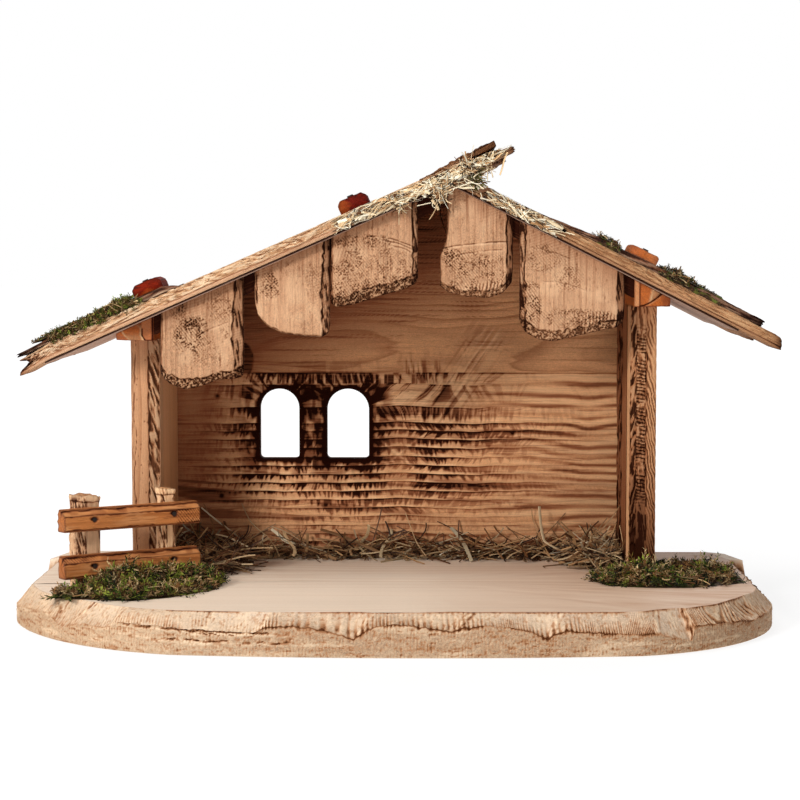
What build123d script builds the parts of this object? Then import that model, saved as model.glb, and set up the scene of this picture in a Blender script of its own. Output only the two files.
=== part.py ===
from build123d import *
import math
import os

os.makedirs("parts", exist_ok=True)

# ----------------------------------------------------------------------------
# Small wooden stable on a thick base board.  Millimetres, +Z up, the open
# front faces -Y.  The origin is the middle of the whole object's box, on the
# surface that the base rests on.
# ----------------------------------------------------------------------------

# --- base board -------------------------------------------------------------
BASE_T = 19.0            # thickness
BASE_CHAMFER = 8.0       # carved bevel round the front and the sides
BASE_XL = -184.0         # left side
BASE_XR = 181.0          # right side
BASE_YF = -105.0         # front, at the middle of the convex edge
BASE_YB = 95.5           # straight back edge

# --- house ------------------------------------------------------------------
POST_W = 13.5            # corner posts, square
POST_Y0 = 8.7            # front faces of the posts
LEFT_IN = -117.0         # inner faces of the left post and wall
RIGHT_IN = 114.5         # inner faces of the right post and wall
LEFT_TOP = 136.8         # left post and wall height above the floor
RIGHT_TOP = 153.3        # right post and wall height
WALL_T = 8.0             # wall thickness
BACK_Y0 = 82.4           # inner face of the back wall
SEAM_Z = 115.6           # glue seam between the two back wall boards
TONGUE_T = 3.0           # wall tongue in the post
TONGUE_L = 4.0

# --- windows ----------------------------------------------------------------
WIN_Z0 = 70.4            # sills
WIN_Z1 = 107.2           # crowns
WIN_L = (-73.4, -52.8)   # left window, from and to
WIN_R = (-38.0, -15.9)   # right window, from and to
WIN_CORNER = 2.0         # rounded sill corners

# --- roof -------------------------------------------------------------------
RIDGE_X = 25.9           # where the two undersides meet
RIDGE_Z = 211.4
SLOPE_L = 23.73          # degrees
SLOPE_R = 26.88
ROOF_YF = -21.5          # front edge
ROOF_YB = 105.0          # back edge
PANEL_T = 1.0            # thin sheathing
BOARD_TL = 7.0           # rough boards, left slope
BOARD_TR = 6.0           # rough boards, right slope
COVER_T = 3.4            # stained cover boards
BATTEN_W = 15.0          # short battens across the boards
BATTEN_T = 5.8
PLATE_OUT = 19.5         # width of the wall plates

# --- gable rafters and shingles ---------------------------------------------
RAFTER_Y = (-12.0, -4.0)
RAFTER_H = 9.0           # vertical height of a rafter
SHINGLE_Y = (-16.0, -12.0)

# --- fence ------------------------------------------------------------------
FENCE_ANGLE = 32.5       # degrees, right end further back
FENCE_POST = 11.5
FENCE_POST_R = 7.2       # the right post is thinner
FENCE_L = (-148.75, -28.73)
FENCE_SPAN = 41.56       # from post to post along the rails
RAIL_MID = 19.81         # middle of the rails from the left post
FENCE_TOP_L = 64.5
FENCE_TOP_R = 65.5
RAIL_T = 7.0
RAIL_H = 10.8
RAIL_LEN = 72.7
RAIL_Z_LOW = 25.6
RAIL_Z_UP = 47.8

# --- fasteners --------------------------------------------------------------
SCREW_D = 3.0
SCREW_HEAD = 5.8
SCREW_LEN = 32.0
SCREW_LEN_FENCE = 28.0
PIN_D = 1.2
NAIL_D = 1.4
NAIL_HEAD = 3.0


def prism_y(pts, y0, y1):
    """Polygon in the XZ plane, extruded from y0 to y1."""
    wire = Wire.make_polygon([Vector(x, y0, z) for x, z in pts], close=True)
    return extrude(Face(wire), amount=y1 - y0, dir=(0, 1, 0))


def prism_z(pts, z0, z1):
    """Polygon in the XY plane, extruded from z0 to z1."""
    wire = Wire.make_polygon([Vector(x, y, z0) for x, y in pts], close=True)
    return extrude(Face(wire), amount=z1 - z0, dir=(0, 0, 1))


def block(x0, x1, y0, y1, z0, z1):
    return Pos((x0 + x1) / 2, (y0 + y1) / 2, (z0 + z1) / 2) * Box(x1 - x0, y1 - y0, z1 - z0)


def rod(start, direction, diameter, length):
    return Plane(origin=start, z_dir=direction) * Cylinder(
        diameter / 2, length, align=(Align.CENTER, Align.CENTER, Align.MIN))


def cone(start, direction, d0, d1, length):
    return Plane(origin=start, z_dir=direction) * Cone(
        d0 / 2, d1 / 2, length, align=(Align.CENTER, Align.CENTER, Align.MIN))


# --- slope frames: s along the slope, n square to it -------------------------
AL, AR = math.radians(SLOPE_L), math.radians(SLOPE_R)


def left_pt(s, n):
    return (RIDGE_X + s * math.cos(AL) - n * math.sin(AL),
            RIDGE_Z + s * math.sin(AL) + n * math.cos(AL))


def right_pt(s, n):
    return (RIDGE_X + s * math.cos(AR) + n * math.sin(AR),
            RIDGE_Z - s * math.sin(AR) + n * math.cos(AR))


def left_under(x):
    return RIDGE_Z + (x - RIDGE_X) * math.tan(AL)


def right_under(x):
    return RIDGE_Z - (x - RIDGE_X) * math.tan(AR)


def meet(n_left, n_right):
    """Crossing of a line at n_left on the left slope and n_right on the right."""
    x0, z0 = left_pt(0, n_left)
    x1, z1 = right_pt(0, n_right)
    tl, tr = math.tan(AL), -math.tan(AR)
    x = (z1 - z0 + tl * x0 - tr * x1) / (tl - tr)
    return (x, z0 + tl * (x - x0))


def left_s(x, n):
    """s of the point at x on the left line n."""
    return (x - RIDGE_X + n * math.sin(AL)) / math.cos(AL)


def right_s(x, n):
    return (x - RIDGE_X - n * math.sin(AR)) / math.cos(AR)


nodes = {}

# ----------------------------------------------------------------------------
# base board: straight sides and back, large rounded front corners, a gently
# convex front and a bevel round the top
# ----------------------------------------------------------------------------


def base_outline(inset, z):
    """Closed plan of the base, drawn in by inset on the front and the sides."""
    d = inset
    xl, xr = BASE_XL + d, BASE_XR - d
    with BuildSketch(Plane.XY.offset(z)) as plan:
        with BuildLine():
            Line((xl, -18), (xl, 66))
            Line((xl, 66), (xl + 7, BASE_YB))
            Line((xl + 7, BASE_YB), (xr - 8, BASE_YB))
            Line((xr - 8, BASE_YB), (xr, 66))
            Line((xr, 66), (xr, -22))
            ThreePointArc((xr, -22), (160.5 - 0.74 * d, -66 + 0.67 * d), (112 - 0.24 * d, -98.5 + 0.97 * d))
            ThreePointArc((112 - 0.24 * d, -98.5 + 0.97 * d), (0, BASE_YF + d), (-100 + 0.24 * d, -98.5 + 0.97 * d))
            ThreePointArc((-100 + 0.24 * d, -98.5 + 0.97 * d), (-160 + 0.72 * d, -60.5 + 0.69 * d), (xl, -18))
        make_face()
    return plan.sketch


BASE_EDGE = BASE_T - BASE_CHAMFER        # height of the upright part of the edge
base = extrude(base_outline(0.0, 0.0), amount=BASE_EDGE)
base += loft([base_outline(0.0, BASE_EDGE), base_outline(BASE_CHAMFER, BASE_T)], ruled=True)

# ----------------------------------------------------------------------------
# corner posts, grooved behind for the wall tongues
# ----------------------------------------------------------------------------
LEFT_OUT = LEFT_IN - POST_W
RIGHT_OUT = RIGHT_IN + POST_W
POST_Y1 = POST_Y0 + POST_W
left_post = block(LEFT_OUT, LEFT_IN, POST_Y0, POST_Y1, BASE_T, LEFT_TOP)
right_post = block(RIGHT_IN, RIGHT_OUT, POST_Y0, POST_Y1, BASE_T, RIGHT_TOP)

left_wall = block(LEFT_IN - WALL_T, LEFT_IN, POST_Y1, BACK_Y0, BASE_T, LEFT_TOP)
right_wall = block(RIGHT_IN, RIGHT_IN + WALL_T, POST_Y1, BACK_Y0, BASE_T, RIGHT_TOP)
lx = LEFT_IN - WALL_T / 2
rx = RIGHT_IN + WALL_T / 2
left_tongue = block(lx - TONGUE_T / 2, lx + TONGUE_T / 2, POST_Y1 - TONGUE_L, POST_Y1, BASE_T, LEFT_TOP)
right_tongue = block(rx - TONGUE_T / 2, rx + TONGUE_T / 2, POST_Y1 - TONGUE_L, POST_Y1, BASE_T, RIGHT_TOP)
left_post -= left_tongue
right_post -= right_tongue
left_wall += left_tongue
right_wall += right_tongue

# ----------------------------------------------------------------------------
# back wall: two edge-glued boards, windows in the lower one
# ----------------------------------------------------------------------------
BACK_Y1 = BACK_Y0 + WALL_T
wl, wr = LEFT_IN - WALL_T, RIGHT_IN + WALL_T
back_lower = block(wl, wr, BACK_Y0, BACK_Y1, BASE_T, SEAM_Z)


def window(x0, x1):
    r = (x1 - x0) / 2
    cx = (x0 + x1) / 2
    c = WIN_CORNER
    with BuildSketch(Plane(origin=(0, BACK_Y1 + 2, 0), x_dir=(1, 0, 0), z_dir=(0, -1, 0))) as sk:
        with BuildLine():
            Line((x0 + c, WIN_Z0), (x1 - c, WIN_Z0))
            RadiusArc((x1 - c, WIN_Z0), (x1, WIN_Z0 + c), -c)
            Line((x1, WIN_Z0 + c), (x1, WIN_Z1 - r))
            ThreePointArc((x1, WIN_Z1 - r), (cx, WIN_Z1), (x0, WIN_Z1 - r))
            Line((x0, WIN_Z1 - r), (x0, WIN_Z0 + c))
            RadiusArc((x0, WIN_Z0 + c), (x0 + c, WIN_Z0), -c)
        make_face()
    return extrude(sk.sketch, amount=WALL_T + 4)


back_lower -= window(*WIN_L)
back_lower -= window(*WIN_R)
back_upper = prism_y([(wl, SEAM_Z), (wr, SEAM_Z), (wr, right_under(wr)),
                      (RIDGE_X, RIDGE_Z), (wl, left_under(wl))], BACK_Y0, BACK_Y1)

# ----------------------------------------------------------------------------
# wall plates on the posts and walls, tops bevelled to the roof, front ends
# scooped on the outside
# ----------------------------------------------------------------------------
PLATE_Y0 = RAFTER_Y[0]
pl_out = LEFT_IN - PLATE_OUT
pr_out = RIGHT_IN + PLATE_OUT - 1.5
left_plate = prism_y([(pl_out, LEFT_TOP), (LEFT_IN, LEFT_TOP), (LEFT_IN, left_under(LEFT_IN)),
                      (pl_out, left_under(pl_out))], PLATE_Y0, BACK_Y0)
right_plate = prism_y([(RIGHT_IN, RIGHT_TOP), (pr_out, RIGHT_TOP), (pr_out, right_under(pr_out)),
                       (RIGHT_IN, right_under(RIGHT_IN))], PLATE_Y0, BACK_Y0)
left_plate -= Pos(pl_out - 3, PLATE_Y0 - 6, LEFT_TOP + 2) * Cylinder(13, 60)
right_plate -= Pos(pr_out + 3, PLATE_Y0 - 6, RIGHT_TOP + 2) * Cylinder(13, 60)

# ----------------------------------------------------------------------------
# gable rafters behind the shingles
# ----------------------------------------------------------------------------
left_rafter = prism_y([(LEFT_IN, left_under(LEFT_IN)), (RIDGE_X, RIDGE_Z),
                       (RIDGE_X, RIDGE_Z - RAFTER_H), (LEFT_IN, left_under(LEFT_IN) - RAFTER_H)], *RAFTER_Y)
right_rafter = prism_y([(RIDGE_X, RIDGE_Z), (RIGHT_IN, right_under(RIGHT_IN)),
                        (RIGHT_IN, right_under(RIGHT_IN) - RAFTER_H), (RIDGE_X, RIDGE_Z - RAFTER_H)], *RAFTER_Y)

# ----------------------------------------------------------------------------
# roof: thin panels mitred at the ridge, boards along the slope, cover boards
# over the board seams, battens across
# ----------------------------------------------------------------------------
PANEL_XL = -168.0
PANEL_XR = 166.0
panel_top = meet(PANEL_T, PANEL_T)
left_panel = prism_y([left_pt(left_s(PANEL_XL, 0), 0), (RIDGE_X, RIDGE_Z), panel_top,
                      left_pt(left_s(PANEL_XL, 0), PANEL_T)], ROOF_YF, ROOF_YB)
right_panel = prism_y([(RIDGE_X, RIDGE_Z), right_pt(right_s(PANEL_XR, 0), 0),
                       right_pt(right_s(PANEL_XR, 0), PANEL_T), panel_top], ROOF_YF, ROOF_YB)

BOARD_SEAMS = [ROOF_YF, 9.0, 43.5, 72.0, ROOF_YB]       # board edges, front to back
LEFT_ENDS = [-178.0, -171.0, -180.0, -174.5]            # eave ends of the left boards
LEFT_TIPS = [57.0, 50.0, 54.0, 52.0]                    # how far they pass the ridge
RIGHT_ENDS = [181.2875, 175.5, 180.0, 177.5]             # eave ends of the right boards
nl0, nl1 = PANEL_T, PANEL_T + BOARD_TL
nr0, nr1 = PANEL_T, PANEL_T + BOARD_TR
left_boards, right_boards = [], []
for i in range(4):
    y0, y1 = BOARD_SEAMS[i], BOARD_SEAMS[i + 1]
    se, st = left_s(LEFT_ENDS[i], nl0), left_s(LEFT_TIPS[i], nl0)
    left_boards.append(prism_y([left_pt(se, nl0), left_pt(st, nl0), left_pt(st, nl1), left_pt(se, nl1)], y0, y1))
    sr = right_s(RIGHT_ENDS[i], nr0)
    right_boards.append(prism_y([meet(nl0, nr0), right_pt(sr, nr0), right_pt(sr, nr1), meet(nl0, nr1)], y0, y1))

COVER_YL = [(-20.0, 16.0), (24.0, 56.5), (62.0, 98.0)]
COVER_YR = [(-17.0, 18.0), (26.0, 56.5), (62.0, 96.0)]
LEFT_COVER = [(-181.0, -104.0), (-173.0, -115.0), (-177.0, -119.0)]
RIGHT_COVER = [(62.0, 174.8), (66.0, 171.0), (61.0, 173.5)]
nl2, nr2 = nl1 + COVER_T, nr1 + COVER_T
left_covers, right_covers = [], []
for (y0, y1), (xa, xb) in zip(COVER_YL, LEFT_COVER):
    sa, sb = left_s(xa, nl1), left_s(xb, nl1)
    left_covers.append(prism_y([left_pt(sa, nl1), left_pt(sb, nl1), left_pt(sb, nl2), left_pt(sa, nl2)], y0, y1))
for (y0, y1), (xc, xd) in zip(COVER_YR, RIGHT_COVER):
    sc, sd = right_s(xc, nr1), right_s(xd, nr1)
    right_covers.append(prism_y([right_pt(sc, nr1), right_pt(sd, nr1), right_pt(sd, nr2), right_pt(sc, nr2)], y0, y1))

# one board lies along the ridge on top of the left slope
CAP_X = (11.0, 48.0)
ca, cb = left_s(CAP_X[0], nl1), left_s(CAP_X[1], nl1)
ridge_cap = prism_y([left_pt(ca, nl1), left_pt(cb, nl1), left_pt(cb, nl2), left_pt(ca, nl2)], -20.0, 101.0)


def batten_left(x, y0, y1, n, t):
    s = left_s(x, n)
    a, b, c = s - BATTEN_W / 2, s + BATTEN_W / 2, 2.0
    return prism_y([left_pt(a, n), left_pt(b, n), left_pt(b, n + t - c), left_pt(b - c, n + t),
                    left_pt(a + c, n + t), left_pt(a, n + t - c)], y0, y1)


def batten_right(x, y0, y1):
    s = right_s(x, nr2)
    a, b, c = s - BATTEN_W / 2, s + BATTEN_W / 2, 0.9
    return prism_y([right_pt(a, nr2), right_pt(b, nr2), right_pt(b, nr2 + BATTEN_TR - c),
                    right_pt(b - c, nr2 + BATTEN_TR), right_pt(a + c, nr2 + BATTEN_TR),
                    right_pt(a, nr2 + BATTEN_TR - c)], y0, y1)


BATTEN_XL1, BATTEN_XL2, BATTEN_XR = -119.0, -19.5, 118.0
BATTEN_T2 = 6.6          # the upper left one lies straight on the boards
BATTEN_TR = 4.4          # the right one is thinner
batten_l1 = batten_left(BATTEN_XL1, -15.0, 12.0, nl2, BATTEN_T)
batten_l2 = batten_left(BATTEN_XL2, -13.0, 24.0, nl1, BATTEN_T2)
batten_r = batten_right(BATTEN_XR, -14.0, 14.0)

# ----------------------------------------------------------------------------
# five shingles under the front edge; tops cut to the roof slope
# ----------------------------------------------------------------------------
shingle_1 = prism_y([(-113.4, left_under(-113.4)), (-113.6, 121.0), (-109.0, 116.0), (-101.7, 113.3),
                     (-94.0, 115.0), (-86.0, 118.2), (-78.0, 118.6), (-74.2, 119.6), (-73.4, 123.0),
                     (-73.4, left_under(-73.4))], *SHINGLE_Y)
shingle_2 = prism_y([(-68.1, left_under(-68.1)), (-68.2, 155.0), (-66.5, 149.0), (-62.0, 143.8),
                     (-55.0, 140.6), (-47.0, 139.5), (-36.0, 138.6), (-32.6, 140.6), (-31.8, 145.0),
                     (-31.8, left_under(-31.8))], *SHINGLE_Y)
shingle_3 = prism_y([(-31.2, left_under(-31.2)), (-31.2, 155.0), (-29.0, 153.2), (-20.0, 154.6),
                     (-8.0, 158.5), (4.0, 161.8), (9.5, 164.6), (10.5, 167.5),
                     (10.5, left_under(10.5))], *SHINGLE_Y)
shingle_4 = prism_y([(24.6, left_under(24.6)), (24.2, 186.0), (21.2, 178.0), (21.2, 163.5), (25.0, 160.4),
                     (33.0, 158.3), (44.0, 157.6), (51.0, 159.8), (55.6, 165.0), (56.0, 171.0),
                     (56.0, right_under(56.0)), (RIDGE_X, RIDGE_Z)], *SHINGLE_Y)
shingle_5 = prism_y([(59.3, right_under(59.3)), (59.3, 147.5), (62.5, 141.0), (69.0, 137.4), (76.0, 136.8),
                     (86.0, 139.2), (98.0, 142.0), (106.5, 143.6), (109.4, 147.0), (109.7, 152.0),
                     (109.7, right_under(109.7))], *SHINGLE_Y)

# ----------------------------------------------------------------------------
# fence: two posts on the base, two rails nailed to their front faces
# ----------------------------------------------------------------------------
fa = math.radians(FENCE_ANGLE)
f_along = (math.cos(fa), math.sin(fa))
f_front = (math.sin(fa), -math.cos(fa))


def fence_post(at, top, side=FENCE_POST):
    b = Box(side, side, top - BASE_T, align=(Align.CENTER, Align.CENTER, Align.MIN))
    return Pos(at[0], at[1], BASE_T) * Rot(0, 0, FENCE_ANGLE) * b


def fence_rail(z):
    off = FENCE_POST / 2 + RAIL_T / 2
    b = Box(RAIL_LEN, RAIL_T, RAIL_H, align=(Align.CENTER, Align.CENTER, Align.MIN))
    return Pos(FENCE_L[0] + f_front[0] * off + f_along[0] * RAIL_MID, FENCE_L[1] + f_front[1] * off + f_along[1] * RAIL_MID, z) \
        * Rot(0, 0, FENCE_ANGLE) * b


fence_post_l = fence_post(FENCE_L, FENCE_TOP_L)
# the front faces of both posts lie in one plane, under the rails
f_fwd = (FENCE_POST - FENCE_POST_R) / 2
FENCE_R = (FENCE_L[0] + f_along[0] * FENCE_SPAN + f_front[0] * f_fwd, FENCE_L[1] + f_along[1] * FENCE_SPAN + f_front[1] * f_fwd)
fence_post_r = fence_post(FENCE_R, FENCE_TOP_R, FENCE_POST_R)
rail_low = fence_rail(RAIL_Z_LOW)
rail_up = fence_rail(RAIL_Z_UP)

# ----------------------------------------------------------------------------
# soft dressing: moss and straw as plain closed pads
# ----------------------------------------------------------------------------
moss_base_left = prism_z([(-160, -48), (-161, -58), (-141, -63), (-122, -66), (-105, -57), (-86, -34),
                          (-85, -5), (-98, -11)], BASE_T, BASE_T + 6.0)
moss_base_right = prism_z([(96, -4), (103, -19), (122, -25), (141, -25), (161, -15), (170, -9), (170, 22),
                           (155, 45), (130.5, 48), (130.5, 6.5), (98, 6.5)], BASE_T, BASE_T + 6.0)
straw_left = prism_z([(-115.5, 26), (-104, 14), (-82, 16), (-78.5, 81.6), (-115.5, 81.6)], BASE_T, BASE_T + 7.0)
straw_back = prism_z([(-78, 66), (-20, 69), (40, 67), (89.5, 65), (89.5, 81.6), (-78, 81.6)], BASE_T, BASE_T + 5.0)
straw_right = prism_z([(90, 60), (96, 32), (113.5, 28), (113.5, 81.6), (90, 81.6)], BASE_T, BASE_T + 7.0)



def pad_left(x0, x1, n0, h, y0, y1):
    sa, sb = left_s(x0, n0), left_s(x1, n0)
    return prism_y([left_pt(sa, n0), left_pt(sb, n0), left_pt(sb - 2, n0 + h), left_pt(sa + 2, n0 + h)], y0, y1)


def pad_right(x0, x1, n0, h, y0, y1):
    sa, sb = right_s(x0, n0), right_s(x1, n0)
    return prism_y([right_pt(sa, n0), right_pt(sb, n0), right_pt(sb - 2, n0 + h), right_pt(sa + 2, n0 + h)], y0, y1)


moss_roof_left = pad_left(-175.0, -128.5, nl2, 3.4, COVER_YL[0][0] + 0.5, 13.0)
FRONT_R = COVER_YR[0][0]
moss_roof_right = pad_right(128.0, 157.0, nr1, 5.2, ROOF_YF + 1.5, FRONT_R) \
    + pad_right(128.0, 157.0, nr2, 3.4, FRONT_R, 14.0)
moss_roof_top = pad_right(97.0, 107.5, nr1, 5.2, ROOF_YF + 1.5, FRONT_R) \
    + pad_right(97.0, 107.5, nr2, 3.4, FRONT_R, 12.0)

# straw tucked under the boards that pass the ridge
q = meet(nl0, nr1)
tip = left_pt(left_s(38.5, nl0), nl0)
foot = right_pt(right_s(41.5, nr1), nr1)
e = 0.15
straw_ridge = prism_y([(q[0] + 1.2, q[1]), (foot[0], foot[1] + e), (foot[0] - 0.6, foot[1] + 4.0),
                       (tip[0], tip[1] - e)], ROOF_YF + 1.0, ROOF_YB - 2.0)
# straw stuck along the front edge round the ridge
a0 = left_pt(left_s(-26.0, nl0), nl0)
a1 = left_pt(left_s(-26.0, nl1), nl1)
b0 = left_pt(left_s(50.0, nl0), nl0)
b1 = left_pt(left_s(50.0, nl1), nl1)
straw_edge_left = prism_y([a0, b0, b1, a1], ROOF_YF - 3.2, ROOF_YF)
c0 = right_pt(right_s(58.0, nr0), nr0)
c1 = right_pt(right_s(58.0, nr1), nr1)
d0 = right_pt(right_s(78.0, nr0), nr0)
d1 = right_pt(right_s(78.0, nr1), nr1)
straw_edge_right = prism_y([c0, d0, d1, c1], ROOF_YF - 2.4, ROOF_YF)

# ----------------------------------------------------------------------------
# fasteners.  Each one is cut out of what it passes through.
# ----------------------------------------------------------------------------
screws = []


def base_screw(x, y, length):
    sink = cone((x, y, 0.3), (0, 0, 1), SCREW_HEAD, SCREW_D, 2.2)
    shank = rod((x, y, 2.5), (0, 0, 1), SCREW_D, length - 5.0)
    point = cone((x, y, 2.5 + length - 5.0), (0, 0, 1), SCREW_D, 0.8, 2.5)
    solid = sink + shank + point
    mouth = rod((x, y, -1.0), (0, 0, 1), SCREW_HEAD, 1.3)
    screws.append(solid)
    return solid, mouth


def drive(x, y, target, length=SCREW_LEN):
    global base
    solid, mouth = base_screw(x, y, length)
    base = base - solid - mouth
    return target - solid


left_post = drive((LEFT_OUT + LEFT_IN) / 2, POST_Y0 + 5.0, left_post)
right_post = drive((RIGHT_OUT + RIGHT_IN) / 2, POST_Y0 + 5.0, right_post)
left_wall = drive(lx, 60.0, left_wall)
right_wall = drive(rx, 60.0, right_wall)
back_lower = drive(-95.0, (BACK_Y0 + BACK_Y1) / 2, back_lower)
back_lower = drive(0.0, (BACK_Y0 + BACK_Y1) / 2, back_lower)
back_lower = drive(95.0, (BACK_Y0 + BACK_Y1) / 2, back_lower)
fence_post_l = drive(FENCE_L[0], FENCE_L[1], fence_post_l, SCREW_LEN_FENCE)
fence_post_r = drive(FENCE_R[0], FENCE_R[1], fence_post_r, SCREW_LEN_FENCE)

wall_pins = []
for x, side in ((lx, "l"), (rx, "r")):
    for z in (34.0, 64.0, 98.0, 128.0):
        pin = rod((x, BACK_Y1 - 0.3, z), (0, -1, 0), PIN_D, 20.0)
        mouth = rod((x, BACK_Y1 + 1.0, z), (0, -1, 0), PIN_D, 1.3)
        wall_pins.append(pin)
        if z < SEAM_Z:
            back_lower = back_lower - pin - mouth
        else:
            back_upper = back_upper - pin - mouth
        if side == "l":
            left_wall -= pin
        else:
            right_wall -= pin

plate_pins = []
for x, y in ((-124.0, POST_Y0 + 7.0), (-121.0, 66.0)):
    ztop = left_under(x) - 0.8
    pin = rod((x, y, ztop - 24.0), (0, 0, 1), PIN_D, 24.0)
    left_plate = left_plate - pin - rod((x, y, ztop), (0, 0, 1), PIN_D, 3.0)
    plate_pins.append(pin)
    if y < POST_Y1:
        left_post -= pin
    else:
        left_wall -= pin
for x, y in ((121.5, POST_Y0 + 7.0), (118.5, 66.0)):
    ztop = right_under(x) - 0.8
    pin = rod((x, y, ztop - 24.0), (0, 0, 1), PIN_D, 24.0)
    right_plate = right_plate - pin - rod((x, y, ztop), (0, 0, 1), PIN_D, 3.0)
    plate_pins.append(pin)
    if y < POST_Y1:
        right_post -= pin
    else:
        right_wall -= pin

roof_pins = []
RAFTER_MID = (RAFTER_Y[0] + RAFTER_Y[1]) / 2
BACK_MID = (BACK_Y0 + BACK_Y1) / 2


def roof_pin(pt, y, normal, top, depth):
    x, z = pt
    n = (normal[0], 0, normal[1])
    pin = Plane(origin=(x - n[0] * depth, y, z - n[2] * depth), z_dir=n) * Cylinder(
        PIN_D / 2, depth + top - 0.3, align=(Align.CENTER, Align.CENTER, Align.MIN))
    mouth = Plane(origin=(x + n[0] * (top - 0.3), y, z + n[2] * (top - 0.3)), z_dir=n) * Cylinder(
        PIN_D / 2, 0.6, align=(Align.CENTER, Align.CENTER, Align.MIN))
    roof_pins.append(pin)
    return pin, mouth


nrm_l = (-math.sin(AL), math.cos(AL))
nrm_r = (math.sin(AR), math.cos(AR))
for s in (-140.0, -90.0, -36.0):
    pin, mouth = roof_pin(left_pt(s, 0), RAFTER_MID, nrm_l, nl1, 6.5)
    left_boards[0] = left_boards[0] - pin - mouth
    left_panel -= pin
    left_rafter -= pin
    pin, mouth = roof_pin(left_pt(s, 0), BACK_MID + 3.0, nrm_l, nl1, 9.0)
    left_boards[3] = left_boards[3] - pin - mouth
    left_panel -= pin
    back_upper -= pin
for s in (44.0, 84.0):
    pin, mouth = roof_pin(right_pt(s, 0), RAFTER_MID, nrm_r, nr1, 6.5)
    right_boards[0] = right_boards[0] - pin - mouth
    right_panel -= pin
    right_rafter -= pin
    pin, mouth = roof_pin(right_pt(s, 0), BACK_MID + 3.0, nrm_r, nr1, 9.0)
    right_boards[3] = right_boards[3] - pin - mouth
    right_panel -= pin
    back_upper -= pin

batten_nails = []


def batten_nail(pt, y, normal, reach):
    x, z = pt
    n = (-normal[0], 0, -normal[1])
    head = rod((x - n[0] * 0.7, y, z - n[2] * 0.7), n, NAIL_HEAD, 0.7)
    nail = head + rod((x, y, z), n, NAIL_D, reach)
    batten_nails.append(nail)
    return nail


reach = BATTEN_T + COVER_T + 3.6
k = 0                    # the front cover boards carry two of the battens
for b, y in ((0, -8.0), (0, 5.0)):
    nail = batten_nail(left_pt(left_s(BATTEN_XL1, nl2), nl2 + BATTEN_T), y, nrm_l, reach)
    batten_l1 -= nail
    left_covers[k] -= nail
    left_boards[b] -= nail
    nail = batten_nail(left_pt(left_s(BATTEN_XL2, nl1), nl1 + BATTEN_T2), y, nrm_l, BATTEN_T2 + 3.6)
    batten_l2 -= nail
    left_boards[b] -= nail
    nail = batten_nail(right_pt(right_s(BATTEN_XR, nr2), nr2 + BATTEN_TR), y, nrm_r, BATTEN_TR + COVER_T + 3.6)
    batten_r -= nail
    right_covers[k] -= nail
    right_boards[b] -= nail

fence_nails = []
for at, side, thick in ((FENCE_L, "l", FENCE_POST), (FENCE_R, "r", FENCE_POST_R)):
    for z, which in ((RAIL_Z_LOW + RAIL_H / 2, "low"), (RAIL_Z_UP + RAIL_H / 2, "up")):
        d = (-f_front[0], -f_front[1], 0)
        face = thick / 2 + RAIL_T
        x, y = at[0] + f_front[0] * face, at[1] + f_front[1] * face
        sunk = 0.6
        head = rod((x + d[0] * sunk, y + d[1] * sunk, z), d, 2.4, 0.8)
        shank = rod((x + d[0] * (sunk + 0.8), y + d[1] * (sunk + 0.8), z), d, 1.3, 10.5)
        nail = head + shank
        mouth = rod((x - d[0], y - d[1], z), d, 2.4, 1.0 + sunk)
        fence_nails.append(nail)
        if which == "low":
            rail_low = rail_low - nail - mouth
        else:
            rail_up = rail_up - nail - mouth
        if side == "l":
            fence_post_l -= nail
        else:
            fence_post_r -= nail

# ----------------------------------------------------------------------------
# one file for each piece
# ----------------------------------------------------------------------------
nodes["base_board"] = base
nodes["left_front_post"] = left_post
nodes["right_front_post"] = right_post
nodes["left_side_wall"] = left_wall
nodes["right_side_wall"] = right_wall
nodes["back_wall_lower"] = back_lower
nodes["back_wall_upper"] = back_upper
nodes["left_wall_plate"] = left_plate
nodes["right_wall_plate"] = right_plate
nodes["left_gable_rafter"] = left_rafter
nodes["right_gable_rafter"] = right_rafter
nodes["left_roof_panel"] = left_panel
nodes["right_roof_panel"] = right_panel
for i in range(4):
    nodes["left_roof_board_%d" % (i + 1)] = left_boards[i]
    nodes["right_roof_board_%d" % (i + 1)] = right_boards[i]
for i in range(3):
    nodes["left_cover_board_%d" % (i + 1)] = left_covers[i]
    nodes["right_cover_board_%d" % (i + 1)] = right_covers[i]
nodes["ridge_cap_board"] = ridge_cap
nodes["left_lower_batten"] = batten_l1
nodes["left_upper_batten"] = batten_l2
nodes["right_batten"] = batten_r
nodes["shingle_1"] = shingle_1
nodes["shingle_2"] = shingle_2
nodes["shingle_3"] = shingle_3
nodes["shingle_4"] = shingle_4
nodes["shingle_5"] = shingle_5
nodes["fence_left_post"] = fence_post_l
nodes["fence_right_post"] = fence_post_r
nodes["fence_lower_rail"] = rail_low
nodes["fence_upper_rail"] = rail_up
nodes["moss_base_left"] = moss_base_left
nodes["moss_base_right"] = moss_base_right
nodes["moss_roof_left"] = moss_roof_left
nodes["moss_roof_right"] = moss_roof_right
nodes["moss_roof_top"] = moss_roof_top
nodes["straw_floor_left"] = straw_left
nodes["straw_floor_back"] = straw_back
nodes["straw_floor_right"] = straw_right
nodes["straw_ridge"] = straw_ridge
nodes["straw_edge_left"] = straw_edge_left
nodes["straw_edge_right"] = straw_edge_right
groups = {"base_screws": screws, "wall_pins": wall_pins, "plate_pins": plate_pins,
          "roof_pins": roof_pins, "batten_nails": batten_nails, "fence_nails": fence_nails}
for name, items in groups.items():
    solids = []
    for it in items:
        solids.extend(it.solids())
    nodes[name] = Compound(solids)

for name, shape in nodes.items():
    export_step(shape, os.path.join("parts", name + ".step"))
print(len(nodes), "nodes")
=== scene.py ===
import math

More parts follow.
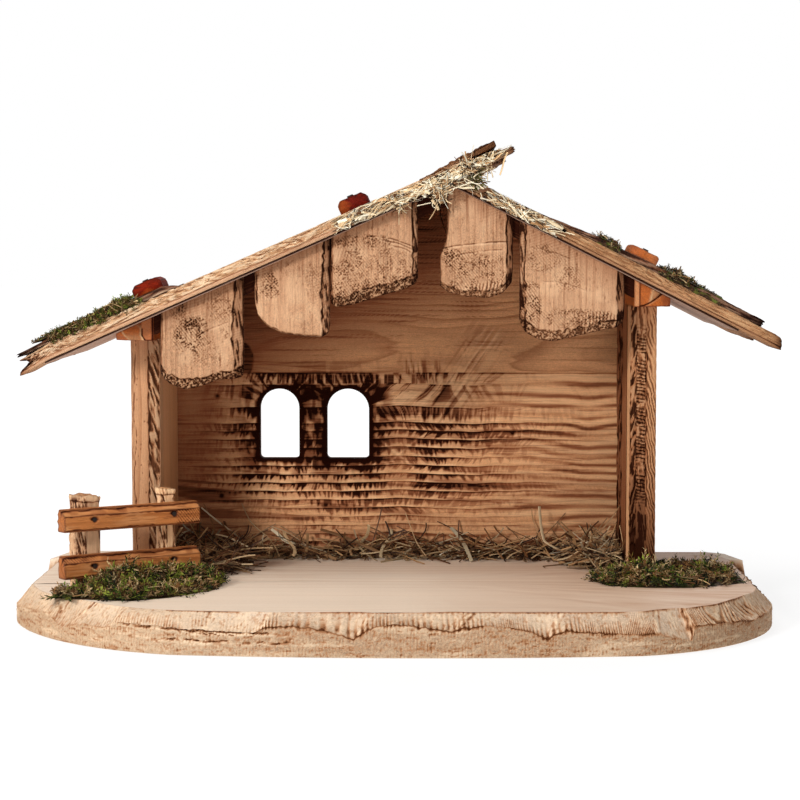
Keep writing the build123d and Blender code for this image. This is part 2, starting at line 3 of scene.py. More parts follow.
import bpy
import numpy as np
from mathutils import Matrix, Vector


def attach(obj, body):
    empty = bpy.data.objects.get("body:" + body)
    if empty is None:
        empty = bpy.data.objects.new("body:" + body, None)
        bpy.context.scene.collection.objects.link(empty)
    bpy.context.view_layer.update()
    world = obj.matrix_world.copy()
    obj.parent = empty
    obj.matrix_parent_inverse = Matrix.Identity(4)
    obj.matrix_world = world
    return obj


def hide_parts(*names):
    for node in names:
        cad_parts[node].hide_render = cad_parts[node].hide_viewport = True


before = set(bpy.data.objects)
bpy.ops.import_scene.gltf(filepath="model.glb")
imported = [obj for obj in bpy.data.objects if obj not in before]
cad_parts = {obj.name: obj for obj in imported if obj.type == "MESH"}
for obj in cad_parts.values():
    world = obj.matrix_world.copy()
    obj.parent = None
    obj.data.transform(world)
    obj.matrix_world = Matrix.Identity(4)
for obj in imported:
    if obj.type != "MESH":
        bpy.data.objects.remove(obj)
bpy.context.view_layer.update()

MM = 0.001

# ============================================================================
# dimensions, in millimetres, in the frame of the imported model
# ============================================================================
BASE_T = 19.0
RX, RZ = 25.9, 211.4                       # ridge, where the undersides meet
AL, AR = math.radians(23.73), math.radians(26.88)
CL, SL, CR, SR = math.cos(AL), math.sin(AL), math.cos(AR), math.sin(AR)
PANEL_T = 1.0
NL0, NL1, NL2 = 1.0, 8.0, 11.4             # left slope: board, cover, batten
NR0, NR1, NR2 = 1.0, 7.0, 10.4             # right slope
ROOF_YF, ROOF_YB = -21.5, 105.0
SEAMS = [-21.5, 9.0, 43.5, 72.0, 105.0]
LEFT_ENDS = [-178.0, -171.0, -180.0, -174.5]
LEFT_TIPS = [57.0, 50.0, 54.0, 52.0]
RIGHT_ENDS = [181.2875, 175.5, 180.0, 177.5]
COVER_YL = [(-20.0, 16.0), (24.0, 56.5), (62.0, 98.0)]
COVER_YR = [(-17.0, 18.0), (26.0, 56.5), (62.0, 96.0)]
LEFT_COVER = [(-181.0, -104.0), (-173.0, -115.0), (-177.0, -119.0)]
RIGHT_COVER = [(62.0, 174.8), (66.0, 171.0), (61.0, 173.5)]
CAP_X = (11.0, 48.0)
FENCE_A = math.radians(32.5)
FA = (math.cos(FENCE_A), math.sin(FENCE_A))
FF = (math.sin(FENCE_A), -math.cos(FENCE_A))
FENCE_L = (-148.75, -28.73)
FENCE_SPAN, FENCE_W, FENCE_WR, RAIL_MID = 41.56, 11.5, 7.2, 19.81
FENCE_R = (FENCE_L[0] + FA[0] * FENCE_SPAN + FF[0] * (FENCE_W - FENCE_WR) / 2, FENCE_L[1] + FA[1] * FENCE_SPAN + FF[1] * (FENCE_W - FENCE_WR) / 2)


def left_xz(s, n):
    return RX + s * CL - n * SL, RZ + s * SL + n * CL


def right_xz(s, n):
    return RX + s * CR + n * SR, RZ - s * SR + n * CR


def left_s(x, n):
    return (x - RX + n * SL) / CL


def right_s(x, n):
    return (x - RX - n * SR) / CR


def left_under(x):
    return RZ + (x - RX) * math.tan(AL)


def right_under(x):
    return RZ - (x - RX) * math.tan(AR)


def meet(nl, nr):
    x0, z0 = left_xz(0, nl)
    x1, z1 = right_xz(0, nr)
    tl, tr = math.tan(AL), -math.tan(AR)
    x = (z1 - z0 + tl * x0 - tr * x1) / (tl - tr)
    return x, z0 + tl * (x - x0)


# ============================================================================
# noise
# ============================================================================
def _hash(ix, iy, iz, seed):
    h = (ix.astype(np.uint32) * np.uint32(0x9E3779B1)) ^ (iy.astype(np.uint32) * np.uint32(0x85EBCA77)) \
        ^ (iz.astype(np.uint32) * np.uint32(0xC2B2AE3D))
    h = h + np.uint32((seed * 0x27D4EB2F + 0x165667B1) & 0xFFFFFFFF)
    h = h ^ (h >> np.uint32(15))
    h = h * np.uint32(0x2C1B3C6D)
    h = h ^ (h >> np.uint32(12))
    h = h * np.uint32(0x297A2D39)
    h = h ^ (h >> np.uint32(15))
    return h.astype(np.float64) * (2.0 / 4294967295.0) - 1.0


def vn(x, y=0.0, z=0.0, seed=0):
    """Value noise, -1 to 1."""
    x, y, z = np.broadcast_arrays(np.asarray(x, float), np.asarray(y, float), np.asarray(z, float))
    xi, yi, zi = np.floor(x), np.floor(y), np.floor(z)
    fx, fy, fz = x - xi, y - yi, z - zi
    fx, fy, fz = fx * fx * (3 - 2 * fx), fy * fy * (3 - 2 * fy), fz * fz * (3 - 2 * fz)
    xi, yi, zi = xi.astype(np.int64), yi.astype(np.int64), zi.astype(np.int64)

    def at(a, b, c):
        return _hash(xi + a, yi + b, zi + c, seed)
    x00 = at(0, 0, 0) * (1 - fx) + at(1, 0, 0) * fx
    x10 = at(0, 1, 0) * (1 - fx) + at(1, 1, 0) * fx
    x01 = at(0, 0, 1) * (1 - fx) + at(1, 0, 1) * fx
    x11 = at(0, 1, 1) * (1 - fx) + at(1, 1, 1) * fx
    y0 = x00 * (1 - fy) + x10 * fy
    y1 = x01 * (1 - fy) + x11 * fy
    return y0 * (1 - fz) + y1 * fz


def fbm(x, y=0.0, z=0.0, seed=0, octaves=3, gain=0.5):
    total, amp, norm, f = 0.0, 1.0, 0.0, 1.0
    for k in range(octaves):
        total = total + amp * vn(np.asarray(x) * f, np.asarray(y) * f, np.asarray(z) * f, seed + 31 * k)
        norm += amp
        amp *= gain
        f *= 2.03
    return total / norm


def sstep(x, a, b):
    t = np.clip((x - a) / (b - a), 0.0, 1.0)
    return t * t * (3 - 2 * t)


def bump1(x, c, w):
    """Smooth bump of half width w round c."""
    return np.exp(-((x - c) / w) ** 2)


def specks(x, z, size, seed, keep=0.0, r=0.3, tall=1.0, jit=0.42):
    """Round spots strewn one to a cell, 0 to 1."""
    gx, gz = x / size, z / size
    fx, fz = np.floor(gx), np.floor(gz)
    best = np.zeros(np.broadcast(x, z).shape)
    for i in (-1, 0, 1):
        for j in (-1, 0, 1):
            cx, cz = fx + i, fz + j
            ix, iz = cx.astype(np.int64), cz.astype(np.int64)
            h1, h2, h3 = _hash(ix, iz, 0 * ix, seed), _hash(ix, iz, 0 * ix + 1, seed), _hash(ix, iz, 0 * ix + 2, seed)
            rr = r * (1 + 0.45 * h3)
            v = np.exp(-(((gx - cx - 0.5 - jit * h1) / rr) ** 2 + ((gz - cz - 0.5 - jit * h2) / (rr * tall)) ** 2))
            best = np.maximum(best, v * (h3 > keep))
    return best


def slivers(a, b, seed, ang=-0.36, long=5.0, wide=1.0, cut=0.0):
    """Slanting splinters side by side: how proud they are, 0 to 1, and the dark gaps between them."""
    ca, sa = math.cos(ang), math.sin(ang)
    p, q = a * ca + b * sa, -a * sa + b * ca
    q = q + 0.5 * wide * vn(p / (long * 1.4), q / (wide * 3.0), 0.0, seed + 5)
    n = vn(p / long, q / wide, 0.0, seed) + 0.45 * vn(p / (long * 0.45), q / (wide * 0.5), 0.3, seed + 1)
    return sstep(n, -0.6, 0.6), 1 - sstep(n, cut - 0.2, cut + 0.12)


def kerfs(a, b, seed, ang, pitch, wobble=1.0, thin=0.55):
    """Parallel saw lines at an angle, 0 to 1."""
    q = -a * math.sin(ang) + b * math.cos(ang)
    w = 0.5 + 0.5 * np.cos(q / pitch * 2 * math.pi + wobble * (1.3 * vn(a * 0.16, b * 0.16, 0, seed) + 0.5 * vn(a * 0.6, b * 0.6, 0, seed + 1)))
    return sstep(w, thin, 0.97)


# ============================================================================
# meshes
# ============================================================================
def new_object(name, verts, quads, tris, mat, attrs=None, angle=38.0, uv="box", cells=None):
    """Mesh from arrays (millimetres), with attributes on its points."""
    quads = np.zeros((0, 4), np.int64) if quads is None else np.asarray(quads, np.int64).reshape(-1, 4)
    tris = np.zeros((0, 3), np.int64) if tris is None else np.asarray(tris, np.int64).reshape(-1, 3)
    me = bpy.data.meshes.new(name)
    me.vertices.add(len(verts))
    me.vertices.foreach_set("co", (np.asarray(verts) * MM).astype(np.float32).ravel())
    loops = np.concatenate([quads.ravel(), tris.ravel()]).astype(np.int32)
    me.loops.add(len(loops))
    me.loops.foreach_set("vertex_index", loops)
    starts = np.concatenate([np.arange(len(quads)) * 4, len(quads) * 4 + np.arange(len(tris)) * 3]).astype(np.int32)
    me.polygons.add(len(starts))
    me.polygons.foreach_set("loop_start", starts)
    me.update(calc_edges=True)
    me.validate()
    if angle is None:
        me.polygons.foreach_set("use_smooth", np.zeros(len(me.polygons), bool))
    else:
        me.polygons.foreach_set("use_smooth", np.ones(len(me.polygons), bool))
        if angle < 179:
            me.set_sharp_from_angle(angle=math.radians(angle))
    for key, data in (attrs or {}).items():
        put_attr(me, key, data)
    if uv == "box":
        box_uv(me)
    elif uv == "cells":
        cell_uv(me, cells)
    me.materials.append(mat)
    ob = bpy.data.objects.new(name, me)
    bpy.context.scene.collection.objects.link(ob)
    return ob


def put_attr(me, key, data):
    data = np.asarray(data, np.float32)
    if data.ndim == 1:
        a = me.attributes.new(key, "FLOAT", "POINT")
        a.data.foreach_set("value", data)
    else:
        a = me.attributes.new(key, "FLOAT_VECTOR", "POINT")
        a.data.foreach_set("vector", data.ravel())


def corner_arrays(me):
    n = len(me.loops)
    lv = np.zeros(n, np.int32)
    me.loops.foreach_get("vertex_index", lv)
    co = np.zeros(len(me.vertices) * 3, np.float32)
    me.vertices.foreach_get("co", co)
    co = co.reshape(-1, 3)
    tot = np.zeros(len(me.polygons), np.int32)
    me.polygons.foreach_get("loop_total", tot)
    face = np.repeat(np.arange(len(tot)), tot)
    nor = np.zeros(len(tot) * 3, np.float32)
    me.polygons.foreach_get("normal", nor)
    return lv, co, face, nor.reshape(-1, 3)


def box_uv(me):
    """Six flat projections, one strip of the map each, by the way a face looks."""
    lv, co, face, nor = corner_arrays(me)
    ax = np.abs(nor).argmax(1)
    side = ax * 2 + (nor[np.arange(len(ax)), ax] < 0)
    ks = side[face]
    pos = co[lv]
    uv = np.zeros((len(lv), 2), np.float32)
    strips = []
    for k in range(6):
        m = ks == k
        if not m.any():
            continue
        a, b = [i for i in range(3) if i != k // 2]
        p = pos[m][:, (a, b)]
        lo, hi = p.min(0), p.max(0)
        span = np.maximum(hi - lo, 1e-6)
        if span[1] > span[0]:
            p, lo, span = p[:, ::-1], lo[::-1], span[::-1]
        strips.append((k, m, (p - lo) / span, span[1]))
    total = sum(max(s[3], 0.002) for s in strips)
    at = 0.0
    for k, m, p, h in strips:
        h = max(h, 0.002) / total
        pad = min(0.004, h * 0.2)
        uv[m, 0] = 0.004 + 0.992 * p[:, 0]
        uv[m, 1] = at + pad + (h - 2 * pad) * p[:, 1]
        at += h
    layer = me.uv_layers.new(name="OFBake")
    layer.uv.foreach_set("vector", uv.ravel())


def cell_uv(me, cells):
    """Each strand gets a small cell of the map: cells gives, for each point, its strand and where it is along and
    across it."""
    strand, along, across = cells
    lv, co, face, nor = corner_arrays(me)
    n = int(strand.max()) + 1
    side = int(math.ceil(math.sqrt(n)))
    cx, cy = strand % side, strand // side
    u = (cx + 0.15 + 0.7 * np.clip(across, 0, 1)) / side
    v = (cy + 0.15 + 0.7 * np.clip(along, 0, 1)) / side
    uv = np.stack([u[lv], v[lv]], 1).astype(np.float32)
    layer = me.uv_layers.new(name="OFBake")
    layer.uv.foreach_set("vector", uv.ravel())


def volume(verts, quads, tris):
    t = [np.asarray(tris).reshape(-1, 3)] if tris is not None and len(tris) else []
    if quads is not None and len(quads):
        q = np.asarray(quads)
        t += [q[:, (0, 1, 2)], q[:, (0, 2, 3)]]
    t = np.concatenate(t)
    a, b, c = verts[t[:, 0]], verts[t[:, 1]], verts[t[:, 2]]
    return float((a * np.cross(b, c)).sum() / 6)


def outward(verts, quads, tris):
    if volume(verts, quads, tris) < 0:
        quads = None if quads is None else quads[:, ::-1]
        tris = None if tris is None else tris[:, ::-1]
    return quads, tris


def ring_quads(m, n, first=0):
    i = np.arange(m - 1)[:, None]
    j = np.arange(n)[None, :]
    a = first + i * n + j
    b = first + i * n + (j + 1) % n
    return np.stack([a, b, b + n, a + n], -1).reshape(-1, 4)


def grid_quads(m, n, first=0):
    i = np.arange(m - 1)[:, None]
    j = np.arange(n - 1)[None, :]
    a = first + i * n + j
    return np.stack([a, a + 1, a + 1 + n, a + n], -1).reshape(-1, 4)


PIECES = {}


def piece(ob, slot_name, *nodes):
    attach(ob, "root")
    if nodes:
        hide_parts(*nodes)
    PIECES[ob.name] = ob
    return ob


# ----------------------------------------------------------------------------
# a solid with a polygon section, drawn out along the grain
# ----------------------------------------------------------------------------
def section(poly, step):
    pts = np.asarray(poly, float)
    nxt = np.roll(pts, -1, 0)
    d = nxt - pts
    ln = np.linalg.norm(d, axis=1)
    nor = np.stack([d[:, 1], -d[:, 0]], 1) / ln[:, None]
    P, N, C, E = [], [], [], []
    for k in range(len(pts)):
        n = max(2, int(math.ceil(ln[k] / step)))
        t = np.arange(n) / n
        P.append(pts[k] + d[k] * t[:, None])
        nn = np.repeat(nor[k][None], n, 0)
        corner = nor[k] + nor[k - 1]
        nn[0] = corner / max(np.linalg.norm(corner), 1e-9)
        N.append(nn)
        C.append(np.minimum(t, 1 - t) * ln[k])
        E.append(np.full(n, k))
    return np.concatenate(P), np.concatenate(N), np.concatenate(C), np.concatenate(E)


def bar(poly, u0, u1, step=1.0, ustep=1.2, rnd=0.6, fn=None, e0=None, e1=None, ramp=9.0, rough_end=0.0, seed=1,
        rings=(0.955, 0.86, 0.72, 0.54, 0.33, 0.15)):
    """poly is the section (v, w), anticlockwise; u runs along the grain from u0 to u1.
    fn(u, v, w, face) gives a push along the surface normal and a mask of scorch and painted shade; e0 and e1 move the
    two ends along u."""
    P, N, C, F = section(poly, step)
    cen = P.mean(0)
    L = u1 - u0
    m = max(4, int(math.ceil(L / ustep)))
    u = np.linspace(u0, u1, m + 1)
    near = np.array([0.25, 0.6])
    u = np.unique(np.concatenate([u, u0 + near, u1 - near]))
    M, K = len(u), len(P)
    U = np.repeat(u[:, None], K, 1)
    V = np.repeat(P[None, :, 0], M, 0)
    W = np.repeat(P[None, :, 1], M, 0)
    NV = np.repeat(N[None, :, 0], M, 0)
    NW = np.repeat(N[None, :, 1], M, 0)
    CD = np.repeat(C[None], M, 0)
    FK = np.repeat(F[None], M, 0)
    du = np.minimum(U - u0, u1 - U)
    push = -0.42 * rnd * np.exp(-(CD / max(rnd, 1e-3)) ** 2) - 0.42 * rnd * np.exp(-(du / max(rnd, 1e-3)) ** 2)
    scorch_and_shade, raw, pale = np.zeros_like(U), np.zeros_like(U), np.zeros_like(U)
    if fn is not None:
        got = fn(U, V, W, FK)
        push = push + got[0]
        scorch_and_shade = scorch_and_shade + got[1]
        if len(got) > 2:
            raw = raw + got[2]
        if len(got) > 3:
            pale = pale + got[3]
    grey = got[4] if fn is not None and len(got) > 4 else np.zeros_like(U)
    edge = np.maximum(np.exp(-CD / 1.1), np.exp(-du / 1.1))
    G = np.stack([U, V, W], -1)
    V2, W2 = V + NV * push, W + NW * push
    f0 = e0 if e0 is not None else (lambda v, w: 0 * v)
    f1 = e1 if e1 is not None else (lambda v, w: 0 * v)

    def ends(uu, v, w):
        return uu + f0(v, w) * np.clip(1 - (uu - u0) / ramp, 0, 1) + f1(v, w) * np.clip(1 - (u1 - uu) / ramp, 0, 1)
    U2 = ends(U, V2, W2)
    verts = [np.stack([U2, V2, W2], -1).reshape(-1, 3)]
    gco = [G.reshape(-1, 3)]
    endg = [np.clip(grey, 0, 1).reshape(-1)]
    edges = [edge.reshape(-1)]
    burns = [scorch_and_shade.reshape(-1)]
    raws, pales = [raw.reshape(-1)], [pale.reshape(-1)]
    quads = [ring_quads(M, K)]
    tris = []
    base = M * K
    half = min(np.ptp(P[:, 0]), np.ptp(P[:, 1])) / 2
    for side, row, uu in ((0, 0, u0), (1, M - 1, u1)):
        ring_v, ring_w = V2[row], W2[row]
        prev = row * K + np.arange(K)
        for k in rings:
            v = cen[0] + (ring_v - cen[0]) * k
            w = cen[1] + (ring_w - cen[1]) * k
            x = ends(np.full(K, uu), v, w)
            if rough_end:
                x = x + rough_end * (1 if side == 0 else -1) * np.abs(fbm(v * 1.3, w * 1.3, 0.0, seed + side, 3))
            verts.append(np.stack([x, v, w], 1))
            gco.append(np.stack([np.full(K, uu), v, w], 1))
            endg.append(np.ones(K))
            edges.append(np.full(K, math.exp(-(1 - k) * half / 0.9)))
            burns.append(scorch_and_shade[row] * k)
            raws.append(np.full(K, 0.8))
            pales.append(pale[row] * k * 0.5)
            cur = base + np.arange(K)
            base += K
            q = np.stack([prev, np.roll(prev, -1), np.roll(cur, -1), cur], 1)
            quads.append(q if side == 1 else q[:, ::-1])
            prev = cur
        x = ends(np.array([uu]), cen[:1], cen[1:2])
        verts.append(np.array([[x[0], cen[0], cen[1]]]))
        gco.append(np.array([[uu, cen[0], cen[1]]]))
        endg.append(np.ones(1))
        edges.append(np.zeros(1))
        burns.append(np.zeros(1))
        raws.append(np.full(1, 0.8))
        pales.append(np.zeros(1))
        t = np.stack([prev, np.roll(prev, -1), np.full(K, base)], 1)
        tris.append(t if side == 1 else t[:, ::-1])
        base += 1
    return (np.concatenate(verts), np.concatenate(quads), np.concatenate(tris),
            dict(gco=np.concatenate(gco), endg=np.concatenate(endg), edge=np.concatenate(edges),
                 scorch_and_shade=np.clip(np.concatenate(burns), 0, 1.25), raw=np.clip(np.concatenate(raws), 0, 1.2),
                 pale=np.clip(np.concatenate(pales), 0, 1)))


def wood_bar(name, node, mat, slot_name, place, offset, poly, u0, u1, **kw):
    """bar() set in place.  offset moves the grain coordinates, so that each piece is cut from another spot."""
    L, quads, tris, attrs = bar(poly, u0, u1, **kw)
    x, y, z = place(L[:, 0], L[:, 1], L[:, 2])
    verts = np.stack([x, y, z], 1)
    quads, tris = outward(verts, quads, tris)
    attrs["gco"] = attrs["gco"] + np.asarray(offset, float)
    ob = new_object(name, verts, quads, tris, mat, attrs)
    return piece(ob, slot_name, node)


def rect(v0, v1, w0, w1):
    return [(v0, w0), (v1, w0), (v1, w1), (v0, w1)]


# ============================================================================
# materials
# ============================================================================
def lin(c):
    out = []
    for x in c:
        x /= 255.0
        out.append(x / 12.92 if x <= 0.04045 else ((x + 0.055) / 1.055) ** 2.4)
    return tuple(out)


class Mat:
    def __init__(self, name):
        self.mat = bpy.data.materials.new(name)
        self.mat.use_nodes = True
        self.t = self.mat.node_tree
        self.t.nodes.clear()
        self.out = self.t.nodes.new("ShaderNodeOutputMaterial")
        self.bsdf = self.t.nodes.new("ShaderNodeBsdfPrincipled")
        self.t.links.new(self.bsdf.outputs[0], self.out.inputs[0])

    def put(self, sock, v):
        if isinstance(v, bpy.types.NodeSocket):
            self.t.links.new(v, sock)
        else:
            if sock.type == "RGBA" and len(v) == 3:
                v = (*v, 1.0)
            sock.default_value = v

    def attr(self, name, vector=False):
        n = self.t.nodes.new("ShaderNodeAttribute")
        n.attribute_name = name
        return n.outputs["Vector"] if vector else n.outputs["Fac"]

    def math(self, op, a, b=0.0, c=None, clamp=False):
        n = self.t.nodes.new("ShaderNodeMath")
        n.operation = op
        n.use_clamp = clamp
        self.put(n.inputs[0], a)
        self.put(n.inputs[1], b)
        if c is not None:
            self.put(n.inputs[2], c)
        return n.outputs[0]

    def scale(self, vec, s):
        n = self.t.nodes.new("ShaderNodeVectorMath")
        n.operation = "MULTIPLY"
        self.put(n.inputs[0], vec)
        n.inputs[1].default_value = s
        return n.outputs[0]

    def vadd(self, vec, s):
        n = self.t.nodes.new("ShaderNodeVectorMath")
        n.operation = "ADD"
        self.put(n.inputs[0], vec)
        self.put(n.inputs[1], s)
        return n.outputs[0]

    def split(self, vec):
        n = self.t.nodes.new("ShaderNodeSeparateXYZ")
        self.put(n.inputs[0], vec)
        return n.outputs[0], n.outputs[1], n.outputs[2]

    def join(self, x, y, z):
        n = self.t.nodes.new("ShaderNodeCombineXYZ")
        for i, v in enumerate((x, y, z)):
            self.put(n.inputs[i], v)
        return n.outputs[0]

    def noise(self, vec, detail=2.0, rough=0.55, distortion=0.0, scale=1.0):
        n = self.t.nodes.new("ShaderNodeTexNoise")
        self.put(n.inputs["Vector"], vec)
        n.inputs["Scale"].default_value = scale
        n.inputs["Detail"].default_value = detail
        n.inputs["Roughness"].default_value = rough
        n.inputs["Distortion"].default_value = distortion
        return n.outputs["Fac"]

    def voronoi(self, vec, feature="F1"):
        n = self.t.nodes.new("ShaderNodeTexVoronoi")
        n.feature = feature
        self.put(n.inputs["Vector"], vec)
        n.inputs["Scale"].default_value = 1.0
        return n.outputs["Distance"]

    def white(self, v):
        n = self.t.nodes.new("ShaderNodeTexWhiteNoise")
        n.noise_dimensions = "1D"
        self.put(n.inputs["W"], v)
        return n.outputs["Value"]

    def ramp(self, fac, stops, interp="LINEAR"):
        n = self.t.nodes.new("ShaderNodeValToRGB")
        n.color_ramp.interpolation = interp
        el = n.color_ramp.elements
        while len(el) > 1:
            el.remove(el[-1])
        for i, (p, c) in enumerate(stops):
            e = el[0] if i == 0 else el.new(p)
            e.position = p
            if not isinstance(c, (tuple, list)):
                c = (c, c, c)
            e.color = (*c, 1.0)
        self.put(n.inputs[0], fac)
        return n.outputs[0]

    def mix(self, fac, a, b, mode="MIX"):
        n = self.t.nodes.new("ShaderNodeMix")
        n.data_type = "RGBA"
        n.blend_type = mode
        n.clamp_factor = True
        self.put(n.inputs["Factor"], fac)
        ins = [s for s in n.inputs if s.type == "RGBA"]
        self.put(ins[0], a)
        self.put(ins[1], b)
        return [s for s in n.outputs if s.type == "RGBA"][0]

    def bump(self, height, distance, strength=1.0):
        n = self.t.nodes.new("ShaderNodeBump")
        n.inputs["Strength"].default_value = strength
        n.inputs["Distance"].default_value = distance
        self.put(n.inputs["Height"], height)
        self.put(self.bsdf.inputs["Normal"], n.outputs[0])


def wood(name, early, late, ring=2.4, contrast=0.75, warp=2.2, streak=0.22, fibre=0.16, tone=0.16,
         edge_col=(70, 36, 16), edge_amt=0.0, burn_col=(44, 20, 9), mid_col=None, end_tint=(0.86, 0.8, 0.74), rough=0.62,
         bump=0.00022, ring_bump=0.35, blot=None, blot_amt=0.0, spec=0.24, raw_tint=(0.86, 0.78, 0.70), raw_amt=0.55,
         pale_col=(226, 194, 152), raw_scale=1.0, pores=0.0):
    """Sawn softwood: growth rings about a pith line along the grain, fibre streaks, darker arrises, scorched spots and
    painted shade, pale spots and painted highlights.
    """
    m = Mat(name)
    g = m.attr("gco", True)
    x, y, z = m.split(g)
    slow = m.noise(m.scale(g, (0.007, 0.03, 0.03)), 2.0, 0.5)
    quick = m.noise(m.scale(g, (0.035, 0.22, 0.22)), 2.0, 0.5)
    r = m.math("SQRT", m.math("ADD", m.math("MULTIPLY", y, y), m.math("MULTIPLY", z, z)))
    r = m.math("MULTIPLY_ADD", slow, warp * 4.0, r)
    r = m.math("MULTIPLY_ADD", quick, warp * 0.45, r)
    ph = m.math("DIVIDE", r, ring)
    f = m.math("FRACT", ph)
    late_mask = m.ramp(f, [(0.0, 0.30), (0.06, 0.04), (0.45, 0.12), (0.80, 0.72), (0.93, 1.0), (1.0, 0.35)])
    vary = m.math("MULTIPLY_ADD", m.white(m.math("FLOOR", ph)), 0.75, 0.35)
    late_mask = m.math("MULTIPLY", late_mask, vary)
    fib = m.noise(m.scale(g, (0.07, 2.6, 2.6)), 3.0, 0.6)
    fine = m.noise(m.scale(g, (0.35, 11.0, 11.0)), 2.0, 0.6)
    big = m.noise(m.scale(g, (0.012, 0.06, 0.06)), 2.0, 0.5)
    col = m.mix(m.math("MULTIPLY", late_mask, contrast), lin(early), lin(late))
    k = m.math("MULTIPLY_ADD", m.math("SUBTRACT", fib, 0.5), 2.0 * streak, 1.0)
    k = m.math("MULTIPLY_ADD", m.math("SUBTRACT", fine, 0.5), 2.0 * fibre, k)
    k = m.math("MULTIPLY_ADD", m.math("SUBTRACT", big, 0.5), 2.0 * tone, k)
    col = m.mix(1.0, col, k, "MULTIPLY")
    height = m.math("MULTIPLY_ADD", late_mask, ring_bump, m.math("MULTIPLY_ADD", fib, 0.8, m.math("MULTIPLY", fine, 0.5)))
    if blot is not None:
        b = m.noise(m.scale(g, (0.03, 0.09, 0.09)), 3.0, 0.55)
        b = m.ramp(b, [(0.42, 0.0), (0.68, 1.0)])
        col = m.mix(m.math("MULTIPLY", b, blot_amt), col, lin(blot))
    # rough sawn places: fuzzy and speckled
    ra = m.attr("raw")
    sp = m.noise(m.scale(g, (1.35 * raw_scale, 1.9 * raw_scale, 1.9 * raw_scale)), 3.0, 0.7)
    sp2 = m.noise(m.scale(g, (0.5 * raw_scale, 0.62 * raw_scale, 0.62 * raw_scale)), 2.0, 0.6)
    rk = m.math("MULTIPLY_ADD", m.math("SUBTRACT", sp, 0.5), 3.4 * raw_amt, m.math("MULTIPLY_ADD", m.math("SUBTRACT", sp2, 0.5), 1.1 * raw_amt, 1.0))
    rc = m.mix(1.0, m.mix(1.0, col, raw_tint, "MULTIPLY"), rk, "MULTIPLY")
    col = m.mix(ra, col, rc)
    if pores:
        po = m.noise(m.scale(g, (0.75, 1.25, 1.25)), 2.0, 0.5)
        po = m.ramp(po, [(0.36, 1.0), (0.45, 0.0)])
        col = m.mix(m.math("MULTIPLY", m.math("MULTIPLY", po, ra), pores), col, lin(burn_col))
    height = m.math("MULTIPLY_ADD", m.math("MULTIPLY", sp, ra), 1.6, height)
    pa = m.attr("pale")
    pa = m.math("MULTIPLY", pa, m.math("MULTIPLY_ADD", m.math("SUBTRACT", fib, 0.5), 0.9, 1.0))
    col = m.mix(pa, col, m.mix(1.0, lin(pale_col), k, "MULTIPLY"))
    e = m.attr("endg")
    col = m.mix(e, col, m.mix(1.0, col, end_tint, "MULTIPLY"))
    if edge_amt:
        ed = m.attr("edge")
        ed = m.math("MULTIPLY_ADD", m.math("SUBTRACT", fib, 0.5), 0.9, ed)
        ed = m.ramp(ed, [(0.42, 0.0), (0.9, 1.0)])
        col = m.mix(m.math("MULTIPLY", ed, edge_amt), col, lin(edge_col))
    bu = m.attr("scorch_and_shade")
    bu = m.math("MULTIPLY", bu, m.math("MULTIPLY_ADD", m.math("SUBTRACT", fib, 0.5), 1.1, 1.0))
    if mid_col is None:
        mid_col = tuple(0.45 * a + 0.55 * b for a, b in zip(late, burn_col))
    toast = m.ramp(bu, [(0.05, 0.0), (0.45, 1.0)])
    char = m.ramp(bu, [(0.38, 0.0), (0.95, 1.0)])
    col = m.mix(toast, col, m.mix(0.82, col, lin(mid_col)))
    col = m.mix(char, col, lin(burn_col))
    m.put(m.bsdf.inputs["Base Color"], col)
    m.put(m.bsdf.inputs["Roughness"], m.math("MULTIPLY_ADD", fib, 0.22, rough - 0.11))
    m.put(m.bsdf.inputs["Specular IOR Level"], m.math("MULTIPLY_ADD", char, -0.9 * spec, spec))
    m.bump(height, bump)
    return m.mat


def plant(name, stops, dark=(20, 14, 8), rough=0.75, spec=0.25, vein=0.25):
    """Moss and straw: each strand has its own colour, darker at the root, with fine lines along it. The root darkening
    also paints the shade deep in a tuft or a heap.
    """
    m = Mat(name)
    g = m.attr("gco", True)
    t = m.attr("tint")
    root = m.attr("root")
    n1 = m.noise(m.scale(g, (0.35, 3.5, 3.5)), 2.0, 0.6)
    n2 = m.noise(m.scale(g, (0.05, 0.4, 0.4)), 2.0, 0.5)
    col = m.ramp(m.math("MULTIPLY_ADD", m.math("SUBTRACT", n2, 0.5), 0.22, t), [(p, lin(c)) for p, c in stops])
    col = m.mix(1.0, col, m.math("MULTIPLY_ADD", m.math("SUBTRACT", n1, 0.5), 2 * vein, 1.0), "MULTIPLY")
    col = m.mix(m.ramp(root, [(0.0, 0.0), (1.0, 0.9)]), col, lin(dark))
    m.put(m.bsdf.inputs["Base Color"], col)
    m.put(m.bsdf.inputs["Roughness"], m.math("MULTIPLY_ADD", n1, 0.25, rough - 0.12))
    m.bsdf.inputs["Specular IOR Level"].default_value = spec
    m.bump(n1, 0.0001)
    return m.mat


M_BASE = wood("planed_spruce", (246, 228, 207), (228, 199, 170), ring=3.1, contrast=0.62, warp=2.6, streak=0.05, fibre=0.07,
              tone=0.05, burn_col=(84, 44, 20), mid_col=(170, 112, 66), end_tint=(0.9, 0.84, 0.77), rough=0.55,
              bump=0.00010, ring_bump=0.25, raw_tint=(0.55, 0.434, 0.334), raw_amt=0.6, pale_col=(240, 212, 178), raw_scale=1.9, pores=0.3)
M_SHINGLE = wood("shingle_spruce", (206, 160, 123), (166, 115, 82), ring=2.1, contrast=0.6, warp=1.5, streak=0.28, fibre=0.3,
                 tone=0.12, burn_col=(44, 20, 10), mid_col=(132, 80, 46), rough=0.72, bump=0.00028, edge_amt=0.25,
                 edge_col=(92, 50, 26), raw_tint=(0.88, 0.82, 0.76), raw_amt=0.7, pale_col=(234, 192, 152), raw_scale=1.25, pores=0.5)
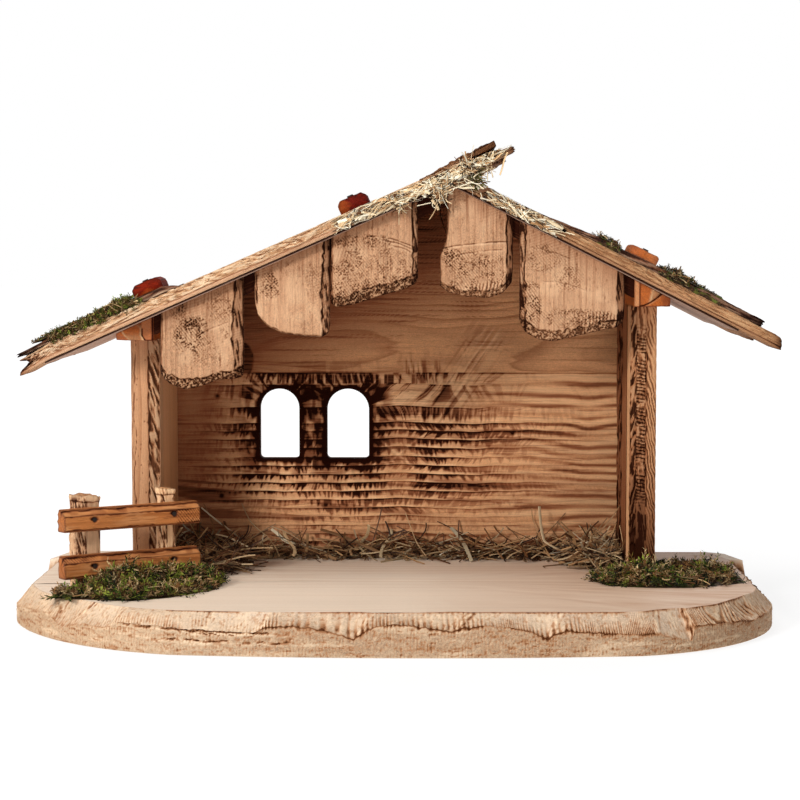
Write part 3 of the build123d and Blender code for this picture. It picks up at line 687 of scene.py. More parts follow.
M_WALL = wood("wall_spruce", (224, 169, 122), (166, 107, 68), ring=2.3, contrast=0.74, warp=3.4, streak=0.30, fibre=0.20,
              tone=0.22, burn_col=(38, 12, 4), mid_col=(130, 61, 25), rough=0.56, bump=0.00028, ring_bump=0.6, spec=0.22,
              raw_amt=0.4, pale_col=(242, 194, 146))
M_POST = wood("post_spruce", (204, 154, 114), (168, 112, 72), ring=2.3, contrast=0.6, warp=1.6, streak=0.24, fibre=0.22,
              tone=0.16, burn_col=(46, 19, 8), mid_col=(122, 66, 32), rough=0.64, bump=0.00028, edge_amt=0.35,
              edge_col=(84, 42, 18), raw_amt=0.45, pale_col=(226, 186, 146))
# a paler copy of the post wood: painted light that brightens posts standing in shade
M_POST_LIGHTENED = wood("post_spruce_lightened", (232, 178, 130), (198, 138, 90), ring=2.3, contrast=0.6, warp=1.6, streak=0.24, fibre=0.22,
               tone=0.16, burn_col=(46, 19, 8), mid_col=(136, 74, 36), rough=0.64, bump=0.00028, edge_amt=0.35,
               edge_col=(84, 42, 18), raw_amt=0.45, pale_col=(250, 208, 162))
M_STAIN = wood("stained_spruce", (204, 130, 70), (158, 88, 40), ring=2.0, contrast=0.7, warp=1.4, streak=0.28, fibre=0.2,
               tone=0.18, burn_col=(44, 16, 7), mid_col=(124, 62, 28), rough=0.55, bump=0.00024, edge_amt=0.7,
               edge_col=(74, 32, 14), raw_amt=0.4, pale_col=(214, 156, 104))
M_SHEATH = wood("sheathing", (204, 174, 154), (164, 130, 108), ring=1.6, contrast=0.7, warp=1.0, streak=0.34, fibre=0.24,
                tone=0.2, burn_col=(40, 16, 9), rough=0.8, bump=0.00015, edge_amt=0.5, edge_col=(64, 34, 26), spec=0.1)
M_BOARD = wood("roof_board", (228, 186, 144), (196, 146, 104), ring=1.8, contrast=0.6, warp=1.8, streak=0.34, fibre=0.3,
               tone=0.2, burn_col=(64, 32, 18), mid_col=(156, 100, 64), rough=0.8, bump=0.0005, edge_amt=0.10,
               edge_col=(120, 80, 48), blot=(196, 146, 104), blot_amt=0.4, raw_tint=(0.92, 0.86, 0.80), raw_amt=0.5,
               end_tint=(0.84, 0.79, 0.84), pale_col=(246, 216, 180))
M_BARK = wood("weathered_board", (206, 156, 112), (166, 116, 76), ring=1.8, contrast=0.6, warp=1.8, streak=0.36, fibre=0.3,
              tone=0.22, burn_col=(52, 26, 14), mid_col=(128, 80, 46), rough=0.82, bump=0.0005, edge_amt=0.15,
              edge_col=(96, 58, 34), blot=(146, 98, 62), blot_amt=0.6, raw_tint=(0.9, 0.84, 0.78), raw_amt=0.55,
              end_tint=(0.84, 0.8, 0.84), pale_col=(222, 178, 132))
M_DARK = wood("dark_stained_wood", (132, 80, 52), (82, 42, 24), ring=1.8, contrast=0.7, warp=1.5, streak=0.36, fibre=0.26,
              tone=0.28, burn_col=(34, 17, 12), rough=0.7, bump=0.0005, edge_amt=0.4, edge_col=(56, 28, 16), raw_amt=0.55,
              pale_col=(230, 194, 160))
M_RED = wood("red_stained_wood", (136, 34, 6), (94, 21, 4), ring=1.9, contrast=0.5, warp=1.4, streak=0.22, fibre=0.16,
             tone=0.26, burn_col=(40, 12, 8), mid_col=(84, 24, 12), rough=0.6, bump=0.00022, edge_amt=0.6, edge_col=(52, 18, 10), spec=0.07,
             pale_col=(214, 112, 44))
M_CHERRY = wood("cherry_stained_wood", (122, 28, 10), (80, 17, 7), ring=1.9, contrast=0.5, warp=1.4, streak=0.22, fibre=0.16,
                tone=0.26, burn_col=(34, 9, 6), mid_col=(62, 16, 9), rough=0.6, bump=0.00022, edge_amt=0.6, edge_col=(40, 12, 8), spec=0.07,
                pale_col=(220, 118, 46))
M_ORANGE = wood("orange_stained_wood", (208, 116, 46), (168, 82, 27), ring=1.9, contrast=0.5, warp=1.4, streak=0.22,
                fibre=0.16, tone=0.2, burn_col=(52, 18, 8), mid_col=(134, 62, 22), rough=0.5, bump=0.0002, edge_amt=0.45, edge_col=(84, 36, 16),
                spec=0.3, pale_col=(238, 200, 150))
M_MOSS = plant("moss", [(0.0, (14, 20, 5)), (0.18, (38, 52, 11)), (0.34, (86, 106, 25)), (0.48, (160, 170, 64)), (0.57, (120, 94, 38)),
                        (0.68, (74, 42, 18)), (0.82, (138, 96, 52)), (1.0, (216, 188, 136))], dark=(12, 7, 3))
M_STRAW = plant("straw", [(0.0, (44, 24, 12)), (0.2, (122, 76, 41)), (0.42, (206, 162, 112)), (0.62, (232, 204, 160)), (0.8, (246, 228, 192)),
                          (1.0, (252, 243, 218))], dark=(36, 18, 9), rough=0.55, spec=0.3)

def steel_material(name, low, high, rust_col, metal, rough):
    m = Mat(name)
    co = m.t.nodes.new("ShaderNodeTexCoord").outputs["Object"]
    n1 = m.noise(m.scale(co, (900.0, 900.0, 900.0)), 3.0, 0.6)
    n2 = m.noise(m.scale(co, (180.0, 180.0, 180.0)), 2.0, 0.5)
    rust = m.ramp(n2, [(0.5, 0.0), (0.7, 1.0)])
    col = m.mix(m.math("MULTIPLY", rust, 0.55), m.ramp(n1, [(0.3, lin(low)), (0.7, lin(high))]), lin(rust_col))
    m.put(m.bsdf.inputs["Base Color"], col)
    m.bsdf.inputs["Metallic"].default_value = metal
    m.put(m.bsdf.inputs["Roughness"], m.math("MULTIPLY_ADD", n1, 0.3, rough))
    m.bump(n1, 0.00005)
    return m.mat


M_STEEL = steel_material("steel", (96, 94, 92), (150, 148, 146), (104, 62, 38), 0.9, 0.28)
M_IRON = steel_material("iron", (22, 12, 8), (40, 24, 16), (52, 24, 12), 0.1, 0.65)

# ============================================================================
# base board
# ============================================================================
def arc3(p0, p1, p2, n):
    (ax, ay), (bx, by), (cx, cy) = p0, p1, p2
    d = 2 * (ax * (by - cy) + bx * (cy - ay) + cx * (ay - by))
    ux = ((ax * ax + ay * ay) * (by - cy) + (bx * bx + by * by) * (cy - ay) + (cx * cx + cy * cy) * (ay - by)) / d
    uy = ((ax * ax + ay * ay) * (cx - bx) + (bx * bx + by * by) * (ax - cx) + (cx * cx + cy * cy) * (bx - ax)) / d
    r = math.hypot(ax - ux, ay - uy)
    a = [math.atan2(y - uy, x - ux) for x, y in (p0, p1, p2)]
    for i in (1, 2):
        while a[i] < a[i - 1] - math.pi:
            a[i] += 2 * math.pi
        while a[i] > a[i - 1] + math.pi:
            a[i] -= 2 * math.pi
    t = np.linspace(a[0], a[2], n)
    return np.stack([ux + r * np.cos(t), uy + r * np.sin(t)], 1)


def resample(pts, step):
    seg = np.linalg.norm(np.diff(pts, axis=0), axis=1)
    s = np.concatenate([[0], np.cumsum(seg)])
    n = int(round(s[-1] / step))
    t = np.linspace(0, s[-1], n + 1)
    return np.stack([np.interp(t, s, pts[:, 0]), np.interp(t, s, pts[:, 1])], 1), t


def build_base():
    front = np.concatenate([np.array([(-184.0, 66.0)]), arc3((-184, -18), (-160, -60.5), (-100, -98.5), 300),
                            arc3((-100, -98.5), (0, -105), (112, -98.5), 500)[1:],
                            arc3((112, -98.5), (160.5, -66), (181, -22), 300)[1:], np.array([(181.0, 66.0)])])
    P, s = resample(front, 0.42)
    back, _ = resample(np.array([(181.0, 66.0), (173.0, 95.5), (-177.0, 95.5), (-184.0, 66.0)]), 4.0)
    nf = len(P)
    P = np.concatenate([P, back[1:-1]])
    K = len(P)
    s = np.concatenate([s, np.full(K - nf, -1.0)])
    # direction of the inset
    tan = np.roll(P, -1, 0) - np.roll(P, 1, 0)
    nor = np.stack([tan[:, 1], -tan[:, 0]], 1)
    nor /= np.linalg.norm(nor, axis=1)[:, None]
    m = -nor.copy()
    side = P[:, 1] > -18
    m[side] = np.stack([np.where(P[side, 0] < 0, 1.0, -1.0), np.zeros(side.sum())], 1)
    isback = np.arange(K) >= nf
    m[isback, 0] = np.interp(P[isback, 0], [-184, 181], [1, -1])
    m[isback, 1] = 0
    for _ in range(6):
        m[:nf] = (np.roll(m, 1, 0)[:nf] + m[:nf] * 2 + np.roll(m, -1, 0)[:nf]) / 4
    on = (~isback).astype(float)
    S = np.where(isback, np.interp(P[:, 0], [-184, 181], [0.0, 614.0]), s)
    # lower edge of the carved bevel, and how far its upper edge is drawn in
    lower = [(0, 10.5), (40, 11.5), (88, 9.5), (115, 11.5), (130, 12.2), (142, 6.5), (146, 7.5), (158, 10.5), (171, 9.8),
             (174, 11.0), (178, 13.2), (196, 13.0), (220, 11.6), (228, 11.3), (244, 11.0), (247.5, 13.0), (260, 14.2),
             (272, 13.0), (282.5, 10.6), (288, 8.3), (291, 10.8), (297, 14.2), (306, 15.2), (320, 13.9), (331.5, 11.8),
             (336, 13.6), (348, 14.6), (358, 13.6), (366.5, 11.8), (374, 8.0), (377, 10.2), (382, 11.8), (391, 11.3),
             (415, 9.8), (424, 9.6), (441, 5.8), (442.6, 5.5), (443.8, 11.5), (459, 11.4), (475, 10.4), (489, 9.2),
             (505, 10.0), (523, 10.6), (560, 11.5), (614, 11.0)]
    inset = [(0, 7.5), (88, 7.5), (105, 6.5), (130, 6.5), (141, 9.5), (155, 9.0), (172, 7.0), (190, 7.5), (221, 8.0),
             (246, 8.8), (250, 7.6), (272, 9.6), (291, 10.8), (296, 9.4), (315, 10.2), (334, 11.6), (340, 10.6), (362, 10.0),
             (380, 9.4), (391, 8.0), (420, 7.4), (428, 9.6), (442, 9.4), (444, 7.2), (466, 6.6), (480, 8.6), (496, 8.4),
             (510, 7.2), (526, 8.0), (570, 8.2), (614, 8.0)]
    zl = np.interp(S, *zip(*lower))
    du = np.interp(S, *zip(*inset))
    zl = zl + 0.35 * vn(S * 0.35, 3.1, 0, 5) + 0.28 * vn(S * 1.1, 0.7, 0, 6)
    du = du + 0.35 * vn(S * 0.16, 0, 0, 8)
    zl = np.where(isback, 18.4, zl)
    zl = np.where(isback, 18.4, zl)
    # facets: from, to, scoop depth, teeth, slant of the far ridge
    facets = [(-1, 88, 0.5, 0.55, 0), (88, 133, 0.5, 0.34, 0), (133, 147, 0.9, 0.5, 10), (147, 175, 1.1, 0.32, 4),
              (175, 221, 0.4, 0.5, 3), (221, 247, 0.9, 0.3, 3), (247, 289, 1.2, 0.8, 8), (289, 333, 1.2, 0.9, 8),
              (333, 375, 1.1, 0.6, 7), (375, 424, 0.9, 0.8, 4), (424, 443, 0.4, 0.1, 0), (443, 476, 0.7, 1.0, -3),
              (476, 500, 1.1, 0.5, -5), (500, 526, 0.9, 0.5, -4), (526, 615, 0.6, 0.6, 0)]

    rows, info = [], []          # each row: xy, z ; info: zone, b

    def add(xy, z, zone, b):
        rows.append(np.concatenate([xy, np.broadcast_to(z, (K,))[:, None]], 1))
        info.append((zone, b))

    cen = np.array([0.0, -4.0])
    for k in (0.2, 0.45, 0.7, 0.88):
        add(cen + (P - cen) * k, 0.0, 0, 0)
    add(P + m * 1.1, 0.0, 0, 0)
    NS, NB = 21, 27
    for i in range(NS + 1):
        a = i / NS
        add(P + m * (0.35 * math.exp(-a * 18)), 0.35 + (zl - 0.35) * a, 1, a)
    for i in range(1, NB + 1):
        b = i / NB
        add(P + m * (du * b)[:, None], zl + (BASE_T - zl) * b, 2, b)
    for extra in (0.8, 2.5, 6.0):
        add(P + m * (du + extra * on)[:, None], BASE_T, 3, 0)
    last = P + m * (du + 6.0 * on)[:, None]
    for k in (0.9, 0.75, 0.6, 0.45, 0.3, 0.15):
        add(cen + (last - cen) * k, BASE_T, 3, 0)
    R = np.stack(rows)                           # rows x K x 3
    nrow = len(rows)
    zone = np.array([i[0] for i in info])
    bb = np.array([i[1] for i in info])
    scorch_and_shade, raw, pale, endg = np.zeros((nrow, K)), np.zeros((nrow, K)), np.zeros((nrow, K)), np.zeros((nrow, K))
    per = 1.42 + 0.2 * vn(S * 0.02, 0, 0, 50)
    scal = 0.5 + 0.5 * np.cos(S / per * 2 * math.pi + 1.6 * vn(S * 0.12, 0.0, 0, 51))
    torn = sstep(S, 243, 250) * (1 - sstep(S, 428, 440)) + 0.8 * sstep(S, 443, 446) * (1 - sstep(S, 496, 510))
    torn = torn + 0.35 * sstep(S, 88, 100) * (1 - sstep(S, 168, 176))
    torn = torn * (0.35 + 0.65 * sstep(vn(S * 0.10, 6.0, 0, 27), -0.45, 0.1)) * on
    for r in range(nrow):
        if zone[r] == 1:
            a = bb[r]
            z = R[r, :, 2]
            fuzz = 0.16 * fbm(S * 0.9, z * 1.6, 0.0, 11, 3) + 0.12 * vn(S * 2.4, z * 2.4, 0.0, 12)
            # long split layers left of the middle
            lay = sstep(S, 172, 182) * (1 - sstep(S, 246, 268))
            z1 = np.interp(S, [172, 200, 226, 268], [12.6, 11.8, 10.9, 10.2]) + 0.5 * vn(S * 0.12, 1, 0, 21) + 0.4 * vn(S * 0.55, 2, 0, 22)
            z2 = np.interp(S, [172, 200, 226, 268], [9.8, 7.6, 6.8, 6.6]) + 0.6 * vn(S * 0.1, 5, 0, 23) + 0.45 * vn(S * 0.45, 4, 0, 24)
            z3 = z1 - 1.5 + 0.5 * vn(S * 0.25, 8, 0, 28)
            g1 = bump1(z, z1, 0.34) * sstep(vn(S * 0.35, 9, 0, 25), -0.6, 0.0)
            g2 = bump1(z, z2, 0.30) * sstep(vn(S * 0.3, 7, 0, 26), -0.3, 0.15) * sstep(S, 196, 206)
            g3 = bump1(z, z3, 0.24) * sstep(vn(S * 0.3, 3, 0, 20), 0.0, 0.3) * sstep(S, 206, 216)
            step = 0.5 * sstep(z, z2 - 0.3, z2 + 0.3) * (0.6 + 0.4 * vn(S * 0.5, z * 0.6, 0, 29)) + 0.5 * sstep(z, z1 - 0.25, z1 + 0.25)
            cut = lay * (step + 1.0 * g1 + 0.8 * g2 + 0.5 * g3)
            scorch_and_shade[r] += lay * (0.95 * g1 + 0.9 * g2 + 0.8 * g3)
            pale[r] += lay * 0.5 * (bump1(z, z1 - 0.75, 0.4) + bump1(z, z2 - 0.7, 0.4))
            # torn line under the bevel, in the rhythm of the saw teeth
            wd = 0.35 + 0.75 * scal * sstep(vn(S * 0.3, 2.2, 0, 31), -0.6, 0.4)
            near = np.exp(-(np.maximum(zl - z, 0) / wd) ** 2)
            scorch_and_shade[r] += near * torn * 0.95
            # flecks and sawn streaks along the edge
            fl = sstep(vn(S * 0.22, z * 1.3, 0.0, 41) + 0.6 * vn(S * 0.9, z * 2.6, 0.0, 42), 0.28, 0.8)
            grit = sstep(vn(S * 1.15, z * 1.3, 0.0, 44) + 0.5 * vn(S * 2.2, z * 2.4, 0.0, 45), 0.25, 0.75)
            dots = sstep(np.cos(S / 1.5 * 2 * math.pi + 1.8 * vn(S * 0.15, z * 0.4, 0, 69)), 0.1, 0.9) * sstep(vn(S * 0.3, z * 1.0, 0, 70), -0.4, 0.3)
            scorch_and_shade[r] += (0.36 * fl + 0.26 * grit + 0.26 * dots) * on
            fuzz = fuzz - 0.14 * dots
            fuzz = fuzz - 0.18 * grit
            raw[r] = 1.0 * on + 0.8 * isback
            # painted light: the left part of the front edge is paler
            pale[r] += 0.24 * (1 - sstep(S, 205, 262)) * on
            pale[r] += (0.4 * sstep(vn(S * 0.06, z * 0.5, 0, 43), 0.1, 0.6) + 0.18 * sstep(vn(S * 0.8, z * 1.1, 0, 46), 0.1, 0.6)) * on
            d = fuzz * on - cut - near * torn * 0.5 - 0.12 * fl
            right = sstep(S, 538, 552) * on
            d = d + right * (0.9 * fbm(S * 0.16, z * 0.18, 0, 33, 3) - 0.3) * sstep(a, 0.2, 0.8)
            scorch_and_shade[r] += right * (0.15 + 0.5 * sstep(fbm(S * 0.25, z * 0.5, 0, 34, 3), -0.1, 0.35) * sstep(a, 0.3, 0.9))
            scorch_and_shade[r] *= on
            pale[r] *= on
            d = np.where(isback, 0.06 * vn(P[:, 0] * 1.5, z * 1.5, 0, 13), d)
            R[r, :, :2] -= m * d[:, None]
        elif zone[r] == 2:
            b = bb[r]
            scoop, teeth, edge0 = np.zeros(K), np.zeros(K), np.full(K, 99.0)
            for (s0, s1, dep, tth, slant) in facets:
                # the far ridge leans, so shift the place by height
                sh0 = next((f[4] for f in facets if abs(f[1] - s0) < 0.1), 0)
                a0, a1 = s0 + sh0 * b, s1 + slant * b
                inn = (S >= a0) & (S < a1)
                tau = (S - a0) / (a1 - a0)
                prof = 1 - np.abs(2 * tau - 1) ** 2.4
                scoop = np.where(inn, dep * prof, scoop)
                teeth = np.where(inn, tth, teeth)
                edge0 = np.where(inn, np.minimum(S - a0, a1 - S), edge0)
            ph = S / per * 2 * math.pi + 1.6 * vn(S * 0.12, 0.0, 0, 51) + 0.7 * vn(S * 0.5, b * 3.0, 0, 57) \
                + b * np.where(S > 443, 6.0, 0.5) * np.where(S > 476, -1.0, 1.0)
            wave = 0.5 + 0.5 * np.cos(ph)
            keep = sstep(vn(S * 0.16, b * 2.4, 0.0, 52), -0.8, -0.1)
            low = np.where(S > 443, 0.9, 0.42 + 0.58 * (1 - sstep(b + 0.25 * vn(S * 0.4, 0, 0, 58), 0.15, 0.8)))
            tw = teeth * keep * low * sstep(wave, 0.35, 0.95)
            d = scoop * math.sin(math.pi * min(1.0, b * 1.02)) ** 0.6 + 0.55 * tw
            grit = sstep(vn(S * 1.1, b * 9.0, 0.0, 47) + 0.5 * vn(S * 2.1, b * 16.0, 0.0, 48), 0.2, 0.7)
            d = d + 0.08 * fbm(S * 1.2, b * 9, 0, 53, 3) + 0.07 * vn(S * 2.2, b * 14, 0, 59) + 0.16 * grit
            scorch_and_shade[r] += 0.26 * grit * on
            pale[r] += 0.3 * sstep(vn(S * 0.7, b * 7.0, 0, 49), 0.1, 0.6) * on
            scorch_and_shade[r] += 0.72 * tw * (1 - 0.45 * sstep(b, 0.2, 0.8))
            # pale crests between two scoops
            pale[r] += 0.45 * np.exp(-(edge0 / 0.9) ** 2) + 0.30 * sstep(vn(S * 0.11, b * 1.5, 0, 65), 0.1, 0.6)
            scorch_and_shade[r] += 0.35 * np.exp(-((edge0 - 1.6) / 0.5) ** 2) * sstep(vn(S * 0.8, b * 5, 0, 66), -0.1, 0.4)
            raw[r] = (0.50 + 0.25 * teeth + 0.2 * (1 - b)) * on
            # painted light: the left part of the bevel is paler
            pale[r] += 0.2 * (1 - sstep(S, 205, 262)) * on
            # torn line
            wd = 0.055 + 0.10 * scal * sstep(vn(S * 0.3, 2.2, 0, 31), -0.6, 0.4)
            scorch_and_shade[r] += np.exp(-(b / wd) ** 2) * torn
            # split with an upright far side
            tau = (S - 424) / 18.6
            d = d + np.where((tau > 0) & (tau < 1), 1.1 * tau ** 2.0 * (1 - 0.3 * b), 0)
            scorch_and_shade[r] += 0.95 * bump1(S, 442.7 + 0.6 * vn(b * 5, 0.5, 0, 67), 0.35) + 0.4 * bump1(S, 444.6 + 3 * b, 0.8) * sstep(vn(S * 2, b * 6, 0, 54), -0.1, 0.3)
            # bites at the right front corner
            for c, w, t, q in ((481.5, 0.55, 0.55, 0.8), (485.5, 0.7, 0.62, 1.0), (489.5, 0.65, 0.55, 0.9), (493.5, 0.55, 0.5, 0.8)):
                line = bump1(S + 9 * (b - 0.5), c, w) * bump1(b, t, 0.3)
                d = d + q * line
                scorch_and_shade[r] += 0.9 * line
            # stroke at the left front corner, and an orange tear near the middle
            stroke = bump1(S + 7 * (1 - b), 156.0, 0.6)
            d = d + 0.6 * stroke * sstep(b, 0.25, 0.6)
            scorch_and_shade[r] += 0.9 * stroke * sstep(b, 0.55, 0.9)
            scorch_and_shade[r] += 0.42 * bump1(S - 4 * b, 134.5, 1.6) * sstep(vn(S * 1.6, b * 7, 0, 55), -0.3, 0.4)
            scorch_and_shade[r] += 0.5 * bump1(S - 7 * b, 335.5, 1.2) * sstep(vn(S * 1.1, b * 6, 0, 68), -0.4, 0.3)
            scorch_and_shade[r] += 0.62 * np.exp(-((1 - b) / 0.05) ** 2) * sstep(vn(S * 0.07, 3.3, 0, 56), -0.45, 0.1) * (S > 200) * (S < 520)
            # rolled edge left of the middle
            roll = sstep(S, 168, 186) * (1 - sstep(S, 205, 228))
            d = d - roll * 1.9 * math.sin(math.pi * b)
            # bark and torn wood along the right side
            right = sstep(S, 524, 540) * on
            d = d + right * (1.7 * (fbm(S * 0.11, b * 1.7, 0, 60, 3) + 0.15) + 0.7 * np.abs(vn(S * 0.5, b * 4, 0, 61)))
            scorch_and_shade[r] += right * (0.25 + 0.75 * sstep(fbm(S * 0.2, b * 2.5, 0, 62, 3), -0.15, 0.3))
            left = (1 - sstep(S, 76, 92)) * on
            d = d + left * 0.5 * fbm(S * 0.16, b * 2, 0, 63, 3)
            scorch_and_shade[r] += left * 0.35 * sstep(fbm(S * 0.2, b * 3, 0, 64, 3), 0.05, 0.4)
            d = d * on
            scorch_and_shade[r] *= on
            wt = 1.0 if b < 1 else 0.25
            R[r, :, :2] += m * (0.62 * d * wt)[:, None]
            R[r, :, 2] -= 0.72 * d * wt
        elif zone[r] == 3:
            raw[r] = 0.12
            xx, yy = R[r, :, 0], R[r, :, 1]
            # painted shade: the top grows darker towards the right
            scorch_and_shade[r] = 0.40 * sstep(xx, -40.0, 140.0) * (0.75 + 0.25 * vn(xx * 0.03, yy * 0.4, 0, 91))
    verts = R.reshape(-1, 3)
    quads = ring_quads(nrow, K)
    n = len(verts)
    verts = np.concatenate([verts, [[cen[0], cen[1], 0.0], [cen[0], cen[1], BASE_T]]])
    j = np.arange(K)
    t0 = np.stack([(j + 1) % K, j, np.full(K, n)], 1)
    t1 = np.stack([(nrow - 1) * K + j, (nrow - 1) * K + (j + 1) % K, np.full(K, n + 1)], 1)
    tris = np.concatenate([t0, t1])
    scorch_and_shade, raw, pale = (np.concatenate([v.reshape(-1), [0, 0]]) for v in (scorch_and_shade, raw, pale))
    # the ends of the board, left and right, show end grain
    ex = np.abs(nor[:, 0]) ** 1.5
    for r in range(nrow):
        if zone[r] in (1, 2):
            endg[r] = ex * (1.0 if zone[r] == 1 else 0.7)
    endg = np.concatenate([endg.reshape(-1), [0, 0]])
    gco = verts.copy()
    gco[:, 1] -= 14.0
    gco[:, 2] -= 58.0
    quads, tris = outward(verts, quads, tris)
    attrs = dict(gco=gco, endg=endg, edge=np.zeros(len(verts)), scorch_and_shade=np.clip(scorch_and_shade, 0, 1.2), raw=np.clip(raw, 0, 1.2), pale=np.clip(pale, 0, 1))
    ob = new_object("Base_board", verts, quads, tris, M_BASE, attrs, angle=32)
    return piece(ob, "base_spruce", "base_board")


build_base()

# ============================================================================
# posts, walls, plates, rafters
# ============================================================================
def left_post_fn(u, v, w, face):
    strip, bev, side = (face == 3).astype(float), (face == 1).astype(float), (face == 0).astype(float)
    front = (face == 2).astype(float)
    h, dark = slivers(u, v, 71, -0.30, 4.2, 0.85, -0.22)
    h1, dark1 = slivers(u, w, 72, 0.15, 6.0, 0.8, -0.5)
    d = strip * (1.5 * h - 1.3) + bev * (0.4 * h1 - 0.4)
    b = strip * (0.12 + 0.62 * dark) + bev * (0.02 + 0.3 * dark1)
    c = -5.6 + 0.75 * vn(u * 0.09, 0, 0, 73) + 0.35 * vn(u * 0.4, 0, 0, 74)
    wid = 0.24 + 0.16 * vn(u * 0.23, 3, 0, 76)
    line = front * np.exp(-((v - c) / wid) ** 2) * sstep(vn(u * 0.16, 5, 0, 78), -0.75, -0.2)
    lip = front * np.exp(-((v - 1.2 - 0.35 * vn(u * 0.25, 7, 0, 79)) / 0.35) ** 2)
    tick = front * specks(u, v, 3.6, 80, 0.55, 0.10, 0.5)
    d = d - 0.5 * line - 0.25 * tick + 0.06 * vn(u * 0.15, v * 0.5, w * 0.5, 75) + side * 0.15 * fbm(u * 0.08, w * 0.7, 0, 77)
    b = b + 0.55 * line + 0.85 * lip * sstep(vn(u * 0.3, 2, 0, 70), -0.5, 0.2) + 0.7 * tick
    return d, b, 0.35 * front + 0.6 * side + 0.5 * strip, 0.6 * strip * sstep(h, 0.62, 0.95)


POST_L = [(-7.7, 6.75), (-7.7, -5.4), (-6.6, -6.75), (1.4, -6.75), (6.75, -4.6), (6.75, 6.75)]
wood_bar("Left_front_post", "left_front_post", M_POST, "post_spruce",
         lambda u, v, w: (-123.75 + v, 15.45 + w, u), (300, 21, 34), POST_L, 19.0, 136.8,
         step=0.36, ustep=0.48, rnd=0.5, fn=left_post_fn, seed=3)


def right_post_fn(u, v, w, face):
    strip, front, hat, side = ((face == k).astype(float) for k in (1, 2, 3, 4))
    h, dark = slivers(u, v, 81, 0.22, 3.6, 0.75, -0.1)
    d = strip * (1.3 * h - 1.2)
    b = strip * (0.22 + 0.6 * dark)
    # short chips one above the other
    bead = front * sstep(u, 52, 62) * (1 - sstep(u, 138, 146))
    h2, dark2 = slivers(u, v, 82, -0.12, 1.7, 0.75, -0.12)
    d = d + bead * (0.8 * h2 - 0.8) - front * 0.15 * np.abs(vn(u * 0.2, v * 1.2, 0, 84))
    lad = bead * kerfs(u, v, 87, -1.38, 1.7, 1.8, 0.5) * sstep(vn(u * 0.25, v * 0.5, 0, 93), -0.6, 0.0)
    d = d - 0.5 * lad
    b = b + bead * (0.15 + 0.3 * dark2) + 0.62 * lad + front * (1 - bead) * (0.1 + 0.5 * slivers(u, v, 83, -0.1, 6.0, 0.7, -0.3)[1])
    # slanting saw lines
    kf = hat * kerfs(u, v, 86, -0.24, 1.5, 2.8, 0.5) * (0.3 + 0.7 * sstep(vn(u * 0.1, v * 0.3, 0, 88), -0.4, 0.2))
    d = d - 0.4 * kf
    b = b + 0.62 * kf + 0.10 * (front + hat + strip)
    rim = (hat + front) * np.exp(-((v - 1.7 - 0.3 * vn(u * 0.3, 0, 0, 89)) / 0.35) ** 2)
    b = b + 0.8 * rim * sstep(vn(u * 0.25, 3, 0, 90), -0.5, 0.1)
    # scorched towards the foot
    low = 1 - sstep(u + 6 * vn(v * 0.4, u * 0.05, 0, 91), 22, 74)
    b = b + (0.75 * low + 0.16 * (1 - sstep(u, 60, 130))) * (front + 0.8 * strip + 0.6 * hat)
    sw = side * kerfs(u, w, 92, -0.5, 2.6, 1.2, 0.45)
    d = d - 0.35 * sw
    b = b + 0.4 * sw
    return d, b, 0.5 * (front + hat) + 0.6 * side + 0.4 * strip, (0.5 * strip * sstep(h, 0.7, 0.95) + 0.5 * bead * sstep(h2, 0.7, 0.95)) * (1 - low)


POST_R = [(-6.75, 6.75), (-6.75, -5.6), (-3.2, -6.75), (1.5, -6.75), (6.75, -5.0), (6.75, 6.75)]
wood_bar("Right_front_post", "right_front_post", M_POST_LIGHTENED, "post_spruce",
         lambda u, v, w: (121.25 + v, 15.45 + w, u), (700, -26, 30), POST_R, 19.0, 153.3,
         step=0.36, ustep=0.48, rnd=0.5, fn=right_post_fn, seed=4)


def wall_fn(seed, chip_back=None, stain=0.0):
    def fn(u, v, w, face):
        d = 0.10 * fbm(u * 0.02, v * 0.25, w * 0.25, seed, 3) - 0.10 * sstep(vn(u * 0.03, v * 1.1, w * 1.1, seed + 3), 0.35, 0.8)
        b = 0.10 * sstep(fbm(u * 0.02, v * 0.3, w * 0.3, seed + 5, 3), 0.0, 0.5)
        b = b + 0.5 * (1 - sstep(u, 20, 46)) + stain
        pale = np.zeros_like(u)
        if chip_back is not None:
            k = chip_back(u, v, w)
            h, dark = slivers(u, v, seed + 8, -0.25, 6.0, 5.0, 0.0)
            d = d + k * (1.0 * h - 1.0)
            b = b + k * (0.12 + 0.85 * dark) + 0.9 * (w > 3.5) * (1 - sstep(v, 22.8, 24.5))
            pale = k * 0.4 * sstep(h, 0.7, 0.95)
        return d, b, 0.25 + 0 * u, pale
    return fn


wood_bar("Left_side_wall", "left_side_wall", M_WALL, "wall_spruce",
         lambda u, v, w: (-121.0 - w, v, u), (1200, 40, 26), rect(22.2, 82.4, -4.0, 4.0), 19.0, 136.8,
         step=1.0, ustep=1.4, rnd=0.4, fn=wall_fn(101), seed=5)
wood_bar("Right_side_wall", "right_side_wall", M_WALL, "wall_spruce",
         lambda u, v, w: (118.5 - w, v, u), (1700, -60, 30), rect(22.2, 82.4, -4.0, 4.0), 19.0, 153.3,
         step=0.8, ustep=0.8, rnd=0.4,
         fn=wall_fn(111, lambda u, v, w: sstep(v, 47.0 + 3 * vn(u * 0.15, 0, 0, 119), 50.0 + 3 * vn(u * 0.15, 0, 0, 119)) * (w > 3.5), 0.44), seed=6)


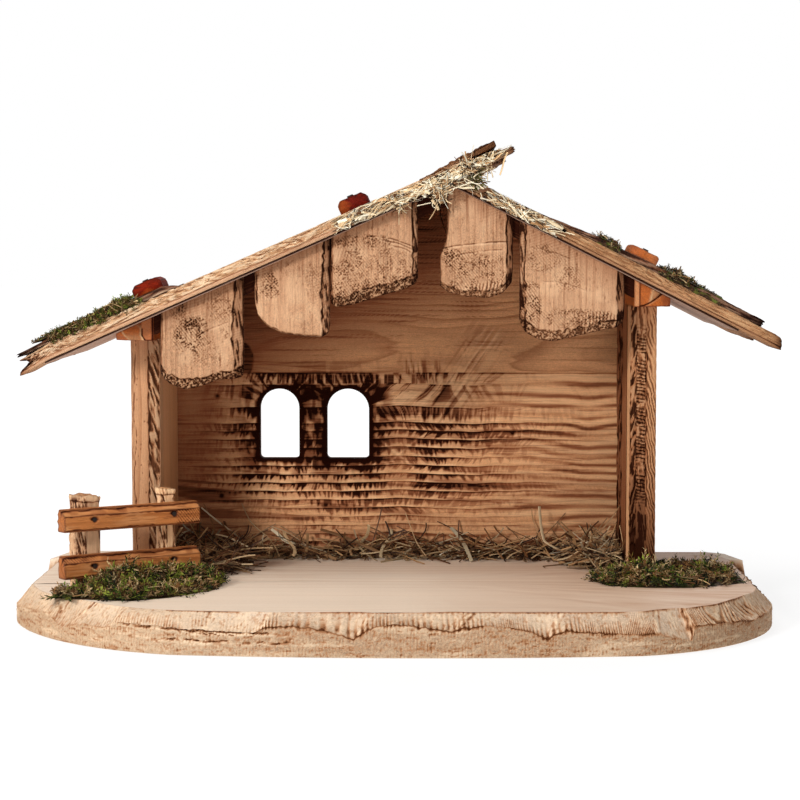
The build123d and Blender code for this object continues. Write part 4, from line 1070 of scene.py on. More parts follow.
def repaint(ob, paint):
    """Colours the front end of a piece anew: paint(x, z) gives scorch with painted shadow lines, and bleaching with
    painted highlights.
    """
    me = ob.data
    n = len(me.vertices)
    co, eg = np.zeros(n * 3, np.float32), np.zeros(n, np.float32)
    me.vertices.foreach_get("co", co)
    me.attributes["endg"].data.foreach_get("value", eg)
    co = co.reshape(-1, 3).astype(float) / MM
    here = (eg > 0.99) & (co[:, 1] < 12.0)
    for key, new in zip(("scorch_and_shade", "pale"), paint(co[:, 0], co[:, 2])):
        old = np.zeros(n, np.float32)
        me.attributes[key].data.foreach_get("value", old)
        me.attributes[key].data.foreach_set("value", np.where(here, np.clip(new, 0, 1.2), old).astype(np.float32))
    eg[here] = 0.25
    me.attributes["endg"].data.foreach_set("value", eg)


def plate(name, node, left):
    x_in, x_out, zb = (-117.0, -136.5, 136.8) if left else (114.5, 132.5, 153.3)
    under = left_under if left else right_under
    sec = [(x_in, zb), (x_out, zb), (x_out, under(x_out)), (x_in, under(x_in))]
    if left:
        sec = sec[::-1]
    a = sum(sec[i][0] * sec[(i + 1) % 4][1] - sec[(i + 1) % 4][0] * sec[i][1] for i in range(4))
    if a < 0:
        sec = sec[::-1]

    def chips(x, z):
        """Cuts of the knife on the front end: depth, scorch with painted shadow lines, and bleaching with painted
        highlights on the crests and facets.
        """
        h = z - zb
        if left:
            bx = -123.2 + 0.10 * (h - 4.0) ** 2 * (h < 4) + 0.15 * vn(h * 0.8, 1, 0, 131)
            p1 = 0.9 + 0.30 * (bx - x) + 0.16 * h
            p2 = -2.6 + 0.78 * (bx - x) - 0.12 * h
            p3 = -0.6 + 0.05 * (bx - x) + 0.42 * h
            dep = np.maximum(np.maximum(p1, p2), p3)
            out = x < bx
            top2 = np.maximum(np.minimum(p1, p2), np.minimum(np.maximum(p1, p2), p3))
            # glints on the crests and along the rim are painted highlights; the dark line just inside the rim is a
            # painted shadow
            crest = np.exp(-((dep - top2) / 0.22) ** 2) * out
            rim = np.exp(-((x - bx + 0.45) / 0.45) ** 2) * (h < 7.5)
            pale = 0.75 * crest + 0.95 * rim + 0.35 * out * (p1 >= dep) * (1 - sstep(h, 1.0, 5.0)) + 0.22 * (1 - out)
            scorch_and_shade = (1 - out) * (0.26 + 0.9 * np.exp(-(h / 0.5) ** 2) + 0.9 * sstep(x, -118.6, -117.6)) + 0.9 * np.exp(-((x - bx - 0.45) / 0.35) ** 2) * (h < 6)
            scorch_and_shade = scorch_and_shade + out * 0.35 * sstep(h, 3.0, 6.5)
        else:
            arc = 5.4 * np.clip((x - 116.6) / 11.0, 0, 1.6) ** 1.7
            above = h > arc
            strip = x < 117.2
            p1 = 0.5 + 0.20 * (x - 117.2) + 0.05 * h
            p2 = -1.4 + 0.62 * (x - 117.2) - 0.05 * h
            dep = np.where(strip, 0.0, np.where(above, np.maximum(p1, p2) + 0.9 * np.exp(-np.maximum(h - arc, 0) / 1.6), 0.5 + 0.32 * (x - 117.2)))
            out = ~strip
            # the pale crest, the paler facet and the pale lip under the arc are painted highlights; the dark line along
            # the top of the arc is a painted shadow
            crest = np.exp(-((p1 - p2) / 0.3) ** 2) * out * above
            pale = 0.5 * crest + 0.55 * out * above * (p2 > p1) + 0.35 * strip + 0.3 * np.exp(-((h - arc + 0.5) / 0.35) ** 2) * out
            scorch_and_shade = 1.0 * np.exp(-((h - arc - 0.25) / 0.4) ** 2) * out + 0.75 * np.exp(-((x - 117.3) / 0.3) ** 2) + 0.7 * np.exp(-(h / 0.4) ** 2)
            scorch_and_shade = scorch_and_shade + 0.45 * out * ~above * sstep(x, 126.0, 131.0)
        n = vn(x * 1.4, z * 0.5, 0, 139)
        return np.where(out, dep, 0.0), scorch_and_shade * (1 + 0.2 * n), pale * (0.85 + 0.25 * n) * (1 - 0.6 * np.clip(scorch_and_shade, 0, 1))

    def fn(u, v, w, face):
        d = 0.08 * fbm(u * 0.03, v * 0.6, w * 0.6, 135, 3)
        b = 0.2 * sstep(fbm(u * 0.05, v * 0.3, w * 0.3, 137, 3), 0.1, 0.5)
        return d, b + 0.25 * np.exp(-(u + 12.0) / 3.0), 0.4 + 0 * u

    ob = wood_bar(name, node, M_ORANGE, "stained_spruce", lambda u, v, w: (v, u, w),
                  (2100 + 300 * left, -x_in + 16, -zb + 14), sec, -12.0, 82.4, step=0.4, ustep=1.2, rnd=0.25, fn=fn,
                  e0=lambda v, w: np.maximum(chips(v, w)[0], 0.0), ramp=30.0, seed=7, rings=tuple(np.linspace(0.975, 0.04, 24)))
    repaint(ob, lambda x, z: chips(x, z)[1:])
    return ob


plate("Left_wall_plate", "left_wall_plate", True)
plate("Right_wall_plate", "right_wall_plate", False)


def rafter(name, node, left):
    s0, s1 = (left_s(-117.0, 0), 0.0) if left else (0.0, right_s(114.5, 0))
    h = 9.0 * (CL if left else CR)
    k = math.tan(AL if left else AR)
    sec = rect(-12.0, -4.0, -h, 0.0)

    def place(u, v, w):
        x, z = left_xz(u, w) if left else right_xz(u, w)
        return x, v, z

    cut = (lambda v, w: -w * -k) if left else (lambda v, w: w * k)
    if left:
        e0, e1 = (lambda v, w: w * k), (lambda v, w: w * k)
    else:
        e0, e1 = (lambda v, w: -w * k), (lambda v, w: -w * k)

    def fn(u, v, w, face):
        # scorched nearly black all over: painted shade for the dark gable behind the shingles
        return 0.12 * fbm(u * 0.04, v * 0.7, w * 0.7, 141, 3), 1.05 + 0.15 * sstep(fbm(u * 0.04, v * 0.3, w * 0.3, 143), 0.1, 0.5)
    return wood_bar(name, node, M_STAIN, "wall_spruce", place, (2700 + 200 * left, 18, 22), sec, s0, s1,
                    step=0.9, ustep=1.5, rnd=0.4, fn=fn, e0=e0, e1=e1, ramp=200.0 if False else 12.0, seed=8)


rafter("Left_gable_rafter", "left_gable_rafter", True)
rafter("Right_gable_rafter", "right_gable_rafter", False)

# ============================================================================
# back wall: two boards, brushed and scorched round the windows
# ============================================================================
WINDOWS = [(-73.4, -52.8), (-38.0, -15.9)]
WIN_Z0, WIN_Z1, WIN_C = 70.4, 107.2, 2.0


def window_outline(x0, x1, n=14):
    r, cx, c = (x1 - x0) / 2, (x0 + x1) / 2, WIN_C
    pts = []
    for a in np.linspace(-90, 0, 5):
        pts.append((x1 - c + c * math.cos(math.radians(a)), WIN_Z0 + c + c * math.sin(math.radians(a))))
    for a in np.linspace(0, 180, 2 * n + 1):
        pts.append((cx + r * math.cos(math.radians(a)), WIN_Z1 - r + r * math.sin(math.radians(a))))
    for a in np.linspace(180, 270, 5):
        pts.append((x0 + c + c * math.cos(math.radians(a)), WIN_Z0 + c + c * math.sin(math.radians(a))))
    return np.array(pts)


def window_distance(x, z):
    """Distance outside the nearest window, from its outline as a box with a round top."""
    best = np.full(np.broadcast(x, z).shape, 1e9)
    for x0, x1 in WINDOWS:
        r, cx = (x1 - x0) / 2, (x0 + x1) / 2
        zc = WIN_Z1 - r
        dx = np.maximum(np.abs(x - cx) - r, 0)
        dz = np.maximum(WIN_Z0 - z, 0)
        low = np.hypot(dx, dz)
        top = np.maximum(np.hypot(x - cx, z - zc) - r, 0)
        best = np.minimum(best, np.where(z > zc, top, low))
    return best


ROWS = np.array([115.6, 109.3, 97.5, 89.0, 84.6, 80.3, 75.6, 71.0, 66.5, 62.0, 57.5, 53.0, 48.5, 44.0, 39.5, 35.0, 30.5, 26.0, 21.5, 15.0])
KNOTS = [(-96.0, 103.5, 0.9), (-94.0, 50.5, 1.0), (60.0, 84.0, 0.9)]


def ledge_wave(x):
    return 0.9 * vn(x * 0.03, 0.5, 0, 201) + 0.45 * vn(x * 0.10, 1.5, 0, 202)


def wall_relief(x, z):
    """Depth cut into the inner face, the scorch and painted shade there, and how pale it is from bleaching and painted
    highlights.
    """
    dw = window_distance(x, z)
    zz = z - ledge_wave(x)
    up = (z > 115.6).astype(float)
    # rows cut with a gouge: deepest and darkest under each ledge, where scorch and painted shade lie together, running
    # out to a pale lip that is a painted highlight
    k = np.clip(np.searchsorted(-ROWS, -zz) - 1, 0, len(ROWS) - 2)
    hi, lo = ROWS[k], ROWS[k + 1]
    f = np.clip((hi - zz) / (hi - lo), 0, 1)
    run = hi - zz
    left_fall = np.exp(-(np.maximum(-73.4 - x, 0) / 17.0) ** 1.5)
    right_fall = np.exp(-(np.maximum(x + 15.9, 0) / 74.0) ** 2.2)
    cov = sstep(x, -26.0, -6.0)
    zone = np.where(x < -50, left_fall, np.where(x > -30, right_fall, 1.0)) * (1 - up)
    zone = zone * (0.3 + 0.7 * sstep(z, 36.0, 62.0)) * np.clip(0.9 + 0.7 * vn(x * 0.05, z * 0.07, 0, 203), 0.2, 1.25)
    tall = cov * sstep(z, 90.0, 104.0)
    zone = zone * (1 - 0.28 * tall)
    beside = (x > -30) * np.exp(-(np.maximum(x + 15.9, 0) / 17.0) ** 2) * sstep(z, 60.0, 68.0) * (1 - sstep(z, 92.0, 99.0)) * (1 - up)
    fan = 0.5 * (1 - cov) * vn(x * 0.04, k * 1.7, 0, 204) + cov * (1.1 + 0.5 * tall) * vn(x * 0.06, k * 1.7, 0, 246)
    sx = x + fan * run + 0.7 * vn(x * 0.2, k * 3.1, 0, 205)
    st = (1 - tall) * vn(sx / 0.85, k * 5.3, 0, 206) + 1.25 * tall * vn(sx / 1.9, k * 5.3, 0, 247) + 0.5 * vn(sx / 0.4, k * 2.3, 0, 207)
    stroke = sstep(st, -0.45 - 0.3 * cov + 0.5 * tall, 0.35 - 0.2 * cov + 0.4 * tall)
    length = np.clip(0.58 + 0.08 * cov + 0.45 * vn(sx / 1.1, k * 7.7, 0, 208) + 0.25 * vn(x * 0.06, k * 2.0, 0, 222), 0.12, 0.95)
    body = 1 - sstep(f, length - 0.22, length + 0.12)
    depth = zone * (1.15 * (1 - f) ** 1.1 * sstep(run, 0.0, 0.35) + 0.25 * stroke * body)
    scorch_and_shade = zone * body * (0.30 + 0.2 * cov + (1.05 - 0.35 * cov) * stroke) * (1 - (0.2 + 0.2 * cov) * f) + 0.85 * zone * np.exp(-(run / 0.6) ** 2) + 0.34 * beside * body
    pale = zone * sstep(f, 0.58, 0.92) * (0.6 + 0.4 * vn(x * 0.25, k * 2.2, 0, 223)) + 0.45 * zone * (1 - stroke) * sstep(f, 0.2, 0.6)
    scorch_and_shade = scorch_and_shade * (1 - 0.7 * tall * (1 - stroke)) + 0.24 * tall * zone * stroke * body
    pale = pale + 0.8 * tall * zone * (1 - stroke) * (1 - sstep(f, 0.7, 0.95))
    # scorched rims of the openings
    rim = np.exp(-(dw / (2.3 + 0.7 * vn(x * 0.25, z * 0.25, 0, 224))) ** 4) * (1 - sstep(z, 109.0, 111.0))
    for wx0, wx1 in WINDOWS:
        # rays fanning out over the round tops
        wr, wc = (wx1 - wx0) / 2, (wx0 + wx1) / 2
        wz = WIN_Z1 - wr
        ang = np.arctan2(x - wc, z - wz)
        rr = np.hypot(x - wc, z - wz) - wr
        ray = sstep(vn(ang * 9.0, rr * 0.08, 0, 239) + 0.4 * vn(ang * 20.0, rr * 0.1, 0, 240), -0.15, 0.3)
        fan2 = sstep(rr, 0.0, 1.5) * (1 - sstep(rr, 6.0, 15.0)) * (z > wz) * (1 - up) * (np.abs(ang) < 1.45)
        scorch_and_shade = scorch_and_shade * (1 - 0.6 * fan2) + 0.85 * fan2 * ray
        pale = pale * (1 - fan2) + 0.5 * fan2 * (1 - ray)
    rim2 = np.exp(-(dw / 9.5) ** 2) * (1 - sstep(z, 107.5, 110.0)) * sstep(vn(x * 0.45, z * 0.16, 0, 225), -0.6, 0.3)
    between = ((x > -54) & (x < -36) & (z < 108) & (z > 66)).astype(float)
    scorch_and_shade = scorch_and_shade + 1.1 * rim + 0.55 * rim2 + 0.5 * between * sstep(vn(x * 0.6, z * 0.15, 0, 209), -0.3, 0.4)
    pale = pale * (1 - rim) * (1 - 0.5 * rim2)
    depth = depth + 0.7 * rim
    # dashes under the seam
    sx = x + 0.25 * (115.6 - z) * vn(x * 0.05, 0, 0, 212) + 0.5 * vn(x * 0.35, 3.3, 0, 213)
    band = sstep(x, -80, -66) * (1 - sstep(x, -2, 34)) * (1 - up)
    dash = sstep(vn(sx / 1.15, 4.4, 0, 214) + 0.4 * vn(sx / 0.5, 1.4, 0, 226), -0.15, 0.35) * sstep(z, 109.6, 110.6) * (1 - sstep(z, 114.4, 115.4))
    scorch_and_shade = scorch_and_shade + 0.78 * dash * band
    depth = depth + 0.2 * dash * band
    seam = np.exp(-((z - 115.6) / 0.35) ** 2)
    scorch_and_shade = scorch_and_shade + 0.55 * seam * (0.4 + 0.6 * sstep(vn(x * 0.06, 2.2, 0, 227), -0.4, 0.3))
    smear = sstep(x, -70, -40) * (1 - sstep(x, 20, 60)) * up * (1 - sstep(z, 119.0 + 12 * sstep(x, -20, 40), 126.0 + 14 * sstep(x, -20, 40)))
    scorch_and_shade = scorch_and_shade + 0.22 * smear * sstep(vn(sx / 1.5, z * 0.07, 0, 215), -0.15, 0.5) * (0.5 + 0.5 * vn(x * 0.05, z * 0.12, 0, 216))
    # washboard and streaks on the right: painted shade in the hollows and painted highlights on the ridges
    right = sstep(x, 26, 84) * (1 - up)
    wash = 0.5 + 0.5 * np.cos((zz + 3.0 * vn(x * 0.02, z * 0.04, 0, 217) + 0.9 * vn(x * 0.07, z * 0.08, 0, 241)) / 5.3 * 2 * math.pi)
    depth = depth + 0.5 * wash ** 2 * right * (0.6 + 0.4 * vn(x * 0.02, z * 0.1, 0, 228))
    scorch_and_shade = scorch_and_shade + 0.48 * right * sstep(wash, 0.45, 1.0) * sstep(vn(x * 0.03, z * 0.22, 0, 218), -0.5, 0.3)
    pale = pale + 0.65 * right * (1 - sstep(wash, 0.15, 0.6)) * (0.7 + 0.3 * vn(x * 0.03, z * 0.2, 0, 229))
    # pale diagonal band running down to the left: a painted streak of light, with darker strokes in it
    along = (x - 50.0) * -0.571 + (z - 138.0) * -0.821
    across = (x - 50.0) * 0.821 + (z - 138.0) * -0.571
    light_band = np.exp(-(across / 11.0) ** 2) * sstep(along, -6, 8) * (1 - sstep(along, 50, 66))
    pale = pale + 0.35 * light_band * sstep(vn(across * 0.9, along * 0.05, 0, 230), -0.5, 0.4)
    scorch_and_shade = scorch_and_shade + 0.30 * light_band * sstep(vn(across * 0.75, along * 0.05, 0, 234), 0.15, 0.55)
    # pale streaks along the band and near the windows: painted highlights, each with a painted shadow line beside it
    for lx0, lz0, lx1, lz1, wd, am in ((54.0, 139.0, 21.5, 93.0, 0.7, 0.42), (46.0, 137.0, 14.0, 96.0, 0.4, 0.26), (50.0, 139.0, 30.0, 110.0, 0.4, 0.3), (-12.0, 82.0, 12.0, 62.0, 0.7, 0.6), (-8.0, 66.0, 14.0, 84.0, 0.6, 0.5)):
        ll = math.hypot(lx1 - lx0, lz1 - lz0)
        tx, tz = (lx1 - lx0) / ll, (lz1 - lz0) / ll
        al = (x - lx0) * tx + (z - lz0) * tz
        ac = -(x - lx0) * tz + (z - lz0) * tx + 0.8 * vn(x * 0.08, z * 0.08, 0, 242)
        ln = np.exp(-(ac / wd) ** 2) * sstep(al, -2, 6) * (1 - sstep(al, ll - 6, ll + 2))
        pale = pale + am * ln
        scorch_and_shade = scorch_and_shade * (1 - 0.7 * am * ln) + 0.2 * am * np.exp(-((ac - 1.7) / 0.6) ** 2) * sstep(al, 0, 8) * (1 - sstep(al, ll - 8, ll))
    th = sstep(x, 0.0, 5.0) * (1 - sstep(x, 20.0, 26.0)) * sstep(z, 114.0, 117.0) * (1 - sstep(z + 0.12 * (x - 10), 119.0, 125.0 + 3 * vn(x * 0.5, 0, 0, 243)))
    tt = vn((x + 0.18 * (z - 115)) * 0.75, z * 0.03, 0, 244) + 0.4 * vn(x * 1.7, z * 0.05, 0, 245)
    scorch_and_shade = scorch_and_shade + 0.42 * th * sstep(tt, 0.0, 0.4)
    pale = pale + 0.45 * th * (1 - sstep(tt, -0.4, 0.0))
    # streaks below the sills, dark foot
    sk = sstep(vn(x * 0.03 + z * 0.02, z * 0.55 + 0.036 * x, 0, 219), 0.1, 0.6) * (1 - sstep(z, 60, 70)) * sstep(z, 19, 30)
    scorch_and_shade = scorch_and_shade + 0.33 * sk * (1 - 0.6 * sstep(x, 30, 80))
    scorch_and_shade = scorch_and_shade + 0.34 * (1 - sstep(z, 19, 36)) * (0.6 + 0.4 * vn(x * 0.05, z * 0.1, 0, 220))
    # painted shade under the roof, and a painted shadow of the left side wall over the left end of the back wall
    top = np.where(x < RX, RZ + (x - RX) * math.tan(AL), RZ - (x - RX) * math.tan(AR)) - z
    scorch_and_shade = scorch_and_shade + (0.66 - 0.3 * sstep(x, 36.0, 58.0)) * (1 - sstep(top, 10.0, 82.0 - 44.0 * sstep(x, 36.0, 60.0))) * up
    scorch_and_shade = scorch_and_shade + 0.42 * (1 - sstep(x, -108, -70)) * (0.7 + 0.3 * vn(x * 0.1, z * 0.03, 0, 235))
    # knots
    for kx, kz, kr in KNOTS:
        d = np.hypot(x - kx, z - kz)
        scorch_and_shade = scorch_and_shade + 0.75 * np.exp(-(d / (kr * 1.1)) ** 2)
        depth = depth + 0.2 * np.exp(-((d - kr) / 0.5) ** 2)
    # half knot cut off by the seam
    d = np.hypot((x + 82.5) * 1.35, (z - 122.5) * 0.85)
    ring = np.exp(-((d - 7.6) / 0.45) ** 2) * (0.6 + 0.4 * vn(x * 0.4, z * 0.4, 0, 236))
    scorch_and_shade = scorch_and_shade + up * (0.6 * ring + 0.36 * (1 - sstep(d, 6.8, 7.8)))
    depth = depth + up * 0.2 * ring
    # grain standing a little proud, with dark pores
    fine = vn(x * 0.022, z * 1.15, 0, 237) + 0.5 * vn(x * 0.05, z * 2.4, 0, 238)
    depth = depth + 0.10 * fbm(x * 0.02, z * 0.8, 0, 221, 3) + 0.06 + 0.05 * fine
    scorch_and_shade = scorch_and_shade + 0.26 * sstep(fine, 0.35, 0.9)
    return depth, np.clip(scorch_and_shade, 0, 1.25), np.clip(pale * (1 - 0.8 * np.clip(scorch_and_shade, 0, 1)), 0, 0.9)


def slab(x0, x1, zbot, ztop, step):
    """Upright board between y 82.4 and 90.4 as a closed grid; zbot and ztop are functions of x."""
    nx = int(round((x1 - x0) / step)) + 1
    xs = np.linspace(x0, x1, nx)
    lo, hi = zbot(xs), ztop(xs)
    nz = int(round((hi - lo).max() / step)) + 1
    t = np.linspace(0, 1, nz)[:, None]
    X = np.repeat(xs[None], nz, 0)
    Z = lo[None] + (hi - lo)[None] * t
    Z = Z + ledge_wave(X) * sstep(Z - lo[None], 0.5, 9.0) * sstep(hi[None] - Z, 0.5, 5.0)
    dep, _, _ = wall_relief(X, Z)
    edge = np.minimum(np.minimum(X - x0, x1 - X), np.minimum(Z - lo[None], hi[None] - Z))
    dep = dep * sstep(edge, 0.0, 0.6) + 0.35 * np.exp(-(edge / 0.4) ** 2)
    front = np.stack([X, 82.4 + dep, Z], -1).reshape(-1, 3)
    yb = 90.4 - 0.10 * np.abs(fbm(X * 0.02, Z * 0.5, 0, 231, 3)) - 0.08 * sstep(vn(X * 0.05, Z * 0.9, 0, 233), 0.3, 0.7)
    for px in (-121.0, 118.5):
        for pz in (34.0, 64.0, 98.0, 128.0):
            yb = yb - 0.38 * np.exp(-(np.hypot(X - px, Z - pz) / 1.3) ** 4)
    yb = yb - 0.35 * np.exp(-(edge / 0.4) ** 2)
    back = np.stack([X, yb, Z], -1).reshape(-1, 3)
    n = nx * nz
    q1 = grid_quads(nz, nx, 0)
    q2 = grid_quads(nz, nx, n)[:, ::-1]
    idx = np.arange(n).reshape(nz, nx)
    loop = np.concatenate([idx[0, :-1], idx[:-1, -1], idx[-1, :0:-1], idx[:0:-1, 0]])
    nxt = np.roll(loop, -1)
    q3 = np.stack([nxt, loop, loop + n, nxt + n], 1)
    return np.concatenate([front, back]), np.concatenate([q1, q2, q3])


def wall_attrs(co, offset, lower):
    x, y, z = co[:, 0], co[:, 1], co[:, 2]
    _, scorch_and_shade, pale = wall_relief(x, z)
    fade = 1 - sstep(y, 84.6, 87.0)
    dw = window_distance(x, z)
    scorch_and_shade = scorch_and_shade * fade + np.where(dw < 0.6, 0.75, 0) * (1 - fade) * (y < 89.5)
    gco = np.stack([x, z, y - 82.4], 1) + np.asarray(offset, float)
    # the grain runs round the knots
    for kx, kz, kr in KNOTS + [(-82.5, 122.5, 6.5)]:
        dx, dz = (x - kx) / (kr * 4.5), (z - kz) / (kr * 2.0)
        gco[:, 1] += np.sign(z - kz) * 1.6 * kr * np.exp(-dx ** 2 - np.abs(dz)) * (1 - np.exp(-(dz * 3) ** 2))
    ends = ((x < -124.8) | (x > 122.3)).astype(float)
    return dict(gco=gco, endg=ends, edge=np.zeros(len(x)), scorch_and_shade=scorch_and_shade, raw=0.35 * fade + 0.3, pale=pale * fade)


def apply_boolean(ob, cutters):
    for c in cutters:
        mod = ob.modifiers.new("cut", "BOOLEAN")
        mod.operation = "DIFFERENCE"
        mod.solver = "EXACT"
        mod.object = c
    dg = bpy.context.evaluated_depsgraph_get()
    me = bpy.data.meshes.new_from_object(ob.evaluated_get(dg))
    ob.modifiers.clear()
    old = ob.data
    ob.data = me
    bpy.data.meshes.remove(old)
    for c in cutters:
        d = c.data
        bpy.data.objects.remove(c)
        bpy.data.meshes.remove(d)


def coords(me):
    co = np.zeros(len(me.vertices) * 3, np.float32)
    me.vertices.foreach_get("co", co)
    return co.reshape(-1, 3).astype(float) / MM


def build_back_wall():
    verts, quads = slab(-125.0, 122.5, lambda x: 0 * x + 19.0, lambda x: 0 * x + 115.6, 0.5)
    quads, _ = outward(verts, quads, None)
    ob = new_object("Back_wall_lower", verts, quads, None, M_WALL, angle=None, uv=None)
    cutters = []
    for k, (x0, x1) in enumerate(WINDOWS):
        o = window_outline(x0, x1)
        n = len(o)
        ys = np.array([79.0, 83.0, 85.0, 88.0, 94.0])
        grow = np.array([0.5, 0.25, 0.0, 0.0, 0.12])
        c = o.mean(0)
        R = np.concatenate([np.stack([c[0] + (o[:, 0] - c[0]) * (1 + g / 15), np.full(n, y), c[1] + (o[:, 1] - c[1]) * (1 + g / 25)], 1)
                            for y, g in zip(ys, grow)])
        q = ring_quads(len(ys), n)
        R = np.concatenate([R, [[c[0], ys[0], c[1]], [c[0], ys[-1], c[1]]]])
        j = np.arange(n)
        t = np.concatenate([np.stack([(j + 1) % n, j, np.full(n, len(R) - 2)], 1),
                            np.stack([(len(ys) - 1) * n + j, (len(ys) - 1) * n + (j + 1) % n, np.full(n, len(R) - 1)], 1)])
        q, t = outward(R, q, t)
        cutters.append(new_object("cutter%d" % k, R, q, t, M_WALL, angle=None, uv=None))
    apply_boolean(ob, cutters)
    me = ob.data
    me.polygons.foreach_set("use_smooth", np.ones(len(me.polygons), bool))
    me.set_sharp_from_angle(angle=math.radians(40))
    for key, data in wall_attrs(coords(me), (5000, -70, 30), True).items():
        put_attr(me, key, data)
    box_uv(me)
    piece(ob, "wall_spruce", "back_wall_lower")

    def top(x):
        return np.where(x < RX, RZ + (x - RX) * math.tan(AL), RZ - (x - RX) * math.tan(AR)) - 0.05
    verts, quads = slab(-125.0, 122.5, lambda x: 0 * x + 115.6, top, 0.62)
    quads, _ = outward(verts, quads, None)
    ob = new_object("Back_wall_upper", verts, quads, None, M_WALL, wall_attrs(verts, (6200, -128, 24), False), angle=40)
    piece(ob, "wall_spruce", "back_wall_upper")


build_back_wall()

# ============================================================================
# shingles under the front edge of the roof
# ============================================================================
def curve(pts, n):
    pts = np.asarray(pts, float)
    seg = np.linalg.norm(np.diff(pts, axis=0), axis=1)
    s = np.concatenate([[0], np.cumsum(seg)])
    t = np.linspace(0, s[-1], n)
    # rounded a little at the corners
    P = np.stack([np.interp(t, s, pts[:, 0]), np.interp(t, s, pts[:, 1])], 1)
    for _ in range(6):
        P[1:-1] = (P[:-2] + 2 * P[1:-1] + P[2:]) / 4
    return P


def shingle(name, node, left, bottom, right, top, seed, bevel=4.2, strip_l=1.6, strip_r=4.2, pits=(), arcs=(), flutes=(), gran=0.8,
            roof_shade=0.0, tone_l=0.0, tone_r=0.0):
    """Curves run left to right and bottom to top.  The face is a patch between them.
    pits: rasped patches (x, z, rx, rz, amount); arcs: torn ledges (x0, z0, x1, z1, sag, amount); flutes: patches of
    saw lines (x, z, rx, rz, angle, pitch, amount)."""
    w = right[0][0] - left[0][0]
    h = max(left[-1][1] - left[0][1], right[-1][1] - right[0][1])
    na, nb = int(max(40, abs(w) / 0.30)), int(max(40, h / 0.30))
    Lc, Rc, Bc, Tc = curve(left, nb), curve(right, nb), curve(bottom, na), curve(top, na)
    a = np.linspace(0, 1, na)[None, :, None]
    b = np.linspace(0, 1, nb)[:, None, None]
    X = (1 - a) * Lc[:, None] + a * Rc[:, None] + (1 - b) * Bc[None] + b * Tc[None] \
        - ((1 - a) * (1 - b) * Bc[0] + a * (1 - b) * Bc[-1] + (1 - a) * b * Tc[0] + a * b * Tc[-1])
    x, z = X[..., 0], X[..., 1]
    dl, dr = x - Lc[:, None, 0], Rc[:, None, 0] - x
    # distance above the lower edge
    db = np.minimum(z - np.interp(x, Bc[:, 0], Bc[:, 1]), z - Bc[None, :, 1])
    dt = Tc[None, :, 1] - z
    # fibres and saw marks on the face
    fib = vn(x * 1.5, z * 0.07, 0, seed + 1) + 0.5 * vn(x * 3.1, z * 0.12, 0, seed + 71)
    d = 0.10 * fbm(x * 0.25, z * 0.03, 0, seed, 3) + 0.05 * fib
    scorch_and_shade = 0.25 * sstep(fib, 0.4, 1.05)
    raw = 0.28 + 0.25 * sstep(fbm(x * 0.07, z * 0.07, 0, seed + 72, 2), -0.2, 0.35)
    pale = 0.30 * sstep(fbm(x * 0.12, z * 0.10, 0, seed + 73, 2), 0.0, 0.5)
    mk = kerfs(x, z, seed + 2, 0.32, 1.3, 1.6, 0.6) * sstep(vn(x * 0.06, z * 0.06, 0, seed + 3), -0.1, 0.4)
    d = d + 0.06 * mk
    scorch_and_shade = scorch_and_shade + 0.10 * mk
    # rasped patches: small pits strewn in slanting rows
    mask = np.zeros_like(x)
    for cx, cz, rx, rz, amt in pits:
        q = ((x - cx) / rx) ** 2 + ((z - cz) / rz) ** 2 + 0.5 * vn(x * 0.22, z * 0.22, 0, seed + 74)
        mask = np.maximum(mask, amt * (1 - sstep(q, 0.3, 1.2)))
    px, pz = x * 0.64 - z * 0.77, x * 0.77 + z * 0.64
    pz = pz + 0.5 * vn(x * 0.12, z * 0.12, 0, seed + 75)
    pit = np.maximum(specks(px, pz, 1.18, seed + 4, -0.6, 0.27, 0.85, 0.26), 0.7 * specks(px + 3.3, pz + 1.7, 0.88, seed + 14, 0.1, 0.27, 0.8, 0.3))
    soft = sstep(fbm(x * 0.35, z * 0.35, 0, seed + 5, 3), -0.3, 0.2)
    some = 0.22 * specks(x, z, 2.7, seed + 15, 0.6, 0.11, 2.0)
    raw = raw + 0.5 * np.clip(mask, 0, 1)
    pit = np.clip(1.25 * pit * mask * (0.15 + 0.85 * soft) + some, 0, 1)
    d = d + 0.62 * pit
    hatch = kerfs(x, z, seed + 19, -0.88, 1.15, 1.8, 0.5) * np.clip(mask * 1.2, 0, 1) * (1 - 0.6 * soft)
    d = d + 0.12 * hatch
    scorch_and_shade = scorch_and_shade + 1.15 * pit + 0.02 * mask + 0.3 * hatch
    pale = pale + 0.42 * np.clip(mask, 0, 1) * (1 - pit) * (1 - 0.6 * hatch)
    # torn ledges
    for x0, z0, x1, z1, sag, amt in arcs:
        t = (x - x0) / (x1 - x0)
        zc = z0 + (z1 - z0) * t + sag * 4 * t * (1 - t) + 0.3 * vn(x * 0.4, z0, 0, seed + 16)
        inn = sstep(t, -0.03, 0.06) * (1 - sstep(t, 0.92, 1.03))
        ln = np.exp(-((z - zc) / 0.28) ** 2) * sstep(vn(x * 0.5, z0 * 0.3, 0, seed + 17), -0.7, -0.1)
        scorch_and_shade = scorch_and_shade + amt * 0.62 * ln * inn
        d = d + amt * inn * (0.3 * ln + 0.25 * np.exp(-np.maximum(z - zc, 0) / 1.2) * (z > zc))
        pale = pale + amt * 0.5 * inn * np.exp(-((z - zc + 0.7) / 0.5) ** 2)
    for cx, cz, rx, rz, ang, pitch, amt in flutes:
        q = ((x - cx) / rx) ** 2 + ((z - cz) / rz) ** 2
        mm = amt * (1 - sstep(q, 0.4, 1.1))
        kf = kerfs(x, z, seed + 18, ang, pitch, 1.5, 0.35)
        d = d + mm * 0.55 * kf
        scorch_and_shade = scorch_and_shade + mm * 0.5 * kf
        pale = pale + mm * 0.35 * (1 - kf)
